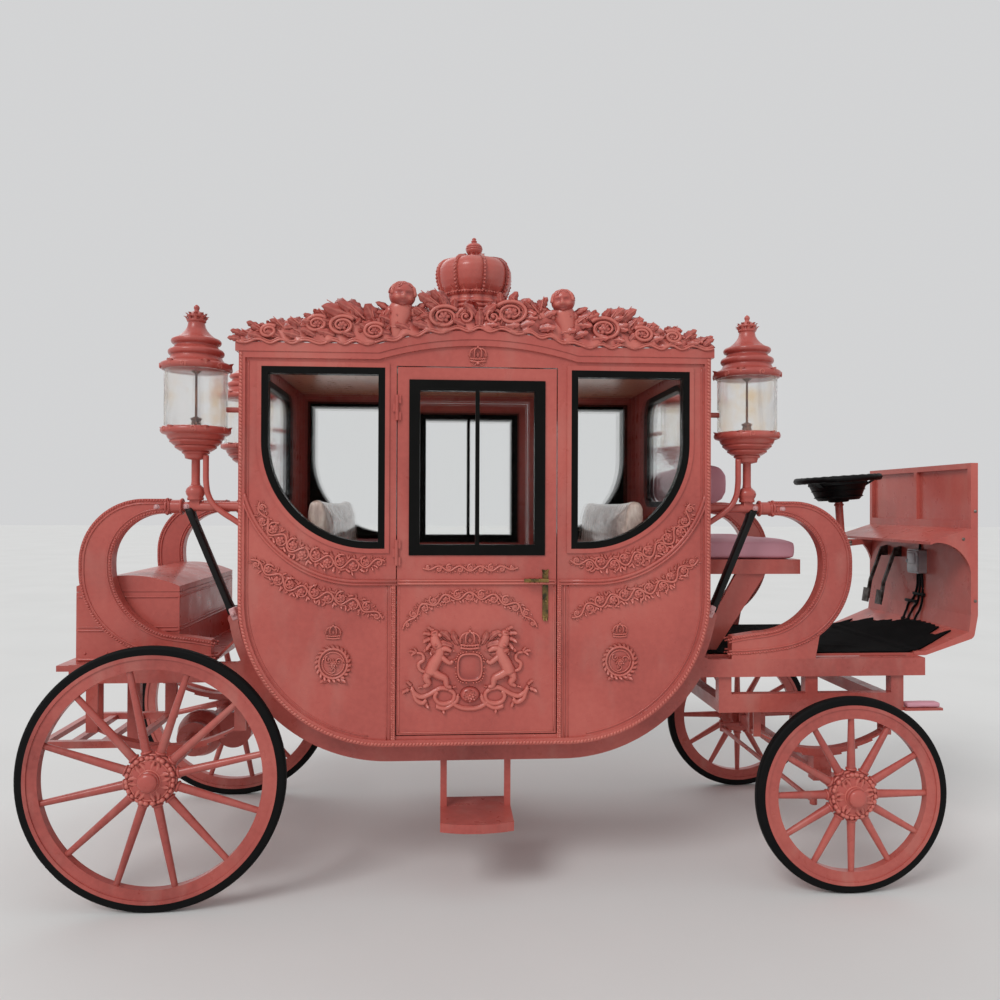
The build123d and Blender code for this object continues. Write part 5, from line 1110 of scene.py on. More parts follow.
class PathRepeater(NodeWork):
    """Geometry Nodes tree that sets copies of one item along trails."""

    INPUTS = (
        ("Item", "NodeSocketObject", None), ("Spacing", "NodeSocketFloat", 0.02),
        ("Item Size", "NodeSocketFloat", 1.0), ("Tilt", "NodeSocketFloat", 0.0),
        ("Alternate", "NodeSocketFloat", 0.0), ("Variation", "NodeSocketFloat", 0.0), ("Seed", "NodeSocketInt", 7),
        ("Finish", "NodeSocketMaterial", None),
    )

    def __init__(self) -> None:
        """Build the tree once."""
        self.tree = bpy.data.node_groups.new("items_along_a_path", "GeometryNodeTree")
        new_socket = self.tree.interface.new_socket
        for way in ("OUTPUT", "INPUT"):
            new_socket("Geometry", in_out=way, socket_type="NodeSocketGeometry")
        for name, kind, value in self.INPUTS:
            socket = new_socket(name, in_out="INPUT", socket_type=kind)
            if value is not None:
                socket.default_value = value
        given = self.add("NodeGroupInput").outputs
        curve = self.add("GeometryNodeMeshToCurve", {"Mesh": given["Geometry"]}).outputs["Curve"]
        even = self.add("GeometryNodeResampleCurve", {"Curve": curve, "Length": given["Spacing"]}, mode="LENGTH")
        item = self.add("GeometryNodeObjectInfo", {"Object": given["Item"]}).outputs["Geometry"]
        feeds = {
            "Points": even.outputs["Curve"], "Instance": item, "Rotation": self.turned(given),
            "Scale": self.sized(given),
        }
        copies = self.add("GeometryNodeInstanceOnPoints", feeds).outputs["Instances"]
        real = self.add("GeometryNodeRealizeInstances", {"Geometry": copies}).outputs["Geometry"]
        paint = self.add("GeometryNodeSetMaterial", {"Geometry": real, "Material": given["Finish"]})
        self.add("NodeGroupOutput", {"Geometry": paint.outputs["Geometry"]})

    def turned(self, given: Any) -> Any:
        """Rotation of each item: along the path, facing outwards, and swung to alternate sides.

        Args:
            given: The tree's inputs.

        Returns:
            The rotation's output.
        """
        tangent = self.add("GeometryNodeInputTangent").outputs["Tangent"]
        along = self.add("FunctionNodeAlignRotationToVector", {"Vector": tangent}, axis="X").outputs["Rotation"]
        feeds = {"Rotation": along, "Vector": self.kept("outward", "FLOAT_VECTOR")}
        facing = self.add("FunctionNodeAlignRotationToVector", feeds, axis="Z", pivot_axis="X").outputs["Rotation"]
        index = self.add("GeometryNodeInputIndex").outputs[0]
        side = self.math("SUBTRACT", self.math("MULTIPLY", self.math("MODULO", index, 2.0), 2.0), 1.0)
        swing = self.math("ADD", given["Tilt"], self.math("MULTIPLY", side, given["Alternate"]))
        axis = self.add("ShaderNodeCombineXYZ", {"Z": swing}).outputs[0]
        feeds = {"Rotation": facing, "Rotate By": self.add("FunctionNodeEulerToRotation", {0: axis}).outputs[0]}
        return self.add("FunctionNodeRotateRotation", feeds, rotation_space="LOCAL").outputs["Rotation"]

    def sized(self, given: Any) -> Any:
        """Size of each item: the trail's own, changed a little by chance.

        Args:
            given: The tree's inputs.

        Returns:
            The size's output.
        """
        feeds = {
            "Min": self.math("SUBTRACT", 1.0, given["Variation"]), "Max": self.math("ADD", 1.0, given["Variation"]),
            "Seed": given["Seed"],
        }
        vary = self.add("FunctionNodeRandomValue", feeds, data_type="FLOAT")
        value = next(socket for socket in vary.outputs if socket.enabled)
        grown = self.math("MULTIPLY", given["Item Size"], self.kept("grow", "FLOAT"))
        return self.math("MULTIPLY", grown, value)

    def kept(self, name: str, kind: str) -> Any:
        """Output of an attribute that the trail's points keep."""
        return self.add("GeometryNodeInputNamedAttribute", {"Name": name}, data_type=kind).outputs["Attribute"]

    def math(self, operation: str, first: Any, second: Any) -> Any:
        """Work out one number from two."""
        return self.add("ShaderNodeMath", {0: first, 1: second}, operation=operation).outputs[0]

    def run(
        self, name: str, trails: Iterable[Trail], item: Form, finish: Finish, spacing: float, tilt: float = 0.0,
        alternate: float = 0.0, variation: float = 0.0, seed: int = 7,
    ) -> Form:
        """Set an item along trails and give back the result.

        Args:
            name: Name of the row of items.
            trails: The trails.
            item: The item, which points along +X and faces +Z.
            finish: Its finish.
            spacing: Distance between items in metres.
            tilt: Turn of each item in its face, in degrees.
            alternate: Turn that changes sides from item to item, in degrees.
            variation: Random share of its size.
            seed: Seed of that share.

        Returns:
            All the items as one form.
        """
        points: list[Point] = []
        outward: list[Point] = []
        grow: list[float] = []
        edges: list[tuple[int, int]] = []
        for trail in trails:
            base, count = len(points), len(trail.points)
            edges += [(base + i, base + i + 1) for i in range(count - 1)]
            if trail.closed:
                edges.append((base + count - 1, base))
            points += trail.points
            outward += trail.outward
            grow += trail.grow or [1.0] * count
        guide = bpy.data.meshes.new(f"{name}_guide")
        guide.from_pydata(points, edges, [])
        keep_numbers(guide, "outward", outward, "FLOAT_VECTOR", "vector")
        keep_numbers(guide, "grow", grow)
        piece = mesh_of(f"{name}_item", item)
        holder, single = shown(f"{name}_guide", guide), shown(f"{name}_item", piece)
        modifier = holder.modifiers.new("items", "NODES")
        modifier.node_group = self.tree
        values = {
            "Item": single, "Spacing": spacing, "Item Size": 1.0, "Tilt": math.radians(tilt),
            "Alternate": math.radians(alternate), "Variation": variation, "Seed": seed, "Finish": finish.material(),
        }
        for socket in self.tree.interface.items_tree:
            if socket.in_out == "INPUT" and socket.name in values:
                modifier[socket.identifier] = values[socket.name]
        bpy.context.view_layer.update()
        ready = holder.evaluated_get(bpy.context.evaluated_depsgraph_get())
        result = bpy.data.meshes.new_from_object(ready)
        holder.modifiers.clear()
        form = as_form(result)
        for made in (holder, single):
            bpy.data.objects.remove(made)
        for mesh in (guide, piece, result):
            bpy.data.meshes.remove(mesh)
        return form


def as_form(mesh: bpy.types.Mesh) -> Form:
    """Read a mesh back as a form.

    Args:
        mesh: The mesh.

    Returns:
        Its points, faces and relief.
    """
    count = len(mesh.vertices)
    points = np.zeros(count * 3, np.float32)
    mesh.vertices.foreach_get("co", points)
    relief = np.full(count, 0.6, np.float32)
    if "relief" in mesh.attributes:
        mesh.attributes["relief"].data.foreach_get("value", relief)
    faces = [tuple(face.vertices) for face in mesh.polygons]
    return Form(points.reshape(-1, 3).astype(float), faces, relief.astype(float))


def bead(length: float, width: float, height: float, sides: int = 6) -> Form:
    """Pebble of a rope, longer along +X.

    Args:
        length: Length along X.
        width: Width.
        height: Height.
        sides: Points round it.

    Returns:
        The pebble.
    """
    t = np.linspace(-1, 1, 4)
    path = track(t * length / 2, 0.0, 0.0)
    return tube(path, width / 2 * np.sqrt(np.clip(1 - (t * 0.94) ** 2, 0.05, 1)), sides, height / width)


REPEATER = PathRepeater()


def flat_trail(
    points: Sequence[Pair], face: Matrix, lift: float = 0.0, grow: Sequence[float] = (), closed: bool = False
) -> Trail:
    """Trail on a flat face, from points in that face.

    Args:
        points: The points in the face.
        face: Matrix of the face.
        lift: Distance out of the face.
        grow: Size of the items at each point.
        closed: Whether the trail runs round into itself.

    Returns:
        The trail.
    """
    outward = tuple((face.to_3x3() @ Vector((0, 0, 1))).normalized())
    placed = [tuple(face @ Vector((x, y, lift))) for x, y in points]
    return Trail(placed, [outward] * len(placed), list(grow), closed)


def smooth_line(points: Sequence[Pair], count: int = 40) -> list[Pair]:
    """Even points on a smooth line through a few points.

    Args:
        points: The points that it passes.
        count: Points of the line.

    Returns:
        The line.
    """
    given = np.array(points, float)
    gaps = np.linalg.norm(np.diff(given, axis=0), axis=1)
    run = np.concatenate([[0], np.cumsum(gaps)])
    slopes = np.gradient(given, run, axis=0)
    places = np.linspace(0, run[-1], count)
    made = []
    for place in places:
        i = min(int(np.searchsorted(run, place, side="right")) - 1, len(given) - 2)
        width = run[i + 1] - run[i]
        t = (place - run[i]) / width
        weights = (
            2 * t**3 - 3 * t**2 + 1, (t**3 - 2 * t**2 + t) * width, -2 * t**3 + 3 * t**2, (t**3 - t**2) * width
        )
        spot = weights[0] * given[i] + weights[1] * slopes[i]
        spot = spot + weights[2] * given[i + 1] + weights[3] * slopes[i + 1]
        made.append((float(spot[0]), float(spot[1])))
    return made


def arc_line(centre: Pair, radius: float, start: float, stop: float, count: int = 24) -> list[Pair]:
    """Points on an arc between two angles in degrees."""
    angles = np.radians(np.linspace(start, stop, count))
    return [(centre[0] + radius * math.cos(a), centre[1] + radius * math.sin(a)) for a in angles]


def cab_line(inset: float, top_inset: float) -> list[Pair]:
    """Closed outline of the cab's side at an inset.

    Args:
        inset: How far inside the wall's edge it runs.
        top_inset: How far below the eaves it runs.

    Returns:
        The outline, from the arch round by the rear.
    """
    rear, front = CAB_REAR + inset, CAB_FRONT - inset
    radius = CORNER_R - inset
    top = EAVES_Z - top_inset
    arch = [(float(x), top + arch_height(float(x))) for x in np.linspace(CAB_X + ARCH_HALF, CAB_X - ARCH_HALF, 40)]
    low_rear = arc_line((CAB_REAR + CORNER_R, CORNER_Z), radius, 180, 270, 40)
    low_front = arc_line((CAB_FRONT - CORNER_R, CORNER_Z), radius, 270, 360, 40)
    return arch + [(rear, top)] + low_rear + low_front + [(front, top)]


def raised(points: Sequence[Pair], radius: float, lift: float = 0.0, flat: float = 1.0) -> Form:
    """Plain raised bead along a line on the right-hand wall.

    Args:
        points: The line in the wall's plane.
        radius: Half the bead's width.
        lift: Height of its middle above the wall.
        flat: Its height as a share of its width.

    Returns:
        The bead, already on the wall.
    """
    path = np.array([(x, z, lift) for x, z in points])
    return tube(path, radius, 6, flat).placed(RIGHT_WALL)


def rinceau(points: Sequence[Pair], width: float, seed: int, period: float = 0.078) -> Form:
    """Dense low scrollwork: a waving stem, a spiral with a bud in each wave, and curled leaves on both sides.

    Args:
        points: A few points that the band follows.
        width: Width of the band at its middle.
        seed: Seed of its small changes.
        period: Length of half a wave.

    Returns:
        The band, already on the wall.
    """
    line = np.array(smooth_line(points, 180))
    tangent = np.gradient(line, axis=0)
    tangent /= np.linalg.norm(tangent, axis=1)[:, None]
    across = np.stack([-tangent[:, 1], tangent[:, 0]], 1)
    run = np.concatenate([[0], np.cumsum(np.linalg.norm(np.diff(line, axis=0), axis=1))])
    grow = width * np.clip(1.35 * np.sin(math.pi * (0.1 + 0.8 * run / run[-1])), 0.5, 1.0)
    waves = max(3, round(run[-1] / period))
    phase = run / run[-1] * waves * math.pi + (seed % 2) * math.pi
    spot = line + across * (0.24 * grow * np.sin(phase))[:, None]
    pick = Random(seed)
    work = Carving(RIGHT_WALL)
    work.forms.append(raised([(float(x), float(z)) for x, z in spot], 0.0052, 0.0035, 1.1))
    for wave in range(waves):
        i = int(np.argmin(np.abs(run - (wave + 0.5) / waves * run[-1])))
        side = 1.0 if math.sin(phase[i]) > 0 else -1.0
        heading = math.degrees(math.atan2(tangent[i][1], tangent[i][0]))
        size = float(grow[i])
        middle = line[i] - across[i] * side * 0.1 * size
        curl = volute(0.33 * size, 0.0105, 1.3, 0.35, 1.0)
        work.put(curl, *middle, heading - 90 * side + pick.uniform(-20, 20), lift=0.0035, flip=side > 0)
        work.put(blossom(0.15 * size), *middle, pick.uniform(0, 70), lift=0.006)
        for reach, turn in (
            (0.3, -72), (0.34, -34), (0.3, 6), (0.34, 40), (0.28, 76), (-0.34, -56), (-0.38, -8), (-0.34, 44)
        ):
            out = side * math.copysign(1.0, reach)
            root = line[i] + across[i] * side * reach * 0.62 * size
            root = root + tangent[i] * 0.42 * size * math.sin(math.radians(turn))
            leaf = acanthus(size * pick.uniform(0.3, 0.4), size * 0.19, pick.choice((-1.0, 1.0)), 0.9, 2, 0.3, 6, 5)
            work.put(leaf, *root, heading + 90 * out - turn * out - 90, lift=0.0015)
        knot = spot[min(i + 90 // waves, 179)]
        work.put(boss(0.0062, 0.0095, 7, 2), *knot)
    return work.whole()


@dataclass
class CabSides:
    """Ropes, garlands and medallions on both side walls of the cab."""

    bead_inset: float = 0.01
    bead_proud: float = 0.01
    upper_garland: tuple[Pair, ...] = (
        (-1.158, 1.776), (-1.136, 1.69), (-1.072, 1.622), (-1.005, 1.57), (-0.902, 1.53), (-0.824, 1.508),
        (-0.735, 1.5), (-0.606, 1.514),
    )
    lower_garland: tuple[Pair, ...] = (
        (-1.196, 1.52), (-1.141, 1.486), (-1.08, 1.44), (-1.02, 1.4), (-0.966, 1.382), (-0.901, 1.364),
        (-0.837, 1.35), (-0.772, 1.334), (-0.706, 1.312), (-0.614, 1.256),
    )
    medal: Pair = (-0.832, 1.062)

    def build(self) -> None:
        """Build everything on the two side walls."""
        self.ropes()
        self.garlands()
        self.medallions()
        self.lintel_crown()

    def ropes(self) -> None:
        """Pebbled rope down and under the wall, smooth rolls at the waist, and fine raised lines."""
        pebble = bead(0.02, 0.016, 0.013)
        outline = cab_line(self.bead_inset, self.bead_inset + 0.002)[40:]
        edge = REPEATER.run(
            "edge_rope", [flat_trail(outline, RIGHT_WALL, self.bead_proud)], pebble, Finish.CARVED, 0.0155, 34.0,
            0.0, 0.14,
        )
        small = bead(0.0125, 0.009, 0.007, 5)
        jambs = []
        for x in (-0.5615, -0.5695, 0.1795, 0.1875):
            jambs.append(flat_trail([(x, z) for z in np.linspace(0.716, 1.402, 20)], RIGHT_WALL, 0.0064))
        jamb = REPEATER.run("jamb_rope", jambs, small, Finish.CARVED, 0.0098, 38.0, 0.0, 0.35, 3)
        both_sides("edge_rope", joined([edge, jamb]), Finish.CARVED)
        forms = []
        for sign in (-1, 1):
            for radius, thick in ((0.529, 0.0078), (0.5435, 0.0058)):
                arc = [(CAB_X - 0.367, 1.952 - radius), *arc_line((CAB_X - 0.531, 1.952), radius, 270, 191, 40)]
                run = arc if sign < 0 else [(2 * CAB_X - x, z) for x, z in arc]
                forms.append(raised([p for p in run if 0.366 < abs(p[0] - CAB_X) < 1.045], thick, 0.006, 1.0))
            for inset in (0.029, 0.041):
                forms += self.fine_rail(inset, sign)
            forms.append(raised([(CAB_X + sign * 0.3925, z) for z in np.linspace(0.716, 1.404, 12)], 0.0034, 0.005))
            forms.append(raised([(CAB_X + sign * 0.41, z) for z in np.linspace(0.705, 1.404, 12)], 0.0026, 0.001))
            forms.append(raised(self.window_line(sign, 0.036), 0.0052, 0.001))
        both_sides("raised_lines", joined(forms), Finish.PINK)

    def fine_rail(self, inset: float, sign: int) -> list[Form]:
        """Fine raised line inside the edge rope, on one half of the wall.

        Args:
            inset: How far inside the wall's edge it runs.
            sign: -1 for the rear half, 1 for the front half.

        Returns:
            The line as a raised bead.
        """
        low = arc_line((CAB_REAR + CORNER_R, CORNER_Z), CORNER_R - inset, 262, 180, 40)
        line = [*low, (CAB_REAR + inset, 1.6), (CAB_REAR + inset, 2.0), (CAB_REAR + inset, EAVES_Z - inset)]
        run = line if sign < 0 else [(2 * CAB_X - x, z) for x, z in line]
        return [raised(smooth_line(run, 70), 0.003, 0.001)]

    def window_line(self, sign: int, out: float) -> list[Pair]:
        """Line round a side window, this far outside its glass frame.

        Args:
            sign: -1 for the rear window, 1 for the front one.
            out: Distance outside the glass frame.

        Returns:
            The closed line.
        """
        near, far, low, high, radius = 0.452 - out, 0.939 + out, 1.599 - out, 2.352 + out, 0.452 + out
        corner = arc_line((far - radius, low + radius), radius, -90, 0, 20)
        ring = [(near, low), *corner, (far, high), (near, high), (near, low)]
        return [(CAB_X + sign * x, z) for x, z in ring]

    def garlands(self) -> None:
        """Two bands of scrollwork on each quarter panel."""
        forms = []
        for mirrored in (False, True):
            for row, (line, wide) in enumerate(((self.upper_garland, 0.094), (self.lower_garland, 0.088))):
                points = [(2 * CAB_X - x, z) if mirrored else (x, z) for x, z in line]
                forms.append(rinceau(points, wide, 11 + row + 4 * mirrored, 0.058))
        both_sides("panel_garlands", joined(forms), Finish.CARVED)

    def medallions(self) -> None:
        """Crowned wreath of short leaves with a flower in it, on each quarter panel."""
        work = Carving(RIGHT_WALL)
        for middle in (self.medal[0], 2 * CAB_X - self.medal[0]):
            z = self.medal[1] - 0.006
            for i in range(22):
                a = 2 * math.pi * i / 22
                leaf = acanthus(0.034, 0.022, -0.6, 0.9, 2, 0.3, 6, 5)
                spot = (middle + 0.058 * math.cos(a), z + 0.06 * math.sin(a))
                work.put(leaf, *spot, math.degrees(a) - 90 + 34, lift=0.003)
            for radius, thick in ((0.063, 0.0065), (0.049, 0.0036)):
                ring = np.array(
                    [
                        (
                            radius * math.cos(a), radius * 1.04 * math.sin(a), 0.003
                        ) for a in np.linspace(0, 2 * math.pi, 32)
                    ]
                )
                work.put(tube(ring, thick, 6), middle, z)
            work.put(rosette(0.026, 6), middle, z, lift=0.001)
            for turn in (20, 140, 260):
                work.put(
                    volute(0.017, 0.008, 1.1, 0.8, 1.1), middle + 0.026 * math.cos(math.radians(turn)),
                    z + 0.026 * math.sin(math.radians(turn)), turn, lift=0.003,
                )
            work.pair(acanthus(0.06, 0.03, 0.9, 0.6, 3), middle, 0.004, z - 0.078, -74.0)
            small_crown(work, middle, z + 0.116, 0.076)
        both_sides("panel_medallions", work.whole(), Finish.CARVED)

    def lintel_crown(self) -> None:
        """Small carved crown over each door, on a scrolled foot."""
        work = Carving(RIGHT_WALL)
        small_crown(work, CAB_X - 0.006, 2.42, 0.086)
        work.pair(volute(0.015, 0.008, 1.2, 0.8, 1.1), CAB_X - 0.006, 0.02, 2.408, 84.0)
        work.put(boss(0.01, 0.012, 10, 4), CAB_X - 0.006, 2.408)
        both_sides("lintel_crown", work.whole(), Finish.CARVED)


def small_crown(work: Carving, x: float, y: float, size: float) -> None:
    """Lay a small closed crown in relief, its foot at this place.

    Args:
        work: Carving that it joins.
        x: Middle of its foot.
        y: Height of its foot.
        size: Its width.
    """
    band = track(np.linspace(-0.42, 0.42, 9), -0.06 * np.cos(np.linspace(-1.3, 1.3, 9)), 0.05) * size
    for level, thick in ((0.0, 0.055), (0.14, 0.045)):
        work.put(tube(band, thick * size, 6), x, y + level * size)
    for step in np.linspace(-0.36, 0.36, 7):
        work.put(boss(0.042 * size, 0.06 * size, 8, 3), x + float(step) * size, y + 0.065 * size, lift=0.05 * size)
    t = np.linspace(0, 1, 9)
    for reach in (-0.42, -0.17, 0.17, 0.42):
        bow = 0.34 * (1 if abs(reach) > 0.3 else 0.6)
        path = track(
            reach * (1 - t) + np.sign(reach) * bow * np.sin(math.pi * t) * 0.45,
            0.16 + 0.5 * np.sin(t * math.pi / 2), 0.05 + 0.1 * np.sin(math.pi * t),
        ) * size
        work.put(tube(path, 0.042 * size, 6), x, y)
    for step in (-0.4, 0.0, 0.4):
        work.put(
            acanthus(0.3 * size, 0.2 * size, 0.0, 0.6, 1), x + step * size, y + 0.17 * size, -18.0 * step,
            lift=0.03 * size,
        )
    work.put(boss(0.085 * size, 0.12 * size, 10, 4), x, y + 0.71 * size, lift=0.02 * size)
    work.put(acanthus(0.16 * size, 0.14 * size, 0.0, 0.2, 1), x, y + 0.76 * size)


@dataclass
class Doors:
    """Carving and fittings of the two doors, which ride on them."""

    middle: float = -0.191
    rear: float = -0.551
    front: float = 0.169
    bottom: float = 0.733
    waist_z: float = 1.418
    arms: Pair = (-0.222, 1.036)
    lock_x: float = 0.119

    def build(self) -> None:
        """Build everything on the doors."""
        work = Carving(RIGHT_WALL)
        self.coat_of_arms(work)
        spray = rinceau(((-0.436, 1.482), (-0.3, 1.48), (-0.15, 1.48), (-0.008, 1.482)), 0.046, 21, 0.048)
        arch = rinceau(
            (
                (-0.524, 1.206), (-0.455, 1.29), (-0.35, 1.342), (-0.222, 1.358), (-0.094, 1.342), (0.01, 1.292),
                (0.082, 1.212),
            ),
            0.064, 24, 0.056,
        )
        parts = [work.whole(), spray, arch, self.lines()]
        both_sides("door_carving", joined(parts), Finish.CARVED, ("door_right", "door_left"))
        self.lock()

    def lines(self) -> Form:
        """Fine raised lines round the lower panel and the window, and the two rolls of the waist ledge.

        Returns:
            All the lines.
        """
        forms = []
        for x in (self.rear + 0.01, self.front - 0.01):
            forms.append(
                raised([(x, z) for z in np.linspace(self.bottom + 0.01, self.waist_z - 0.016, 12)], 0.003, 0.0005)
            )
        forms.append(
            raised(
                [
                    (x, self.bottom + 0.01) for x in np.linspace(self.rear + 0.01, self.front - 0.01, 12)
                ], 0.003, 0.0005
            )
        )
        for z, radius in ((self.waist_z - 0.006, 0.0062), (self.waist_z + 0.007, 0.0046)):
            forms.append(
                raised([(x, z) for x in np.linspace(self.rear + 0.006, self.front - 0.006, 12)], radius, 0.007)
            )
        ring = [(-0.488, 1.552), (0.106, 1.552), (0.106, 2.318), (-0.488, 2.318), (-0.488, 1.552)]
        return joined([*forms, raised(ring, 0.005, 0.0005)])

    def coat_of_arms(self, work: Carving) -> None:
        """Blank shield under a crown, between two scrolled supporters over a ribbon.

        Args:
            work: Carving that it joins.
        """
        x, z = self.arms
        work.put(shield(0.116, 0.128), x, z, lift=0.002)
        for angle in range(0, 360, 12):
            a = math.radians(angle)
            px, py = superellipse(a, 0.064, 0.07)
            work.put(boss(0.005, 0.007, 7, 3), x + px, z + py, lift=0.012)
        small_crown(work, x, z + 0.088, 0.104)
        for step, (reach, rise, turn, size) in enumerate(
            (
                (0.05, 0.1, -38, 0.085), (0.076, 0.088, -62, 0.1), (0.088, 0.06, -92, 0.105),
                (0.086, 0.118, -30, 0.08), (0.12, 0.112, -58, 0.078), (0.15, 0.086, -84, 0.07),
            )
        ):
            work.pair(
                acanthus(size, size * 0.42, 0.9 if step % 2 else -0.8, 0.9, 3), x, reach, z + rise, turn,
                lift=0.004,
            )
        supporter(work, x, z)
        work.put(boss(0.046, 0.026, 20, 4).placed(grown(1.0, 0.82, 1.0)), x, z - 0.124)
        work.put(rosette(0.034, 8), x, z - 0.124, lift=0.018)
        strands = (
            (
                (0.262, -0.092), (0.245, -0.118), (0.221, -0.133), (0.19, -0.126), (0.16, -0.109), (0.128, -0.094),
                (0.094, -0.1),
            ),
            (
                (0.094, -0.1), (0.07, -0.12), (0.076, -0.15), (0.11, -0.166), (0.145, -0.156), (0.158, -0.13),
                (0.146, -0.108),
            ),
            ((0.152, -0.176), (0.115, -0.186), (0.078, -0.168), (0.058, -0.15), (0.052, -0.128)),
            ((0.08, -0.16), (0.05, -0.18), (0.02, -0.188), (-0.006, -0.189)),
            ((0.256, -0.102), (0.236, -0.15), (0.21, -0.16), (0.196, -0.144)),
        )
        for strand in strands:
            for inner, thick in ((0.0, 0.0105), (0.007, 0.006)):
                path = np.array(
                    [(px, py + inner, 0.006 + 0.004 * math.sin(9 * px + 5)) for px, py in smooth_line(strand, 22)]
                )
                work.pair(tube(path, thick, 7, 0.9), x, 0.0, z)
        leaves = (
            (0.262, -0.086, -30, 0.04), (0.268, -0.1, -96, 0.044), (0.2, -0.15, 170, 0.04),
            (0.118, -0.176, 190, 0.036),
        )
        work.sprays(x, z, 0.7, 0.005, *leaves)

    def lock(self) -> None:
        """Keyhole, screws and grip rings of the handles."""
        work = Carving(shift(0, -0.006, 0) @ RIGHT_WALL)
        for z in (1.262, 1.458):
            work.put(boss(0.0058, 0.004, 14, 3), self.lock_x, z)
        work.put(
            turned(((0, 0), (0.01, 0), (0.01, 0.004), (0.0065, 0.005), (0.0065, 0.003), (0, 0.003)), 20),
            self.lock_x, 1.335,
        )
        work.pair(acanthus(0.03, 0.014, 0.5, 0.4, 2), self.lock_x, 0.002, 1.452, -18.0)
        work.pair(acanthus(0.03, 0.014, 0.5, 0.4, 2), self.lock_x, 0.002, 1.268, -162.0)
        rings = []
        for reach in (0.03, 0.052, 0.074):
            ring = turned(((0, -0.003), (0.0102, -0.003), (0.0108, 0), (0.0102, 0.003), (0, 0.003)), 18)
            turn = shift(self.lock_x - reach, -0.742, 1.428) @ spin(90, "Y")
            rings.append(ring.placed(turn))
        both_sides("handle_fittings", joined([work.whole(), *rings]), Finish.BRASS, ("door_right", "door_left"))


def superellipse(angle: float, wide: float, high: float, power: float = 0.62) -> Pair:
    """Point of a rounded square at an angle."""
    c, s = math.cos(angle), math.sin(angle)
    return (wide * math.copysign(abs(c) ** power, c), high * math.copysign(abs(s) ** power, s))


def shield(width: float, height: float) -> Form:
    """Blank shield with rounded corners, a raised rim and a swelling field.

    Args:
        width: Its width.
        height: Its height.

    Returns:
        The shield.
    """
    turn = np.linspace(0, 2 * np.pi, 48, endpoint=False)
    edge = np.array([superellipse(float(a), width / 2, height / 2) for a in turn])
    rings = ((1.0, 0.0), (1.0, 0.012), (0.93, 0.016), (0.86, 0.012), (0.82, 0.006), (0.6, 0.01), (0.3, 0.013))
    points = np.concatenate(
        [np.concatenate([edge * share, np.full((48, 1), level)], 1) for share, level in rings] + [[[0, 0, 0.014]]]
    )
    faces = grid_faces(len(rings), 48, 0, True)
    faces.append(tuple(range(48))[::-1])
    top = (len(rings) - 1) * 48
    faces += [(top + j, top + (j + 1) % 48, len(rings) * 48) for j in range(48)]
    relief = np.concatenate([np.full(48, value) for value in (0.1, 0.7, 1.0, 0.6, 0.25, 0.5, 0.6)] + [[0.6]])
    return Form(points, faces, relief).outward()


def limb(points: Sequence[Pair], start: float, stop: float, lift: float = 0.008, flat: float = 0.95) -> Form:
    """Tapering limb of a carved beast.

    Args:
        points: Its line in the carving's plane.
        start: Its radius at the first point.
        stop: Its radius at the last point.
        lift: Height of its middle above the ground.
        flat: Its height as a share of its width.

    Returns:
        The limb.
    """
    path = np.array([(x, y, lift) for x, y in smooth_line(points, 20)])
    t = np.linspace(0, 1, 20)
    return tube(path, start + (stop - start) * t + 0.003 * np.sin(math.pi * t), 9, flat)


def supporter(work: Carving, x: float, z: float) -> None:
    """Rearing maned beast at each side of the shield, its tail curled behind it.

    Args:
        work: Carving that it joins.
        x: Middle of the shield.
        z: Height of the shield's middle.
    """
    pieces = (
        limb(
            ((0.176, -0.03), (0.166, 0.006), (0.148, 0.04), (0.138, 0.074), (0.148, 0.104)), 0.03, 0.021, 0.009,
            0.75,
        ),
        limb(((0.142, 0.09), (0.156, 0.12), (0.16, 0.142)), 0.024, 0.019, 0.011, 0.8),
        limb(((0.134, 0.082), (0.108, 0.084), (0.084, 0.072)), 0.0125, 0.008, 0.012),
        limb(((0.138, 0.058), (0.112, 0.034), (0.088, 0.02), (0.076, 0.03)), 0.012, 0.0075, 0.012),
        limb(((0.17, -0.016), (0.14, -0.036), (0.112, -0.05), (0.1, -0.086), (0.082, -0.09)), 0.021, 0.008, 0.01),
        limb(((0.184, -0.024), (0.196, -0.046), (0.186, -0.072), (0.208, -0.088)), 0.02, 0.008, 0.008),
        limb(
            ((0.196, -0.02), (0.222, -0.012), (0.23, 0.016), (0.208, 0.034), (0.214, 0.06), (0.24, 0.066)), 0.0075,
            0.0055, 0.006,
        ),
    )
    for piece in pieces:
        work.pair(piece, x, 0.0, z)
    work.pair(boss(0.033, 0.026, 16, 6), x, 0.174, z - 0.014)
    work.pair(boss(0.022, 0.024, 14, 5), x, 0.158, z + 0.15)
    work.pair(boss(0.013, 0.02, 12, 5), x, 0.136, z + 0.146, lift=0.004)
    work.pair(boss(0.0065, 0.012, 8, 4), x, 0.166, z + 0.17, lift=0.006)
    mane_and_paws = (
        (0.166, 0.162, -40, 0.04), (0.174, 0.146, -66, 0.046), (0.172, 0.128, -96, 0.048),
        (0.166, 0.108, -118, 0.046), (0.158, 0.088, -136, 0.042), (0.146, 0.12, 150, 0.034),
        (0.244, 0.066, -60, 0.036), (0.24, 0.068, -104, 0.032), (0.24, 0.068, -16, 0.03), (0.08, 0.072, 96, 0.018),
        (0.076, 0.03, 70, 0.018), (0.08, -0.09, 90, 0.024), (0.212, -0.09, -80, 0.024),
    )
    work.sprays(x, z, 0.8, 0.009, *mane_and_paws)


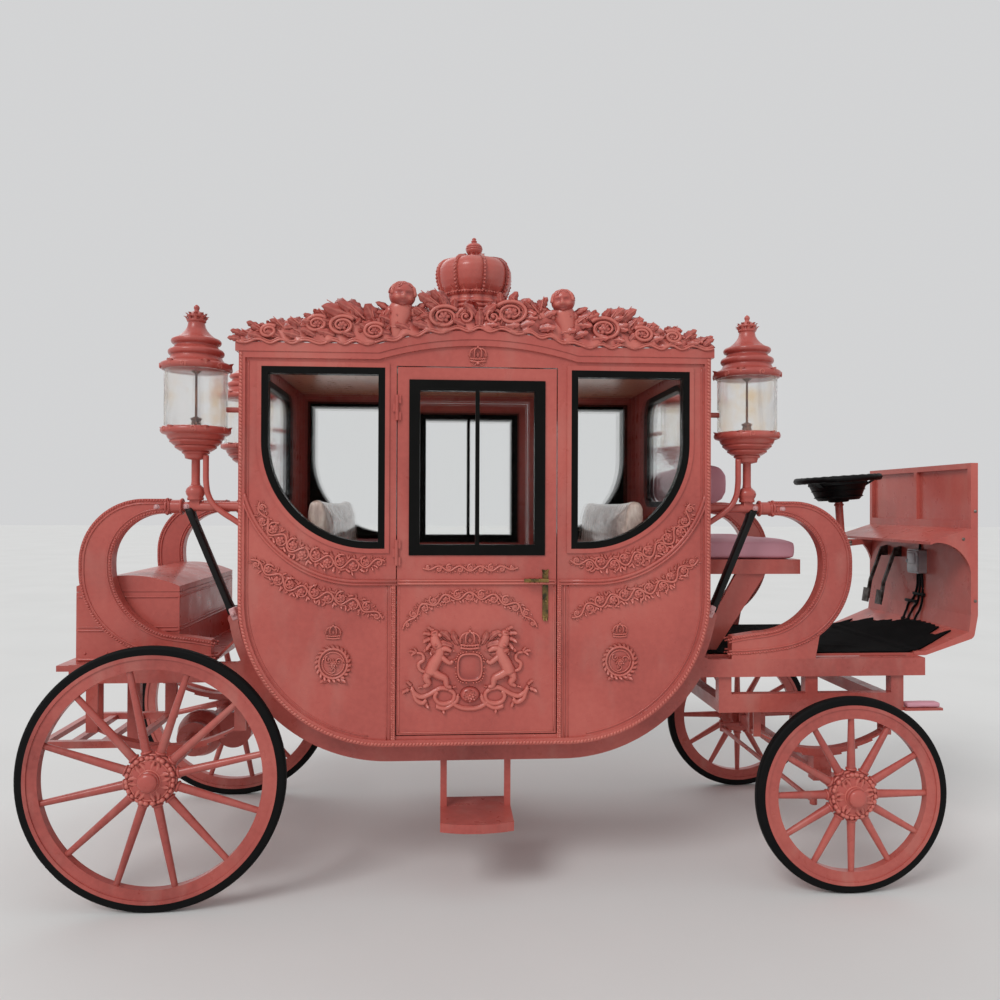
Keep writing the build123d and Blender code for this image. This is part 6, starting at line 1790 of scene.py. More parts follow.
@dataclass
class Cresting:
    """Carved bank of foliage, scrolls and two cherub busts round the roof's edge."""

    rail_y: float = 0.684
    skyline: tuple[Pair, ...] = (
        (-1.245, 2.53), (-1.18, 2.56), (-1.1, 2.58), (-0.99, 2.595), (-0.88, 2.615), (-0.7, 2.625), (-0.533, 2.64),
        (-0.341, 2.655), (-0.185, 2.64), (0.001, 2.662), (0.093, 2.67), (0.2, 2.65), (0.35, 2.625), (0.5, 2.615),
        (0.604, 2.59), (0.722, 2.568), (0.82, 2.545), (0.885, 2.522),
    )
    loops: tuple[tuple[float, float, float], ...] = (
        (-1.12, 2.535, 0.036), (-0.91, 2.572, 0.05), (-0.798, 2.566, 0.058), (-0.655, 2.543, 0.048),
        (-0.345, 2.612, 0.068), (-0.041, 2.636, 0.074), (0.385, 2.57, 0.07), (0.56, 2.548, 0.046),
        (0.7, 2.54, 0.038),
    )
    leaves: tuple[tuple[float, float, float, float, float], ...] = (
        (-0.69, 2.575, -0.872, 2.684, 0.09), (-0.685, 2.585, -0.802, 2.694, 0.066),
        (-0.65, 2.555, -0.672, 2.672, 0.086), (-0.645, 2.56, -0.602, 2.65, 0.066),
        (-0.845, 2.57, -0.972, 2.606, 0.062), (-0.85, 2.585, -0.905, 2.644, 0.052),
        (-0.955, 2.545, -1.03, 2.606, 0.056), (-1.035, 2.53, -1.104, 2.604, 0.048),
        (-1.11, 2.52, -1.192, 2.574, 0.052), (-1.165, 2.505, -1.244, 2.546, 0.046),
        (-0.33, 2.64, -0.452, 2.734, 0.076), (-0.322, 2.65, -0.39, 2.746, 0.06), (-0.4, 2.6, -0.476, 2.664, 0.06),
        (0.092, 2.63, 0.026, 2.708, 0.05), (0.09, 2.64, 0.108, 2.718, 0.044), (0.01, 2.65, -0.04, 2.712, 0.05),
        (0.25, 2.59, 0.352, 2.66, 0.062), (0.285, 2.58, 0.322, 2.65, 0.05), (0.385, 2.58, 0.456, 2.68, 0.074),
        (0.435, 2.585, 0.514, 2.68, 0.064), (0.48, 2.56, 0.552, 2.636, 0.07), (0.55, 2.545, 0.616, 2.61, 0.062),
        (0.65, 2.53, 0.728, 2.594, 0.054), (0.745, 2.52, 0.808, 2.566, 0.046), (0.815, 2.508, 0.872, 2.548, 0.04),
    )
    busts: tuple[tuple[float, float, float], ...] = ((-0.533, 2.708, 0.06), (0.197, 2.694, 0.054))

    def build(self) -> None:
        """Build the two long sides and the two ends."""
        face = shift(0, SKIN_Y - self.rail_y, 0) @ RIGHT_WALL
        side = joined(
            [self.bank(face), self.scrolls(face), self.small_leaves(face), self.lip(), self.figures(face)]
        )
        pieces = [
            as_piece("roof_foliage_right", side, Finish.CARVED),
            as_piece("roof_foliage_left", side.placed(MIRROR_Y), Finish.CARVED),
            as_piece("roof_foliage_ends", self.ends(), Finish.CARVED),
        ]
        for piece in pieces:
            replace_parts(piece, "roof_cresting")

    def top(self, x: float) -> float:
        """Height of the bank's skyline at this X."""
        return float(np.interp(x, *zip(*self.skyline)))

    def foot(self, x: float) -> float:
        """Height of the roof's top at this X."""
        return EAVES_Z + ROOF_LIFT + arch_height(x)

    def wave(self, x: np.ndarray) -> np.ndarray:
        """Height of the wavy lip about the roof's top edge."""
        run = (x - CAB_X) * 2 * math.pi / 0.11
        return 0.0085 * np.cos(run + 0.5 * np.sin(run * 0.37)) + 0.004

    def bank(self, face: Matrix) -> Form:
        """Thick carved bank that the scrolls and the leaves grow from, rippled like overlapping leaves.

        Args:
            face: Matrix of the face that it lies on.

        Returns:
            The bank.
        """
        across = np.linspace(CAB_REAR - 0.008, CAB_FRONT + 0.008, 220)
        up = np.linspace(0, 1, 11)
        low = np.array([self.foot(float(x)) for x in across]) + self.wave(across) - 0.002
        high = np.array([self.top(float(x)) for x in across])
        high += 0.006 * np.sin(across * 71) + 0.005 * np.sin(across * 173 + 1)
        x, t = np.meshgrid(across, up, indexing="ij")
        z = low[:, None] + (high - low)[:, None] * t
        lean = np.sign(x - CAB_X)
        run = (x - CAB_X) / 0.092 - 0.9 * lean * t**1.4
        fold = np.abs(np.sin(math.pi * (run + 0.25 * np.sin(x * 31))))
        front = 0.03 - 0.018 * t**0.8 + 0.011 * fold * (1 - 0.25 * t) + 0.0016 * np.sin(x * 131 + 9 * t)
        edge = np.sqrt(np.clip(1 - t**6, 0, 1))
        front = -0.004 + (front + 0.004) * edge
        back = np.full_like(front, -0.012) * edge - 0.004 * (1 - edge)
        relief = np.clip(0.15 + 0.75 * fold**0.6, 0.05, 1.0)
        whole = np.concatenate([relief.reshape(-1), np.full(relief.size, 0.4)])
        return two_sided(track(x, z, front), track(x, z, back), whole).placed(face)

    def scrolls(self, face: Matrix) -> Form:
        """Eye-shaped scrolls with a flower in each, and the tall leaves of the skyline.

        Args:
            face: Matrix of the face that it lies on.

        Returns:
            Scrolls and leaves.
        """
        work = Carving(face)
        turn = np.linspace(0, 2 * math.pi, 34)
        for x, z, radius in self.loops:
            away = math.copysign(1.0, x - CAB_X)
            share = (z - self.foot(x)) / max(self.top(x) - self.foot(x), 0.01)
            lift = 0.047 - 0.022 * share
            slope = math.degrees(math.atan(self.top(x + 0.05) - self.top(x - 0.05)) * 10) * 0.6
            t = np.linspace(0, 1, 40)
            swing = 2 * math.pi * 1.62 * t + 0.6
            shrink = radius * (1.06 - 0.66 * t)
            eye = track(-away * shrink * np.cos(swing), 0.72 * shrink * np.sin(swing), 0.01 * t)
            work.put(tube(eye, 0.01 * (1 - 0.5 * t), 8, 1.1), x, z, slope, lift=lift)
            rib = track(
                -away * (shrink - 0.011) * np.cos(swing), 0.72 * (shrink - 0.011) * np.sin(swing), 0.01 * t - 0.004
            )
            work.put(tube(rib[:28], 0.005 * (1 - 0.4 * t[:28]), 5), x, z, slope, lift=lift)
            work.put(blossom(radius * 0.3, 6), x, z, 25 * away, lift=lift + 0.004)
            for angle in (-78, -38, 2, 40, 80):
                leaf = acanthus(radius * 1.05, radius * 0.62, away, 0.9, 3, 0.4, 10, 7)
                way = math.radians(90 - angle)
                work.put(
                    leaf, x + 0.66 * radius * math.cos(way), z + 0.44 * radius * math.sin(way), -angle,
                    lift=lift - 0.012,
                )
        for x0, z0, x1, z1, width in self.leaves:
            way = math.degrees(math.atan2(z1 - z0, x1 - x0)) - 90
            length = math.hypot(x1 - x0, z1 - z0) * 1.06
            away = math.copysign(1.0, x1 - x0)
            leaf = acanthus(length, width, 0.55 * away, 0.75, 4, 0.45, 17, 9)
            work.put(leaf, x0, z0, way, lift=0.01)
            work.put(leaf.placed(spin(180, "Y")), x0, z0, way, lift=-0.006)
            vein = track(0.0, np.linspace(0.1, 0.92, 12) * length, 0.006 + 0.01 * np.sin(np.linspace(0, 2.6, 12)))
            work.put(tube(vein, np.linspace(0.0058, 0.002, 12), 6), x0, z0, way, lift=0.014)
        return work.whole()

    def small_leaves(self, face: Matrix) -> Form:
        """Low leaves and buds that overlap on the bank.

        Args:
            face: Matrix of the face that it lies on.

        Returns:
            Leaves and buds.
        """
        work = Carving(face)
        pick = Random(41)
        x = CAB_REAR + 0.015
        count = 0
        while x < CAB_FRONT - 0.02:
            away = math.copysign(1.0, x - CAB_X)
            height = self.top(x) - self.foot(x)
            for share, lift in ((0.24, 0.034), (0.6, 0.024)):
                size = (0.05 + 0.2 * height) * pick.uniform(0.85, 1.15)
                leaf = acanthus(size, size * 0.56, away * pick.uniform(0.5, 1.1), 0.8, 3, 0.35, 9, 7)
                spot = x + pick.uniform(-0.012, 0.012)
                work.put(
                    leaf, spot, self.foot(spot) + share * height, -away * pick.uniform(30, 80),
                    lift=lift - 0.014 * height,
                )
            if count % 3 == 1:
                work.put(boss(0.01, 0.013), x, self.foot(x) + 0.62 * height, lift=0.022)
            x += 0.083
            count += 1
        return work.whole()

    def lip(self) -> Form:
        """Wavy carved lip along the cornice.

        Returns:
            The lip, on the wall.
        """
        line = np.linspace(CAB_REAR - 0.01, CAB_FRONT + 0.01, 210)
        level = np.array([self.foot(float(x)) for x in line]) + self.wave(line)
        forms = []
        for drop, radius, proud in ((0.0, 0.0062, 0.0185), (-0.01, 0.0045, 0.0165)):
            path = track(line, level - drop, proud)
            forms.append(tube(path, radius, 6, 0.9).placed(RIGHT_WALL))
        return joined(forms)

    def figures(self, face: Matrix) -> Form:
        """Cherub busts on tapering shields, with a small wing at each shoulder.

        Args:
            face: Matrix of the face that it lies on.

        Returns:
            The busts and the middle ornament.
        """
        work = Carving(face)
        for x, z, radius in self.busts:
            away = math.copysign(1.0, x - CAB_X)
            work.forms.append(cherub(radius, -12.0 * away).placed(face @ placing(x, z, 5 * away, lift=0.014)))
            low = self.foot(x) - 0.002
            t = np.linspace(0, 1, 15)
            rise = low + (z - 0.52 * radius - low) * t
            path = track(-0.03 * (1 - t) * -away, rise, 0.022 - 0.01 * t)
            wide = radius * (
                0.24 + 0.72 * np.sin(t * math.pi * 0.5) ** 0.85 - 0.22 * np.clip((t - 0.84) / 0.16, 0, 1)
            )
            work.put(tube(path, wide, 14, 0.62), x, 0.0)
            for share in (0.36, 0.82):
                i = int(share * 14)
                bow = np.cos(np.linspace(-1.4, 1.4, 9))
                band = track(
                    np.linspace(-1, 1, 9) * wide[i] + path[i][0], rise[i] - 0.01 * bow, 0.018 + 0.022 * bow
                )
                work.put(tube(band, 0.0048, 6), x, 0.0)
            for side in (-1, 1):
                work.put(
                    boss(radius * 0.46, radius * 0.4, 12, 4), x + side * radius * 0.86, z - radius * 1.18,
                    lift=0.006,
                )
                for step in range(3):
                    wing = acanthus(0.078 - 0.012 * step, 0.034, side * 0.5, 0.6, 3, 0.3, 10, 5)
                    work.put(
                        wing, x + side * radius * 0.9, z - radius * (1.1 + 0.32 * step), -side * (52 + 20 * step),
                        lift=0.006,
                    )
        base = self.foot(CAB_X)
        for side in (-1, 1):
            work.put(
                volute(0.04, 0.018, 1.5, 1.0, 1.1), CAB_X + side * 0.062, base + 0.062, side * 10, lift=0.03,
                flip=side < 0,
            )
            work.put(
                acanthus(0.095, 0.05, side * 0.9, 1.1, 3), CAB_X + side * 0.016, base + 0.06, -side * 30,
                lift=0.026,
            )
        work.put(acanthus(0.08, 0.05, 0.0, 0.8, 3), CAB_X, base + 0.016, 0.0, lift=0.034)
        return work.whole()

    def ends(self) -> Form:
        """Foliage across the front and the rear of the roof.

        Returns:
            Both ends.
        """
        forms = []
        pick = Random(17)
        base = EAVES_Z + ROOF_LIFT
        for x, outward in ((CAB_REAR + 0.018, -1.0), (CAB_FRONT - 0.018, 1.0)):
            face = Matrix(((0, 0, outward, x), (outward, 0, 0, 0), (0, 1, 0, 0), (0, 0, 0, 1)))
            work = Carving(face)
            for i in range(-12, 13):
                y = i * 0.053
                rise = 0.055 + 0.075 * math.exp(-((abs(y) / 0.22) ** 2)) + 0.03 * math.exp(
                    -(((abs(y) - 0.42) / 0.1) ** 2)
                )
                side = math.copysign(1.0, y)
                turn = -side * min(abs(y) * 100, 48) + pick.uniform(-12, 12)
                work.put(
                    acanthus(rise * 1.2, 0.05 + rise * 0.25, side * pick.uniform(0.4, 1.0), 0.8, 4, 0.4, 13, 7), y,
                    base - 0.004, turn, lift=-0.004,
                )
                work.put(
                    acanthus(0.07, 0.04, side * 0.9, 0.9, 3, 0.3, 9, 5), y, base + 0.012, -side * 70, lift=0.014
                )
            path = track(
                np.linspace(-0.66, 0.66, 110), base + 0.01 + 0.0075 * np.cos(np.linspace(-44, 44, 110)), 0.02
            )
            work.put(tube(path, 0.0065, 6), 0.0, 0.0)
            for y, z, radius in (
                (0.0, 0.06, 0.06), (0.2, 0.045, 0.045), (-0.2, 0.045, 0.045), (0.42, 0.04, 0.042),
                (-0.42, 0.04, 0.042),
            ):
                turn = np.linspace(0, 2 * math.pi, 28)
                eye = track(radius * np.cos(turn), 0.66 * radius * np.sin(turn), 0.0)
                work.put(tube(eye, 0.006, 6), y, base + z, lift=0.024)
                work.put(blossom(radius * 0.5, 7), y, base + z, lift=0.02)
            slab_line = track(np.linspace(-0.655, 0.655, 40), np.full(40, base + 0.022), 0.002)
            work.put(tube(slab_line, 0.022, 8, 0.8), 0.0, 0.0)
            forms.append(work.whole())
        return joined(forms)


def cherub(radius: float, turn: float) -> Form:
    """Head of a carved cherub with curls: rounded brow, cheeks, nose, lips and chin, looking along +Z.

    Args:
        radius: Radius of the head.
        turn: Turn of its look, in degrees.

    Returns:
        The head, its middle at the origin.
    """
    rows, cols = 40, 52
    lat = np.linspace(-0.5 * np.pi, 0.5 * np.pi, rows + 2)[1:-1]
    lon = np.linspace(0, 2 * np.pi, cols, endpoint=False)
    la, lo = np.meshgrid(lat, lon, indexing="ij")
    x, y, z = np.cos(la) * np.sin(lo), np.sin(la) * 1.1, np.cos(la) * np.cos(lo)
    swell = np.ones_like(x)
    marks = [
        (0.0, -0.09, 0.085, 0.17, 0.24), (0.0, -0.24, 0.13, 0.06, 0.1), (0.0, 0.52, 0.5, 0.22, 0.05),
        (0.0, -0.42, 0.19, 0.05, 0.11),
    ]
    marks += [
        (0.0, -0.465, 0.2, 0.022, -0.13), (0.0, -0.53, 0.15, 0.05, 0.1), (0.0, -0.63, 0.2, 0.035, -0.05),
        (0.0, -0.78, 0.22, 0.13, 0.1),
    ]
    for side in (-1, 1):
        marks += [
            (side * 0.46, -0.28, 0.25, 0.22, 0.13), (side * 0.33, 0.07, 0.19, 0.12, -0.17),
            (side * 0.33, 0.06, 0.105, 0.07, 0.12),
        ]
        marks += [(side * 0.33, 0.27, 0.23, 0.055, 0.09), (side * 0.13, -0.26, 0.05, 0.05, 0.08)]
    for cx, cy, wide, high, rise in marks:
        swell += rise * np.exp(-(((x - cx) / wide) ** 2) - ((y - cy) / high) ** 2) * (z > 0)
    swell *= 1 - 0.14 * np.clip(-y - 0.2, 0, 1)
    points = track(x * swell, y * swell, z * swell * 0.95).reshape(-1, 3) * radius
    whole = np.concatenate([points, [[0, -1.05 * radius, 0], [0, 1.08 * radius, 0]]])
    faces = grid_faces(rows, cols, 0, True)
    low, high = rows * cols, rows * cols + 1
    faces += [(low, (j + 1) % cols, j) for j in range(cols)]
    faces += [(high, (rows - 1) * cols + j, (rows - 1) * cols + (j + 1) % cols) for j in range(cols)]
    # High relief on swollen features and low relief in the eye sockets and mouth, which the carved paint turns into
    # painted highlight and painted shade.
    relief = np.clip(0.58 + 3.6 * (swell.reshape(-1) - 1.0), 0.0, 1.0)
    head = Form(whole, faces, np.concatenate([relief, [0.5, 0.6]])).outward()
    curls = []
    pick = Random(3)
    for i in range(46):
        a = 2.4 * i
        up = 0.15 + 0.85 * i / 46
        ring = math.sqrt(max(1 - (up * 0.95) ** 2, 0.02))
        cx, cz = ring * math.sin(a), ring * math.cos(a) * 0.9
        if cz > 0.25 and up < 0.62:
            continue
        curl = volute(0.2 * radius, 0.12 * radius, 1.1, 0.4, 1.0)
        out = Vector((cx, up, cz)).normalized()
        turned_out = out.to_track_quat("Z", "Y").to_matrix().to_4x4()
        place = Matrix.Translation(out * radius * 1.02) @ turned_out @ Matrix.Rotation(
            pick.uniform(0, 6.28), 4, "Z"
        )
        curls.append(curl.placed(place))
    for lift, thick in ((0.98, 0.135), (1.06, 0.085)):
        arc = np.linspace(-0.42 * math.pi, 0.42 * math.pi, 26)
        hair = track(
            0.86 * np.sin(arc * 1.32), 0.96 * np.cos(arc * 1.2) - 0.06, 0.42 - 0.1 * np.cos(3 * arc)
        ) * radius * lift
        curls.append(tube(hair, thick * radius * (1 + 0.22 * np.cos(arc * 16)), 8))
    return joined([head, *curls]).placed(spin(turn, "Y"))


def roll(radius: float, z: float, bulge: float, count: int = 7) -> list[Pair]:
    """Half-round roll of a turned profile, from its lower to its upper side."""
    return [(radius + bulge * math.cos(a), z + bulge * math.sin(a)) for a in np.linspace(-1.4, 1.4, count)]


@dataclass
class Crown:
    """Crown on the roof: draped band, swelling cap between pearled arches, orb and tip."""

    arches: int = 8
    first_arch: float = 14.0
    seat: float = 2.545
    band: Pair = (2.752, 2.884)
    cap: tuple[Pair, ...] = (
        (0.159, 2.878), (0.177, 2.902), (0.19, 2.94), (0.195, 2.978), (0.193, 3.008), (0.182, 3.036), (0.16, 3.057),
        (0.128, 3.069), (0.088, 3.077), (0.045, 3.081),
    )

    def build(self) -> None:
        """Build the crown's pieces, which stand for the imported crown."""
        middle = shift(CAB_X, 0, 0) @ spin(self.first_arch)
        pieces = (
            ("crown_cap", self.lobed_cap(), Finish.PINK),
            ("crown_band", joined([self.pedestal(), self.drape()]), Finish.CARVED),
            ("crown_carving", joined([self.leaves(), self.arch_rows(), self.orb()]), Finish.CARVED),
        )
        for name, form, finish in pieces:
            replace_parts(as_piece(name, form.placed(middle), finish), "crown")

    def cap_radius(self, z: float) -> float:
        """Radius of the cap at this height."""
        return float(np.interp(z, [p[1] for p in self.cap], [p[0] for p in self.cap]))

    def lobed_cap(self) -> Form:
        """Cap that swells between the arches.

        Returns:
            The cap.
        """
        heights = np.linspace(self.cap[0][1], self.cap[-1][1], 26)
        profile = [(0.0, 2.876), *[(self.cap_radius(float(z)) * 0.985, float(z)) for z in heights], (0.0, 3.083)]
        return turned(profile, 96, self.arches, 0.045)

    def pedestal(self) -> Form:
        """Stepped foot on the roof.

        Returns:
            The foot.
        """
        profile = [(0, self.seat), (0.186, self.seat), (0.186, 2.566), *roll(0.174, 2.578, 0.012), (0.158, 2.598)]
        profile += [(0.142, 2.64), (0.136, 2.69), (0.146, 2.728), (0.158, 2.742), (0, 2.742)]
        return turned(profile, 64)

    def drape(self) -> Form:
        """Band of twisted folds that flares towards its foot.

        Returns:
            The band.
        """
        low, high = self.band
        profile = [(0, low - 0.012), (0.172, low - 0.012), *roll(0.176, low, 0.013)]
        for z, radius in ((low + 0.026, 0.172), (low + 0.05, 0.168), (low + 0.074, 0.164)):
            profile += [(radius - 0.006, z - 0.011), *roll(radius - 0.004, z, 0.0095, 5)]
        profile += [
            (0.156, high - 0.026), *roll(0.156, high - 0.01, 0.013), (0.15, high + 0.004), (0, high + 0.004)
        ]
        return turned(profile, 96, 16, 0.022)

    def leaves(self) -> Form:
        """Leaves that stand on the band, hang from it and spring from the foot.

        Returns:
            All the leaves.
        """
        forms = []
        tall = acanthus(0.07, 0.054, 0.0, 0.8, 3)
        small = acanthus(0.042, 0.034, 0.0, 0.7, 2, 0.3, 8, 5)
        foot = acanthus(0.165, 0.095, 0.0, 1.2, 4, 0.45, 15, 9)
        wreath = acanthus(0.125, 0.078, 0.5, 1.1, 4, 0.4, 13, 7)
        low = acanthus(0.09, 0.062, 0.0, 1.0, 3, 0.3, 11, 7)
        high = self.band[1]
        rows = (
            (tall, 8, 0.0, 0.16, high - 0.006, 12), (small, 16, 11.25, 0.164, high - 0.008, 16),
            (foot, 10, 12.0, 0.15, 2.59, 24), (low, 12, 0.0, 0.168, 2.57, 38), (low, 10, 30.0, 0.16, 2.64, 30),
            (wreath, 9, 8.0, 0.158, 2.742, 34), (wreath, 9, 28.0, 0.15, 2.7, 40),
        )
        for leaf, count, start, radius, z, tip in rows:
            forms += [leaf.placed(around(360.0 * i / count + start, radius, z, tip)) for i in range(count)]
        return joined(forms)

    def arch_rows(self) -> Form:
        """Arches with a row of pearls on each, and pearls round the band.

        Returns:
            Arches and pearls.
        """
        forms, trails = [], []
        for i in range(self.arches):
            a = 2 * math.pi * i / self.arches
            heights = np.linspace(self.cap[0][1] + 0.004, self.cap[-1][1] - 0.002, 30)
            radii = [self.cap_radius(float(z)) + 0.004 for z in heights]
            line = np.array([(r * math.cos(a), r * math.sin(a), float(z)) for r, z in zip(radii, heights)])
            forms.append(tube(line, 0.0105, 8, 0.7, (-math.sin(a), math.cos(a), 0)))
            lifted = [
                ((r + 0.005) * math.cos(a), (r + 0.005) * math.sin(a), float(z)) for r, z in zip(radii, heights)
            ]
            trails.append(
                Trail(lifted, [(math.cos(a), math.sin(a), 0.3)] * 30, list(1.15 - 0.35 * np.linspace(0, 1, 30)))
            )
        turn = np.linspace(0, 2 * math.pi, 72, endpoint=False)
        rings = [
            Trail(
                [
                    (r * math.cos(a), r * math.sin(a), z) for a in turn
                ], [(math.cos(a), math.sin(a), 0.0) for a in turn], [], True
            ) for r, z in ((0.169, self.band[1] - 0.01), (0.187, self.band[0] - 0.004))
        ]
        pearl = boss(0.0075, 0.009, 7, 2)
        forms.append(REPEATER.run("arch_pearl", trails, pearl, Finish.CARVED, 0.018, 0.0, 0.0, 0.12))
        forms.append(REPEATER.run("band_pearl", rings, pearl, Finish.CARVED, 0.017, 0.0, 0.0, 0.15))
        return joined(forms)

    def orb(self) -> Form:
        """Flattened orb on a collar, a band round it, and its small budded tip.

        Returns:
            The orb.
        """
        profile = [
            (0, 3.074), (0.052, 3.076), (0.048, 3.084), *roll(0.036, 3.093, 0.01, 5), (0.028, 3.103),
            (0.036, 3.112), (0.0425, 3.124),
        ]
        profile += [
            (0.0445, 3.13), *roll(0.04, 3.137, 0.006, 5), (0.044, 3.143), (0.041, 3.152), (0.032, 3.162),
            (0.018, 3.168),
        ]
        profile += [
            (0.011, 3.171), *roll(0.01, 3.177, 0.006, 5), (0.008, 3.184), (0.0115, 3.188), (0.0105, 3.193),
            (0.004, 3.197), (0, 3.1975),
        ]
        return joined([turned(profile, 40), leaf_ring(10, 0.036, 3.094, 0.03, 0.024, 40)])


def around(angle: float, radius: float, z: float, tip: float) -> Matrix:
    """Matrix that stands a form on a ring about Z, facing outwards.

    Args:
        angle: Place round the ring in degrees.
        radius: The ring's radius.
        z: Its height.
        tip: Tilt of the form's top outwards, in degrees.

    Returns:
        The matrix.
    """
    a = math.radians(angle)
    upright = Matrix(
        (
            (-math.sin(a), 0, math.cos(a), radius * math.cos(a)),
            (math.cos(a), 0, math.sin(a), radius * math.sin(a)), (0, 1, 0, z), (0, 0, 0, 1),
        )
    )
    return upright @ spin(tip, "X")


def leaf_ring(count: int, radius: float, z: float, length: float, width: float, tip: float) -> Form:
    """Ring of leaves that stand up from a circle, or hang from it.

    Args:
        count: Leaves in the ring.
        radius: The circle's radius.
        z: Its height.
        length: Length of a leaf.
        width: Width of a leaf.
        tip: Tilt of the leaves outwards, in degrees.

    Returns:
        The ring.
    """
    leaf = acanthus(length, width, 0.0, 0.9, 2, 0.3, 8, 5)
    return joined([leaf.placed(around(360.0 * i / count, radius, z, tip)) for i in range(count)])


@dataclass
class Lamps:
    """The four lamps: turned hood and cup, stems, core and leaf ornaments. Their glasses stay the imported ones."""

    x: float = -1.485
    y: float = -0.536
    stem_y: float = -0.573
    glass: Pair = (2.12, 2.38)
    pad: float = 1.786

    def build(self) -> None:
        """Build one lamp and set it at all four places."""
        middle = shift(self.x, self.y, 0)
        metal = joined([joined([self.hood(), self.cup(), self.knot()]).placed(middle), self.side_stem()])
        leaves = self.ornaments().placed(middle)
        core = self.core().placed(middle)
        for name, place in CORNERS:
            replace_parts(as_piece(f"lamp_metal_{name}", metal.placed(place), Finish.PINK), "lamp_metalwork")
            as_piece(f"lamp_leaves_{name}", leaves.placed(place), Finish.CARVED)
            as_piece(f"lamp_core_{name}", core.placed(place), Finish.CANDLE)

    def hood(self) -> Form:
        """Three rolls, one on another, a drawn-in neck and the bulb under the tip.

        Returns:
            The hood.
        """
        top = self.glass[1]
        profile = [
            (0, top), (0.147, top), *roll(0.143, top + 0.0175, 0.017), (0.13, 2.418), (0.118, 2.432),
            (0.113, 2.444),
        ]
        profile += [
            *roll(0.109, 2.463, 0.0158), (0.104, 2.482), (0.097, 2.49), (0.094, 2.499), *roll(0.0985, 2.514, 0.013)
        ]
        profile += [(0.092, 2.529), (0.076, 2.54), (0.062, 2.552), (0.05, 2.566), (0.041, 2.582), (0.0375, 2.6)]
        profile += [
            *roll(0.036, 2.611, 0.007, 5), (0.037, 2.621), *roll(0.036, 2.632, 0.0085, 5), (0.034, 2.644),
            (0.023, 2.652),
        ]
        profile += [(0.012, 2.657), (0.01, 2.663), (0.0135, 2.67), (0.0125, 2.678), (0.006, 2.685), (0, 2.689)]
        return turned(profile, 40)

    def cup(self) -> Form:
        """Rolled rim under the glass, four steps down, and the stem.

        Returns:
            The cup and stem.
        """
        profile = [
            (0, 1.85), (0.0235, 1.85), (0.0205, 1.858), (0.019, 1.872), (0.019, 1.97), (0.04, 1.974),
            (0.048, 1.977),
        ]
        profile += [(0.0485, 1.984), (0.052, 1.994), *roll(0.056, 2.004, 0.0065, 5), (0.07, 2.01), (0.082, 2.018)]
        profile += [*roll(0.0865, 2.029, 0.007, 5), (0.098, 2.036), (0.106, 2.044), *roll(0.1095, 2.054, 0.0065, 5)]
        profile += [
            (0.118, 2.061), (0.126, 2.072), (0.128, 2.082), *roll(0.139, 2.103, 0.0172), (0.134, 2.1205),
            (0, 2.1205),
        ]
        return turned(profile, 40)

    def knot(self) -> Form:
        """Lumpy knob that the stem stands on.

        Returns:
            The knob.
        """
        profile = [
            (0, self.pad - 0.002), (0.034, self.pad - 0.002), (0.036, 1.793), (0.033, 1.8), (0.04, 1.812),
            (0.0425, 1.824),
        ]
        profile += [(0.038, 1.838), (0.028, 1.848), (0.024, 1.853), (0, 1.853)]
        return turned(profile, 28, 5, 0.05)

    def side_stem(self) -> Form:
        """Bent side stem from the cup to the cab, and the bar beside the glass.

        Returns:
            Stem and bar.
        """
        wall = CAB_REAR + 0.002
        bend = [
            (self.x + 0.056, 1.99), (self.x + 0.056, 1.93), (self.x + 0.057, 1.87), (self.x + 0.066, 1.812),
            (self.x + 0.092, 1.764),
        ]
        bend += [(self.x + 0.13, 1.73), (self.x + 0.185, 1.694), (wall, 1.66)]
        path = np.array([(x, self.stem_y, z) for x, z in smooth_line(bend, 40)])
        bar = np.array([(x, self.y, 2.203) for x in np.linspace(self.x + 0.137, wall, 8)])
        return joined([tube(path, 0.0135, 14, 1.0, (0, 1, 0)), tube(bar, 0.0125, 14, 0.8, (0, 1, 0))])

    def ornaments(self) -> Form:
        """Small folded leaves on the rolls, the crownlet's leaves, and chips of scroll on the rim.

        Returns:
            All the ornaments.
        """
        forms = [leaf_ring(9, 0.039, 2.61, 0.028, 0.026, 16), leaf_ring(9, 0.037, 2.634, 0.018, 0.02, 24)]
        forms.append(leaf_ring(6, 0.155, 2.39, 0.03, 0.046, 4))
        forms.append(leaf_ring(6, 0.152, 2.098, 0.026, 0.044, 4))
        curl = volute(0.013, 0.009, 1.2, 1.0, 1.0)
        for i in range(6):
            forms.append(curl.placed(around(60.0 * i + 24, 0.157, 2.392, 0)))
            forms.append(curl.placed(around(60.0 * i + 40, 0.153, 2.104, 0)))
        return joined(forms)

    def core(self) -> Form:
        """Burner on the cup and the thin rod up to the hood, inside the glass.

        Returns:
            The burner and rod.
        """
        low, high = self.glass
        profile = (
            (0, low - 0.001), (0.058, low - 0.001), (0.058, low + 0.005), (0.024, low + 0.01), (0.019, low + 0.03)
        )
        profile += (
            (0.025, low + 0.036), (0.025, low + 0.042), (0.006, low + 0.05), (0.005, high - 0.014),
            (0.016, high - 0.006),
        )
        return turned((*profile, (0.024, high + 0.001), (0, high + 0.001)), 24)


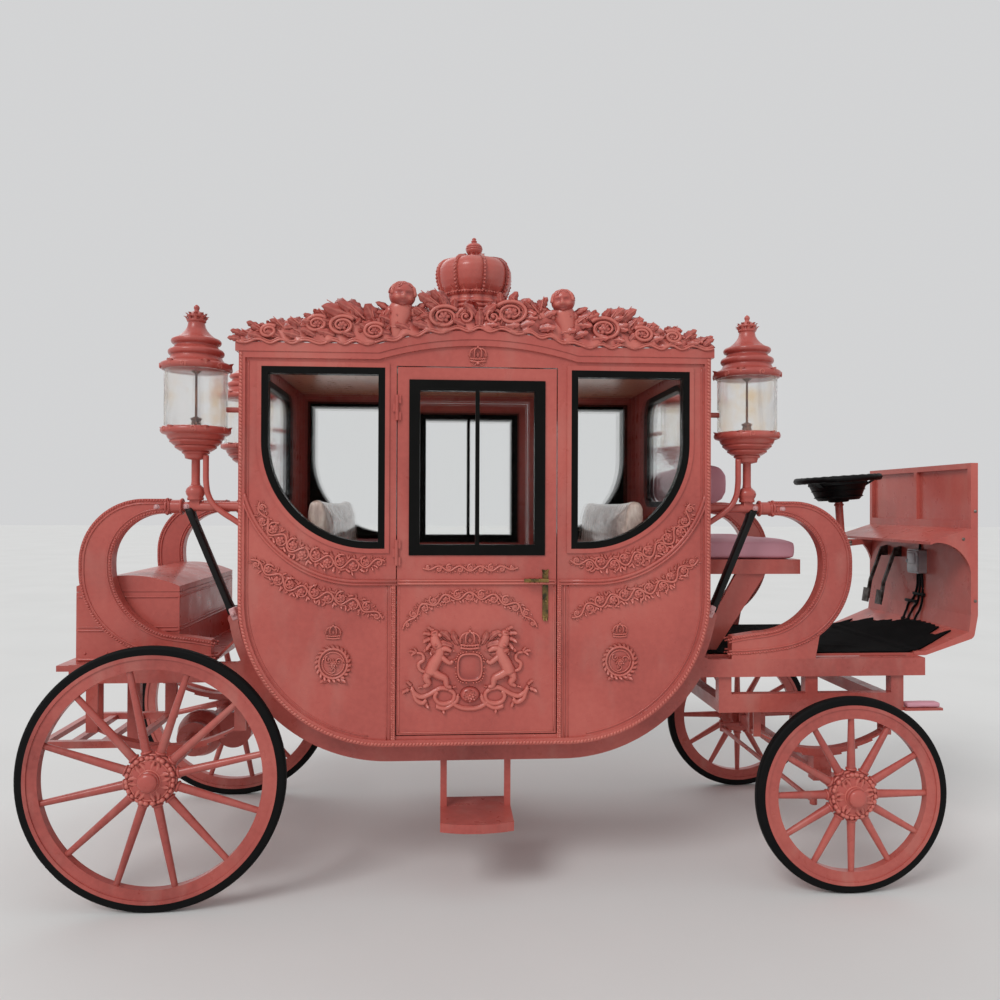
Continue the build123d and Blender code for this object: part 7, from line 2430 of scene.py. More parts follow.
def closed_bar(ring: np.ndarray, out: np.ndarray, size: Pair, sides: int, relief: Pair) -> Form:
    """Closed bar along a level ring of points.

    Args:
        ring: The ring's points.
        out: Outward direction at each.
        size: Half its width outwards and half its height.
        sides: Points round the bar.
        relief: Middle of its relief, and how far it changes towards its top.

    Returns:
        The closed form.
    """
    turn = np.linspace(0, 2 * np.pi, sides, endpoint=False)
    section = out[:, None, :] * (np.cos(turn) * size[0])[None, :, None]
    section = section + np.array([0, 0, 1.0]) * (np.sin(turn) * size[1])[None, :, None]
    faces = grid_faces(len(ring), sides, 0, True)
    last = (len(ring) - 1) * sides
    faces += [(last + j, last + (j + 1) % sides, (j + 1) % sides, j) for j in range(sides)]
    height = np.tile(relief[0] + relief[1] * np.sin(turn), len(ring))
    return Form((ring[:, None, :] + section).reshape(-1, 3), faces, height).outward()


def hoop(radius: float, z: float, wide: float, high: float, count: int = 48, waves: float = 0.0) -> Form:
    """Closed hoop about Z.

    Args:
        radius: Radius of its middle line.
        z: Its height.
        wide: Half its width outwards.
        high: Half its height.
        count: Points round it.
        waves: Height of finger waves along it.

    Returns:
        The hoop.
    """
    turn = np.linspace(0, 2 * math.pi, count, endpoint=False)
    ring = track(radius * np.cos(turn), radius * np.sin(turn), z + waves * np.cos(27 * turn))
    return closed_bar(ring, track(np.cos(turn), np.sin(turn), 0.0), (wide, high), 8, (0.65, 0.3))


@dataclass
class Scrolls:
    """Raised edges, straps and clamps of the tall scrolls and the carved foot under them."""

    y_low: float = 0.506
    y_high: float = 0.566
    outer: tuple[tuple[Pair, float], ...] = (((-1.705, 1.5), 0.29), ((-1.603, 1.462), 0.392))
    inner: tuple[tuple[Pair, float], ...] = (((-1.627, 1.5), 0.222), ((-1.529, 1.482), 0.32))
    strap_ends: tuple[Pair, Pair] = ((-1.512, 1.744), (-1.312, 1.262))
    bolts: tuple[Point, ...] = ((-1.304, 0.033, 1.262), (-1.65, 0.03, 1.752), (-1.52, 0.022, 1.755))

    def build(self) -> None:
        """Build one scroll's dress and set it on all four scrolls."""
        dress = joined([self.edges(), self.hook()])
        clamp = self.clamp()
        strap = self.strap()
        for name, place in CORNERS:
            as_piece(f"scroll_edges_{name}", dress.placed(place), Finish.PINK)
            as_piece(f"scroll_clamp_{name}", clamp.placed(place), Finish.CLAMP)
            as_piece(f"scroll_strap_{name}", strap.placed(place), Finish.STRAP)

    def edge_line(
        self, arcs: tuple[tuple[Pair, float], ...], inset: float, tip: Pair, foot: Sequence[Pair]
    ) -> list[Pair]:
        """An edge of the scroll from the tip to the foot.

        Args:
            arcs: Middle and radius of its upper and its lower arc.
            inset: How far the radii change.
            tip: Its first point.
            foot: Its last points.

        Returns:
            The line.
        """
        (high, large), (low, larger) = arcs
        count = 16 if inset < 0 else 12
        top = arc_line(high, large + inset, 90, 180, 14)
        return [tip, *top, *arc_line(low, larger + inset, 183, 262, count), *foot]

    def outer_line(self, inset: float) -> list[Pair]:
        """The scroll's outer edge, set in by this much."""
        foot = ((-1.5, 1.056 + inset), (-1.388, 1.052 + inset))
        return self.edge_line(self.outer, -inset, (-1.612, 1.79 - inset), foot)

    def inner_line(self, inset: float) -> list[Pair]:
        """The scroll's inner edge, set in by this much."""
        foot = ((-1.49, 1.154 - inset), (-1.388, 1.136 - inset))
        return self.edge_line(self.inner, inset, (-1.618, 1.722 + inset), foot)

    def bead_along(self, line: list[Pair], y: float, radius: float) -> Form:
        """Raised bead along an edge of the scroll at this Y."""
        path = np.array([(x, y, z) for x, z in smooth_line(line, 60)])
        return tube(path, radius, 6, 1.0, (0, 1, 0))

    def edges(self) -> Form:
        """Two raised beads along each edge of the near and the far face.

        Returns:
            The beads and ropes.
        """
        forms, trails = [], []
        for y, out in ((-self.y_low, 1.0), (-self.y_high, -1.0)):
            for line, inset, radius in ((self.outer_line, 0.022, 0.0042), (self.inner_line, 0.021, 0.0036)):
                forms.append(self.bead_along(line(inset), y + 0.001 * out, radius))
            for line in (self.outer_line(0.008), self.inner_line(0.008)):
                path = smooth_line(line, 60)
                trails.append(Trail([(x, y, z) for x, z in path], [(0.0, out, 0.0)] * 60, []))
        forms.append(
            REPEATER.run(
                "scroll_rope", trails, bead(0.0145, 0.012, 0.01, 5), Finish.PINK, 0.0125, 32.0, 0.0, 0.2, 5
            )
        )
        return joined(forms)

    def hook(self) -> Form:
        """Rolled end of the scroll round the bar, with its moulded collars.

        Returns:
            The collars.
        """
        forms = []
        middle = -(self.y_low + self.y_high) / 2
        for x, radius, bulge in ((-1.611, 0.0345, 0.006), (-1.598, 0.032, 0.005), (-1.545, 0.033, 0.006)):
            forms.append(hoop(radius, 0.0, bulge, bulge, 28).placed(shift(x, middle, 1.755) @ spin(90, "Y")))
        return joined(forms)

    def clamp(self) -> Form:
        """Block that holds the strap at the arm's top, and the bolts by the hook.

        Returns:
            Block and bolts.
        """
        middle = -(self.y_low + self.y_high) / 2
        forms = [slab(0.06, 0.066, 0.03, 0.007).placed(shift(-1.304, middle, 1.262) @ spin(68, "Y"))]
        bolt = bolt_head(0.0095, 0.008)
        for side in (-1, 1):
            for x, out, z in self.bolts:
                forms.append(bolt.placed(shift(x, middle + side * out, z) @ spin(-90 * side, "X")))
        return joined(forms)

    def strap(self) -> Form:
        """Stitched leather strap laid along the brace, a fold thicker at both ends.

        Returns:
            The strap.
        """
        middle = -(self.y_low + self.y_high) / 2
        start, stop = (np.array([x, middle, z]) for x, z in self.strap_ends)
        way = (stop - start) / np.linalg.norm(stop - start)
        out = np.cross([0, 1, 0], way)
        t = np.linspace(0, 1, 40)
        thick = 0.015 + 0.0035 * (np.exp(-(((t - 0.03) / 0.05) ** 2)) + np.exp(-(((t - 0.97) / 0.05) ** 2)))
        line = start + (stop - start) * t[:, None]
        turn = np.linspace(0, 2 * math.pi, 16, endpoint=False)
        wide = np.sign(np.cos(turn)) * np.abs(np.cos(turn)) ** 0.35 * 0.027
        high = np.sign(np.sin(turn)) * np.abs(np.sin(turn)) ** 0.6
        points = line[:, None, :] + np.array([0, 1, 0]) * wide[None, :, None] + out * (
            high[None, :, None] * thick[:, None, None]
        )
        faces = grid_faces(40, 16, 0, True)
        faces += [tuple(range(15, -1, -1)), tuple(39 * 16 + j for j in range(16))]
        return Form(points.reshape(-1, 3), faces, 0.6).outward()


def slab(length: float, width: float, height: float, edge: float, at: Point = (0.0, 0.0, 0.0)) -> Form:
    """Block with rounded edges.

    Args:
        length: Size along X.
        width: Size along Y.
        height: Size along Z.
        edge: Radius of its edges.
        at: Its middle.

    Returns:
        The block.
    """
    graph = bmesh.new()
    bmesh.ops.create_cube(graph, size=1.0)
    bmesh.ops.scale(graph, vec=(length, width, height), verts=graph.verts)
    bmesh.ops.bevel(graph, geom=list(graph.edges), offset=edge, segments=3, affect="EDGES", profile=0.5)
    mesh = bpy.data.meshes.new("slab")
    graph.to_mesh(mesh)
    graph.free()
    form = as_form(mesh)
    bpy.data.meshes.remove(mesh)
    return form.placed(shift(*at))


def bolt_head(radius: float, height: float) -> Form:
    """Six-sided bolt head on a washer, standing on Z 0.

    Args:
        radius: Radius of its corners.
        height: Its height.

    Returns:
        Head and washer.
    """
    washer = turned(
        ((0, -0.002), (radius * 1.45, -0.002), (radius * 1.45, 0.0012), (radius * 1.3, 0.002), (0, 0.002)), 20
    )
    head = turned(((0, 0.0), (radius, 0.0), (radius, height * 0.75), (radius * 0.8, height), (0, height)), 6)
    return joined([washer, head])


def screw_head(radius: float) -> Form:
    """Low domed screw head on Z 0.

    Args:
        radius: Its radius.

    Returns:
        The head.
    """
    return turned(
        (
            (0, -0.002), (radius, -0.002), (radius * 0.96, radius * 0.2), (radius * 0.6, radius * 0.42),
            (0, radius * 0.5),
        ),
        14,
    )


@dataclass
class WheelDress:
    """Carved hub, wheel bead and tyre seat of one road wheel."""

    name: str
    x: float
    side: int
    radius: float
    spokes: int = 12
    phase: float = 0.0
    y: float = 0.755

    def build(self) -> None:
        """Build the dress about the wheel's axle and let it ride on the wheel."""
        body = f"wheel_{self.name}"
        place = shift(self.x, self.side * self.y, self.radius) @ self.facing()
        as_piece(f"hub_carving_{self.name}", joined([self.hub(), self.back()]).placed(place), Finish.CARVED, body)
        as_piece(f"hub_nose_{self.name}", self.nose().placed(place), Finish.PINK, body)
        as_piece(f"spoke_collars_{self.name}", self.collars().placed(place), Finish.PINK, body)

    def facing(self) -> Matrix:
        """Turn that points +Z away from the carriage."""
        return spin(-90 * self.side, "X")

    def hub(self) -> Form:
        """Lumpy ring of beads and leaves round the flange, and a rayed face.

        Returns:
            The ring and the face.
        """
        forms = []
        pick = Random(5 + int(self.radius * 1000))
        for i in range(26):
            a = 360.0 * i / 26 + pick.uniform(-3, 3)
            size = pick.uniform(0.85, 1.15)
            lump = boss(0.0115 * size, 0.013 * size)
            forms.append(lump.placed(spin(a) @ shift(0.098, 0, 0.0262) @ grown(1.0, 1.25, 1.0)))
        for i in range(13):
            a = 360.0 * i / 13
            leaf = acanthus(0.05, 0.03, 0.7 if i % 2 else -0.7, 0.5, 3, 0.3, 8, 5)
            spot = spin(a) @ shift(0.042, 0, 0.0385) @ spin(-90)
            forms.append(leaf.placed(spot @ spin(-14, "X")))
        for radius, z, bulge in ((0.106, 0.01, 0.006), (0.086, 0.029, 0.004), (0.046, 0.04, 0.005)):
            forms.append(hoop(radius, z, bulge, bulge * 1.2))
        return joined(forms)

    def back(self) -> Form:
        """Plain moulded ring on the hub's far side."""
        return hoop(0.06, -0.03, 0.006, 0.006)

    def nose(self) -> Form:
        """Shallow cone on the flange, a grooved collar and the domed nose's cap.

        Returns:
            Cone, collar and cap.
        """
        cone = ((0, 0.024), (0.094, 0.0275), (0.088, 0.031), (0.06, 0.0385), (0.047, 0.041), (0, 0.041))
        collar = ((0, 0.054), (0.0452, 0.054), (0.0465, 0.057), (0.0452, 0.06), (0, 0.06))
        dome = (
            (0, 0.064), (0.0425, 0.064), (0.041, 0.07), (0.036, 0.076), (0.026, 0.0805), (0.012, 0.0825),
            (0, 0.083),
        )
        return joined([turned(cone, 40), turned(collar, 40), turned(dome, 32)])

    def collars(self) -> Form:
        """Small rounded collar at the foot of every spoke."""
        ring = hoop(0.021, 0.0, 0.0045, 0.006, 16).placed(shift(0.116, 0, 0) @ spin(90, "Y"))
        return joined([ring.placed(spin(360.0 * i / self.spokes + self.phase)) for i in range(self.spokes)])


class Wheels:
    """The four wheels' dress."""

    def build(self) -> None:
        """Dress every wheel."""
        rear = {"x": -1.6, "radius": 0.575, "phase": 12.0}
        front = {"x": 1.526, "radius": 0.448, "phase": 0.0}
        for end, sizes in (("rear", rear), ("front", front)):
            for hand, side in (("right", -1), ("left", 1)):
                WheelDress(f"{end}_{hand}", side=side, **sizes).build()


@dataclass
class TrunkTrim:
    """Moulded lines and strap hardware of the rear trunk."""

    x: Pair = (-2.031, -1.566)
    y: float = 0.498
    z: Pair = (1.035, 1.385)

    def build(self) -> None:
        """Build the trim on the case."""
        forms = []
        rounded = self.outline(0.0015)
        for z, radius in ((self.z[0] + 0.012, 0.007), (1.18, 0.0045), (1.196, 0.0032), (1.335, 0.004)):
            forms.append(self.band(rounded, z, radius))
        as_piece("trunk_mouldings", joined(forms), Finish.PINK)
        screws = []
        for x in np.linspace(self.x[0] + 0.04, self.x[1] - 0.04, 5):
            for side in (-1, 1):
                spot = shift(float(x), side * (self.y + 0.001), self.z[0] + 0.04)
                screws.append(screw_head(0.006).placed(spot @ spin(-90 * side, "X")))
        as_piece("trunk_screws", joined(screws), Finish.PINK)

    def outline(self, out: float) -> list[Point]:
        """The case's outline seen from above, this far outside it.

        Args:
            out: Distance outside the case.

        Returns:
            The closed outline.
        """
        low, high, side = self.x[0] - out, self.x[1] + out, self.y + out
        edge = 0.018
        points = []
        for x, y, start in ((high, side, 0), (low, side, 90), (low, -side, 180), (high, -side, 270)):
            cx, cy = x - math.copysign(edge, x - sum(self.x) / 2), y - math.copysign(edge, y)
            points += [(px, py, 0.0) for px, py in arc_line((cx, cy), edge, start, start + 90, 6)]
        return points

    def band(self, outline: list[Point], z: float, radius: float) -> Form:
        """Half-round moulding that runs round the case at one height.

        Args:
            outline: The line that it follows, seen from above.
            z: Its height.
            radius: Its radius.

        Returns:
            The moulding.
        """
        ring = np.array(outline)
        ring[:, 2] = z
        ahead = np.roll(ring, -1, 0) - np.roll(ring, 1, 0)
        ahead /= np.linalg.norm(ahead, axis=1)[:, None]
        return closed_bar(ring, np.cross(ahead, [0, 0, 1.0]), (radius, radius), 6, (0.7, 0.0))


@dataclass
class SoftWork:
    """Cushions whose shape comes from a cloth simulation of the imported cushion's outline."""

    pressure: float = 4.0
    frames: int = 20

    def build(self) -> None:
        """Build every cushion."""
        self.cushions("cabin_cushions", "wrapped_cushions", Finish.WRAP, 0.02, 0.024)
        self.cushions("driver_cushions", "gloss_cushions", Finish.PAINTED_SKY_LEATHER, 0.016, 0.017)

    def cushions(self, node: str, name: str, finish: Finish, bulge: float, voxel: float) -> None:
        """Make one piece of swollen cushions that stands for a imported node.

        Args:
            node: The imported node.
            name: The piece's name.
            finish: Its finish.
            bulge: The most that the cloth moves out.
            voxel: Size of the even mesh.
        """
        source = frame["nodes"][node]
        made = source.copy()
        made.data = source.data.copy()
        made.name = name
        bpy.context.scene.collection.objects.link(made)
        made.data.transform(source.matrix_world)
        made.parent = None
        made.matrix_world = HERE
        self.shrink(made.data, 0.006)
        moved = self.swell(made, bulge, voxel, node)
        log.info("%s: cloth moved up to %.1f mm", name, 1000 * moved)
        made.data.shade_smooth()
        made.data.materials.clear()
        made.data.materials.append(finish.material())
        settle(made)
        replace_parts(made, node)

    def swell(self, made: bpy.types.Object, bulge: float, voxel: float, node: str = "") -> float:
        """Remesh a soft solid and let it swell as cloth.

        Args:
            made: The soft piece.
            bulge: The most that the cloth moves out.
            voxel: Size of its even mesh.
            node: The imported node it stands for.

        Returns:
            How far the cloth moved, in metres.
        """
        self.remesh(made, voxel)
        self.lean(made.data, node)
        before = np.array([v.co for v in made.data.vertices])
        self.inflate(made)
        moved = np.array([v.co for v in made.data.vertices]) - before
        size = np.linalg.norm(moved, axis=1)[:, None]
        moved *= np.minimum(1.0, bulge / np.maximum(size, 1e-9))
        for vertex, spot in zip(made.data.vertices, before + moved):
            vertex.co = spot
        finer = made.modifiers.new("finer", "SUBSURF")
        finer.levels = finer.render_levels = 1
        self.bake(made)
        made.data.shade_smooth()
        return float(np.linalg.norm(moved, axis=1).max())

    def shrink(self, mesh: bpy.types.Mesh, share: float) -> None:
        """Start each cushion a little smaller than its room.

        Args:
            mesh: The cushions.
            share: How far every point moves in, in metres.
        """
        graph = bmesh.new()
        graph.from_mesh(mesh)
        bmesh.ops.remove_doubles(graph, verts=graph.verts, dist=0.00005)
        graph.normal_update()
        for vertex in graph.verts:
            vertex.co -= vertex.normal * share
        graph.to_mesh(mesh)
        graph.free()

    def lean(self, mesh: bpy.types.Mesh, node: str) -> None:
        """Let the cabin's backrests thin out towards their tops, their backs staying in place.

        Args:
            mesh: The cushions.
            node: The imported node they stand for.
        """
        if node != "cabin_cushions":
            return
        for vertex in mesh.vertices:
            away = abs(vertex.co.x - CAB_X)
            if away > 0.4 and vertex.co.z > 1.25:
                rise = min(1.0, (vertex.co.z - 1.25) / 0.35)
                inner = max(0.0, min(1.0, (0.7745 - away) / 0.17))
                vertex.co.x += math.copysign(0.085 * rise * inner, vertex.co.x - CAB_X)

    def remesh(self, made: bpy.types.Object, voxel: float) -> None:
        """Give the cushion an even mesh that the cloth can move.

        Args:
            made: The cushions.
            voxel: Size of the even mesh.
        """
        change = made.modifiers.new("even_mesh", "REMESH")
        change.mode = "VOXEL"
        change.voxel_size = voxel
        self.bake(made)

    def inflate(self, made: bpy.types.Object) -> None:
        """Swell the cushion as cloth under pressure, without weight.

        Args:
            made: The cushions.
        """
        cloth = made.modifiers.new("swell", "CLOTH")
        cloth.settings.use_pressure = True
        cloth.settings.uniform_pressure_force = self.pressure
        cloth.settings.tension_stiffness = 12
        cloth.settings.compression_stiffness = 12
        cloth.settings.shear_stiffness = 6
        cloth.settings.bending_stiffness = 0.5
        cloth.settings.effector_weights.gravity = 0.0
        cloth.collision_settings.use_collision = False
        scene = bpy.context.scene
        for frame in range(1, self.frames + 1):
            scene.frame_set(frame)
        self.bake(made)
        scene.frame_set(1)

    def bake(self, made: bpy.types.Object) -> None:
        """Turn the evaluated mesh into the piece's own, without modifiers.

        Args:
            made: The piece.
        """
        graph = bpy.context.evaluated_depsgraph_get()
        mesh = bpy.data.meshes.new_from_object(made.evaluated_get(graph))
        old = made.data
        made.modifiers.clear()
        made.data = mesh
        bpy.data.meshes.remove(old)


def plate_ring(inner: Sequence[Pair], outer: Sequence[Pair], y0: float, y1: float) -> Form:
    """Flat board between two closed lines with as many points each.

    Args:
        inner: The opening's line, as X and Z.
        outer: The board's edge, as X and Z.
        y0: Y of one face.
        y1: Y of the other face.

    Returns:
        The board.
    """
    count = len(inner)
    rings = [
        np.array([(x, y, z) for x, z in line]) for line, y in ((inner, y0), (outer, y0), (outer, y1), (inner, y1))
    ]
    faces = []
    for ring in range(4):
        a, b = ring * count, (ring + 1) % 4 * count
        faces += [(a + j, a + (j + 1) % count, b + (j + 1) % count, b + j) for j in range(count)]
    return Form(np.concatenate(rings), faces, 0.6).outward()


@dataclass
class Cabin:
    """Linings seen through the windows: dark boards round the side windows, trim strips and the ceiling."""

    face: float = 0.6505
    back: float = 0.662
    half: Pair = (0.452, 0.939)
    level: Pair = (1.599, 2.352)

    def build(self) -> None:
        """Build the linings of both sides and the ceiling."""
        boards, strips, pins = [], [], []
        for sign in (-1, 1):
            inner, outer = self.lines(sign)
            boards.append(plate_ring(inner, outer, self.face, self.back))
            middle = CAB_X + sign * sum(self.half) / 2
            strip = slab(self.half[1] - self.half[0] + 0.07, 0.011, 0.046, 0.004)
            strips.append(strip.placed(shift(middle, self.face + 0.002, self.level[0] - 0.06)))
            for share in (-0.22, 0.02, 0.22):
                spot = shift(middle + share, self.face - 0.0034, self.level[0] - 0.06)
                pins.append(screw_head(0.0045).placed(spot @ spin(90, "X")))
        for side, place in (("left", HERE), ("right", MIRROR_Y)):
            as_piece(f"window_boards_{side}", joined(boards).placed(place), Finish.BLACK)
            as_piece(f"window_strips_{side}", joined(strips).placed(place), Finish.TRIM)
            as_piece(f"strip_pins_{side}", joined(pins).placed(place), Finish.BOLT)
        as_piece("ceiling_panels", self.ceiling(), Finish.CEILING)

    def lines(self, sign: int) -> tuple[list[Pair], list[Pair]]:
        """The opening and the edge of one board, with matching points.

        Args:
            sign: -1 for the rear window, 1 for the front one.

        Returns:
            The opening and the edge.
        """
        near, far = self.half[0] - 0.002, self.half[1] + 0.002
        low, high = self.level[0] - 0.002, self.level[1] + 0.002
        radius, out = 0.452, 0.036
        inner = [(near, low)]
        outer = [(near - out, low - out)]
        for a in np.linspace(-90, 0, 25):
            inner.append(
                (
                    far - radius + radius * math.cos(math.radians(a)),
                    low + radius + radius * math.sin(math.radians(a)),
                )
            )
            share = (a + 90) / 90
            reach = radius + out
            outer.append((far - radius + reach * min(1.0, 2 * share), low - out + reach * max(0.0, 2 * share - 1)))
        inner += [(far, high), (near, high)]
        outer += [(far + out, high + out), (near - out, high + out)]
        return [(CAB_X + sign * x, z) for x, z in inner], [(CAB_X + sign * x, z) for x, z in outer]

    def ceiling(self) -> Form:
        """Ceiling of three boards with rounded cover strips between them and round them.

        Returns:
            Boards and strips.
        """
        z = EAVES_Z - 0.006
        forms = []
        for x0, x1 in ((-1.196, -0.565), (-0.545, 0.175), (0.195, 0.826)):
            forms.append(slab(x1 - x0, 1.27, 0.01, 0.004, ((x0 + x1) / 2, 0, z)))
        for x in (-0.555, 0.185):
            forms.append(slab(0.05, 1.27, 0.012, 0.005, (x, 0, z - 0.0035)))
        for y in (-0.618, 0.618):
            forms.append(slab(2.01, 0.034, 0.012, 0.005, (CAB_X, y, z - 0.0035)))
        return joined(forms)


@dataclass
class DriverEnd:
    """Steering grip, pads, wiring, bolts and carpet of the driver's end."""

    column: Point = (1.95, 0.22, 1.555)
    tilt: float = 4.0
    carpet_rear: float = 0.8715
    carpet_half: float = 0.487
    carpet_thick: float = 0.0054
    torn: tuple[Pair, ...] = (
        (-1.0, 1.985), (-0.96, 2.005), (-0.82, 2.232), (-0.76, 2.165), (-0.66, 2.15), (-0.6, 2.222), (-0.44, 2.236),
        (-0.18, 2.24), (0.06, 2.224), (0.16, 2.176), (0.24, 2.192), (0.44, 2.14), (0.58, 2.168), (0.78, 2.07),
        (0.84, 2.11), (1.0, 1.985),
    )
    cables: tuple[tuple[Point, ...], ...] = (
        (
            (2.256, -0.04, 1.408), (2.258, -0.03, 1.33), (2.2585, 0.0, 1.27), (2.2585, 0.055, 1.225),
            (2.254, 0.07, 1.18), (2.232, 0.072, 1.13),
        ),
        (
            (2.256, -0.06, 1.408), (2.258, -0.055, 1.32), (2.2585, -0.03, 1.24), (2.2585, 0.005, 1.205),
            (2.252, 0.018, 1.172), (2.228, 0.02, 1.13),
        ),
        (
            (2.256, -0.08, 1.408), (2.258, -0.084, 1.31), (2.2585, -0.072, 1.225), (2.252, -0.05, 1.172),
            (2.228, -0.044, 1.13),
        ),
        ((2.256, -0.06, 1.532), (2.258, -0.058, 1.58), (2.258, -0.052, 1.612), (2.258, -0.05, 1.64)),
    )
    points: int = 108
    bowl_rings: tuple[Point, ...] = (
        (0.1545, 0.0945, 0.0075), (0.1562, 0.1015, 0.0052), (0.1565, 0.109, 0.005), (0.144, 0.06, 0.003),
        (0.13, 0.023, 0.0035),
    )

    def build(self) -> None:
        """Build everything in front of the cab."""
        hub = Matrix.Translation(self.column) @ spin(-self.tilt, "Y")
        as_piece("steering_grip", self.grip().placed(hub @ shift(0, 0, 0.245)), Finish.PLASTIC, "steering_wheel")
        as_piece("column_collars", self.collars().placed(hub), Finish.CHASSIS)
        as_piece("dash_wiring", self.wiring(), Finish.PLASTIC)
        as_piece("dash_bolts", self.bolts(), Finish.BOLT)
        as_piece("fuse_box_lid", self.fuse_lid(), Finish.SILVER)
        self.carpet()
        self.pads()

    def grip(self) -> Form:
        """Padded rim with finger waves, the bowl's rolled lip, its ribs and the centre cap.

        Returns:
            Rim, bowl and cap.
        """
        forms = [hoop(0.222, 0.125, 0.0185, 0.0185, self.points, 0.0012)]
        for radius, z, wide in self.bowl_rings:
            forms.append(hoop(radius, z, wide, wide * 0.9, self.points))
        forms.append(hoop(0.043, 0.0, 0.014, 0.008, self.points))
        cap = ((0, 0.068), (0.046, 0.068), (0.05, 0.074), (0.047, 0.081), (0.03, 0.086), (0, 0.088))
        forms.append(turned(cap, 36))
        return joined(forms)

    def collars(self) -> Form:
        """Clamp rings on the column's tube."""
        rings = ((0.014, 0.006), (0.06, 0.0045), (0.222, 0.0055))
        return joined([hoop(0.022, z, wide, wide * 1.3, 32) for z, wide in rings])

    def wiring(self) -> Form:
        """Sheathed cables clipped to the dash between the fuse box, the pedals and the floor.

        Returns:
            Cables, clips and sleeves.
        """
        forms = []
        for run in self.cables:
            given = np.array(run)
            flat = smooth_line([(p[1], p[2]) for p in run], 26)
            xs = np.interp(np.linspace(0, 1, 26), np.linspace(0, 1, len(given)), given[:, 0])
            path = np.array([(x, y, z) for x, (y, z) in zip(xs, flat)])
            forms.append(tube(path, 0.0062, 8))
        for y, z in ((0.03, 1.245), (-0.05, 1.29)):
            forms.append(slab(0.014, 0.11, 0.016, 0.004, (2.257, y, z)))
        sleeve = turned(
            ((0, -0.006), (0.013, -0.006), (0.0135, 0.002), (0.0115, 0.006), (0.008, 0.01), (0, 0.01)), 18
        )
        lie = spin(-22.4, "Y")
        for x, y in ((2.2365, 0.072), (2.2325, 0.02), (2.2325, -0.044)):
            forms.append(sleeve.placed(shift(x, y, 1.055 + 0.4115 * (x - 2.028)) @ lie))
        return joined(forms)

    def bolts(self) -> Form:
        """Small bolt heads on the dash's edge, its cheeks and the column's bracket.

        Returns:
            All the bolts.
        """
        forms = []
        for side in (-1, 1):
            turn = spin(-90 * side, "X")
            for x, z in ((2.286, 1.745), (2.286, 1.3), (2.225, 1.607)):
                forms.append(bolt_head(0.0055, 0.004).placed(shift(x, side * 0.5005, z) @ turn))
            for z in (1.56, 1.572):
                forms.append(bolt_head(0.006, 0.005).placed(shift(1.99, 0.22 + side * 0.0305, z - 0.008) @ turn))
        return joined(forms)

    def fuse_lid(self) -> Form:
        """Lid of the fuse box with its seam, hinges and latch.

        Returns:
            The lid.
        """
        x = 2.2177
        forms = [slab(0.01, 0.098, 0.116, 0.004, (x - 0.003, -0.06, 1.47))]
        forms.append(slab(0.006, 0.07, 0.06, 0.003, (x - 0.009, -0.06, 1.486)))
        for z in (1.43, 1.51):
            forms.append(slab(0.01, 0.012, 0.024, 0.003, (x - 0.006, -0.11, z)))
        forms.append(slab(0.012, 0.01, 0.02, 0.003, (x - 0.008, -0.016, 1.47)))
        return joined(forms)

    def carpet(self) -> None:
        """Carpet laid on the driver's floor and up the toe board, softly rumpled, its front edge torn ragged."""
        x0, y1 = self.carpet_rear, self.carpet_half
        u, v = np.meshgrid(np.linspace(0, 1, 78), np.linspace(-1, 1, 116), indexing="ij")
        edge = np.interp(v, *zip(*self.torn)) + 0.004 * np.sin(v * 61)
        x = x0 + (edge - x0) * u
        y = y1 * v
        floor = np.interp(x, (0.0, 1.95, 1.97, 2.026, 2.252), (1.0473, 1.0473, 1.0555, 1.0557, 1.149))
        calm = np.interp(x, (1.9, 1.95, 2.03, 2.1), (1.0, 0.0, 0.0, 0.7)) * np.clip((1 - np.abs(v)) * 12, 0.15, 1)
        rumple = 0.0026 * np.sin(
            x * 19 + 3.1 * np.sin(y * 6)
        ) * np.sin(y * 11 + 1.7 * np.sin(x * 5)) + 0.001 * np.sin(x * 47 - y * 29)
        ridge = 0.004 * np.exp(-(((y - 0.3 * np.sin(x * 2.3) + 0.12) / 0.03) ** 2)) * np.sin(math.pi * u)
        under_z = floor + (np.clip(rumple + 0.0012, 0.0, 0.0035) + np.clip(ridge, 0, 0.0035)) * calm
        under = track(x, y, under_z)
        sheet = two_sided(under + np.array([0, 0, self.carpet_thick]), under, 0.5)
        made = as_piece("laid_carpet", sheet, Finish.CARPET)
        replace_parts(made, "driver_carpet")

    def pads(self) -> None:
        """Padded treads on the two plates under the driver's floor."""
        work = SoftWork()
        for name, side in (("right", -1), ("left", 1)):
            block = slab(0.166, 0.05, 0.024, 0.007, (1.987, side * 0.536, 0.7915 + 0.012))
            made = as_piece(f"tread_pad_{name}", block, Finish.PAINTED_SKY_LEATHER)
            work.swell(made, 0.006, 0.004)


GROUPS = (CabSides, Doors, Cresting, Crown, Lamps, Scrolls, Wheels, TrunkTrim, Cabin, DriverEnd, SoftWork)


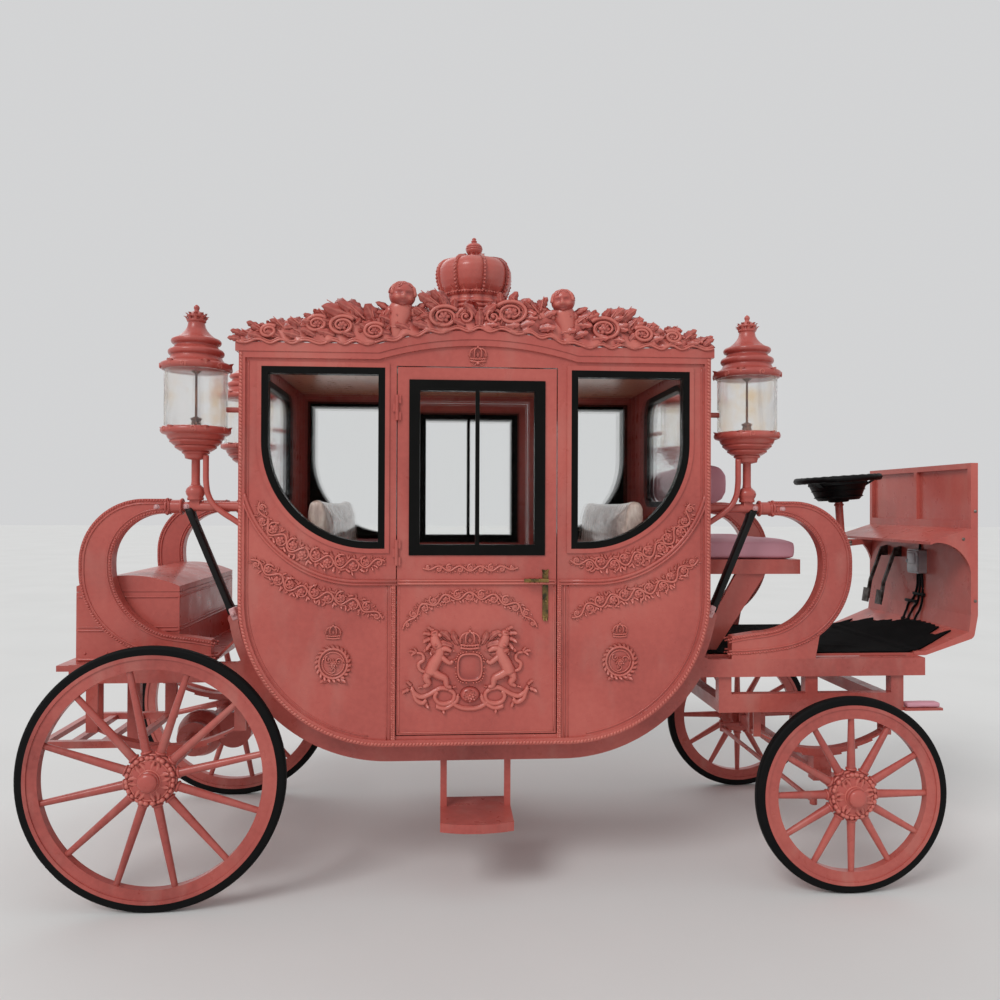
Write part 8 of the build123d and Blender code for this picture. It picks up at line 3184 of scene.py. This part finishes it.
@dataclass
class Studio:
    """Pale floor, soft light and the camera at the viewing angle."""

    eye: Point = (-0.3485, -4.5464, 1.7629)
    yaw: float = -3.87
    pitch: float = 0.4
    roll: float = 0.21
    lens: float = 30.62
    daylight: float = 0.66
    sun: float = 1.15

    def build(self) -> None:
        """Build the stage, the lights and the camera."""
        self.camera()
        self.floor()
        self.light()

    def camera(self) -> None:
        """Camera that sees the near side a little from the rear."""
        data = bpy.data.cameras.new("viewpoint")
        data.lens = self.lens
        data.sensor_width = 36.0
        data.sensor_fit = "HORIZONTAL"
        made = shown("viewpoint", data)
        turn = spin(self.yaw) @ spin(90 + self.pitch, "X")
        turn = turn @ spin(self.roll)
        made.matrix_world = Matrix.Translation(self.eye) @ turn
        bpy.context.scene.camera = made

    def floor(self) -> None:
        """Wide pale floor, a shade darker than the light that falls on it."""
        mesh = bpy.data.meshes.new("studio_floor")
        reach = 70.0
        mesh.from_pydata(
            [(-reach, -reach, 0), (reach, -reach, 0), (reach, reach, 0), (-reach, reach, 0)], [], [(0, 1, 2, 3)]
        )
        made = shown("studio_floor", mesh)
        sheet = MaterialSheet("studio_floor_paint")
        sheet.give(Base_Color=sheet.ramp(sheet.noise(0.7, 4), (0.3, (0.69, 0.69, 0.68)), (0.7, (0.72, 0.72, 0.71))))
        sheet.give(Roughness=0.9, Specular_IOR_Level=0.1)
        mesh.materials.append(sheet.material)

    def light(self) -> None:
        """Even daylight with one large soft key from the front left."""
        scene = bpy.context.scene
        scene.view_settings.view_transform = "Standard"
        world = bpy.data.worlds.new("daylight")
        scene.world = world
        world.use_nodes = True
        shade = world.node_tree.nodes["Background"]
        shade.inputs["Color"].default_value = (0.985, 0.99, 1.0, 1.0)
        shade.inputs["Strength"].default_value = self.daylight
        for name, power, angle, turn in (
            ("key", self.sun, 22.0, (48.0, 0.0, -38.0)), ("rim", self.sun * 0.3, 40.0, (-50.0, 0.0, 30.0))
        ):
            lamp = bpy.data.lights.new(name, "SUN")
            lamp.energy = power
            lamp.angle = math.radians(angle)
            made = shown(name, lamp)
            made.rotation_euler = [math.radians(value) for value in turn]


def main() -> None:
    """Build the carriage's dress in order."""
    logging.basicConfig(level=logging.INFO, format="%(message)s")
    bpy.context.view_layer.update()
    Studio().build()
    finish_nodes()
    for group in GROUPS:
        group().build()
        log.info("%s built", group.__name__)


if __name__ == "__main__":
    main()
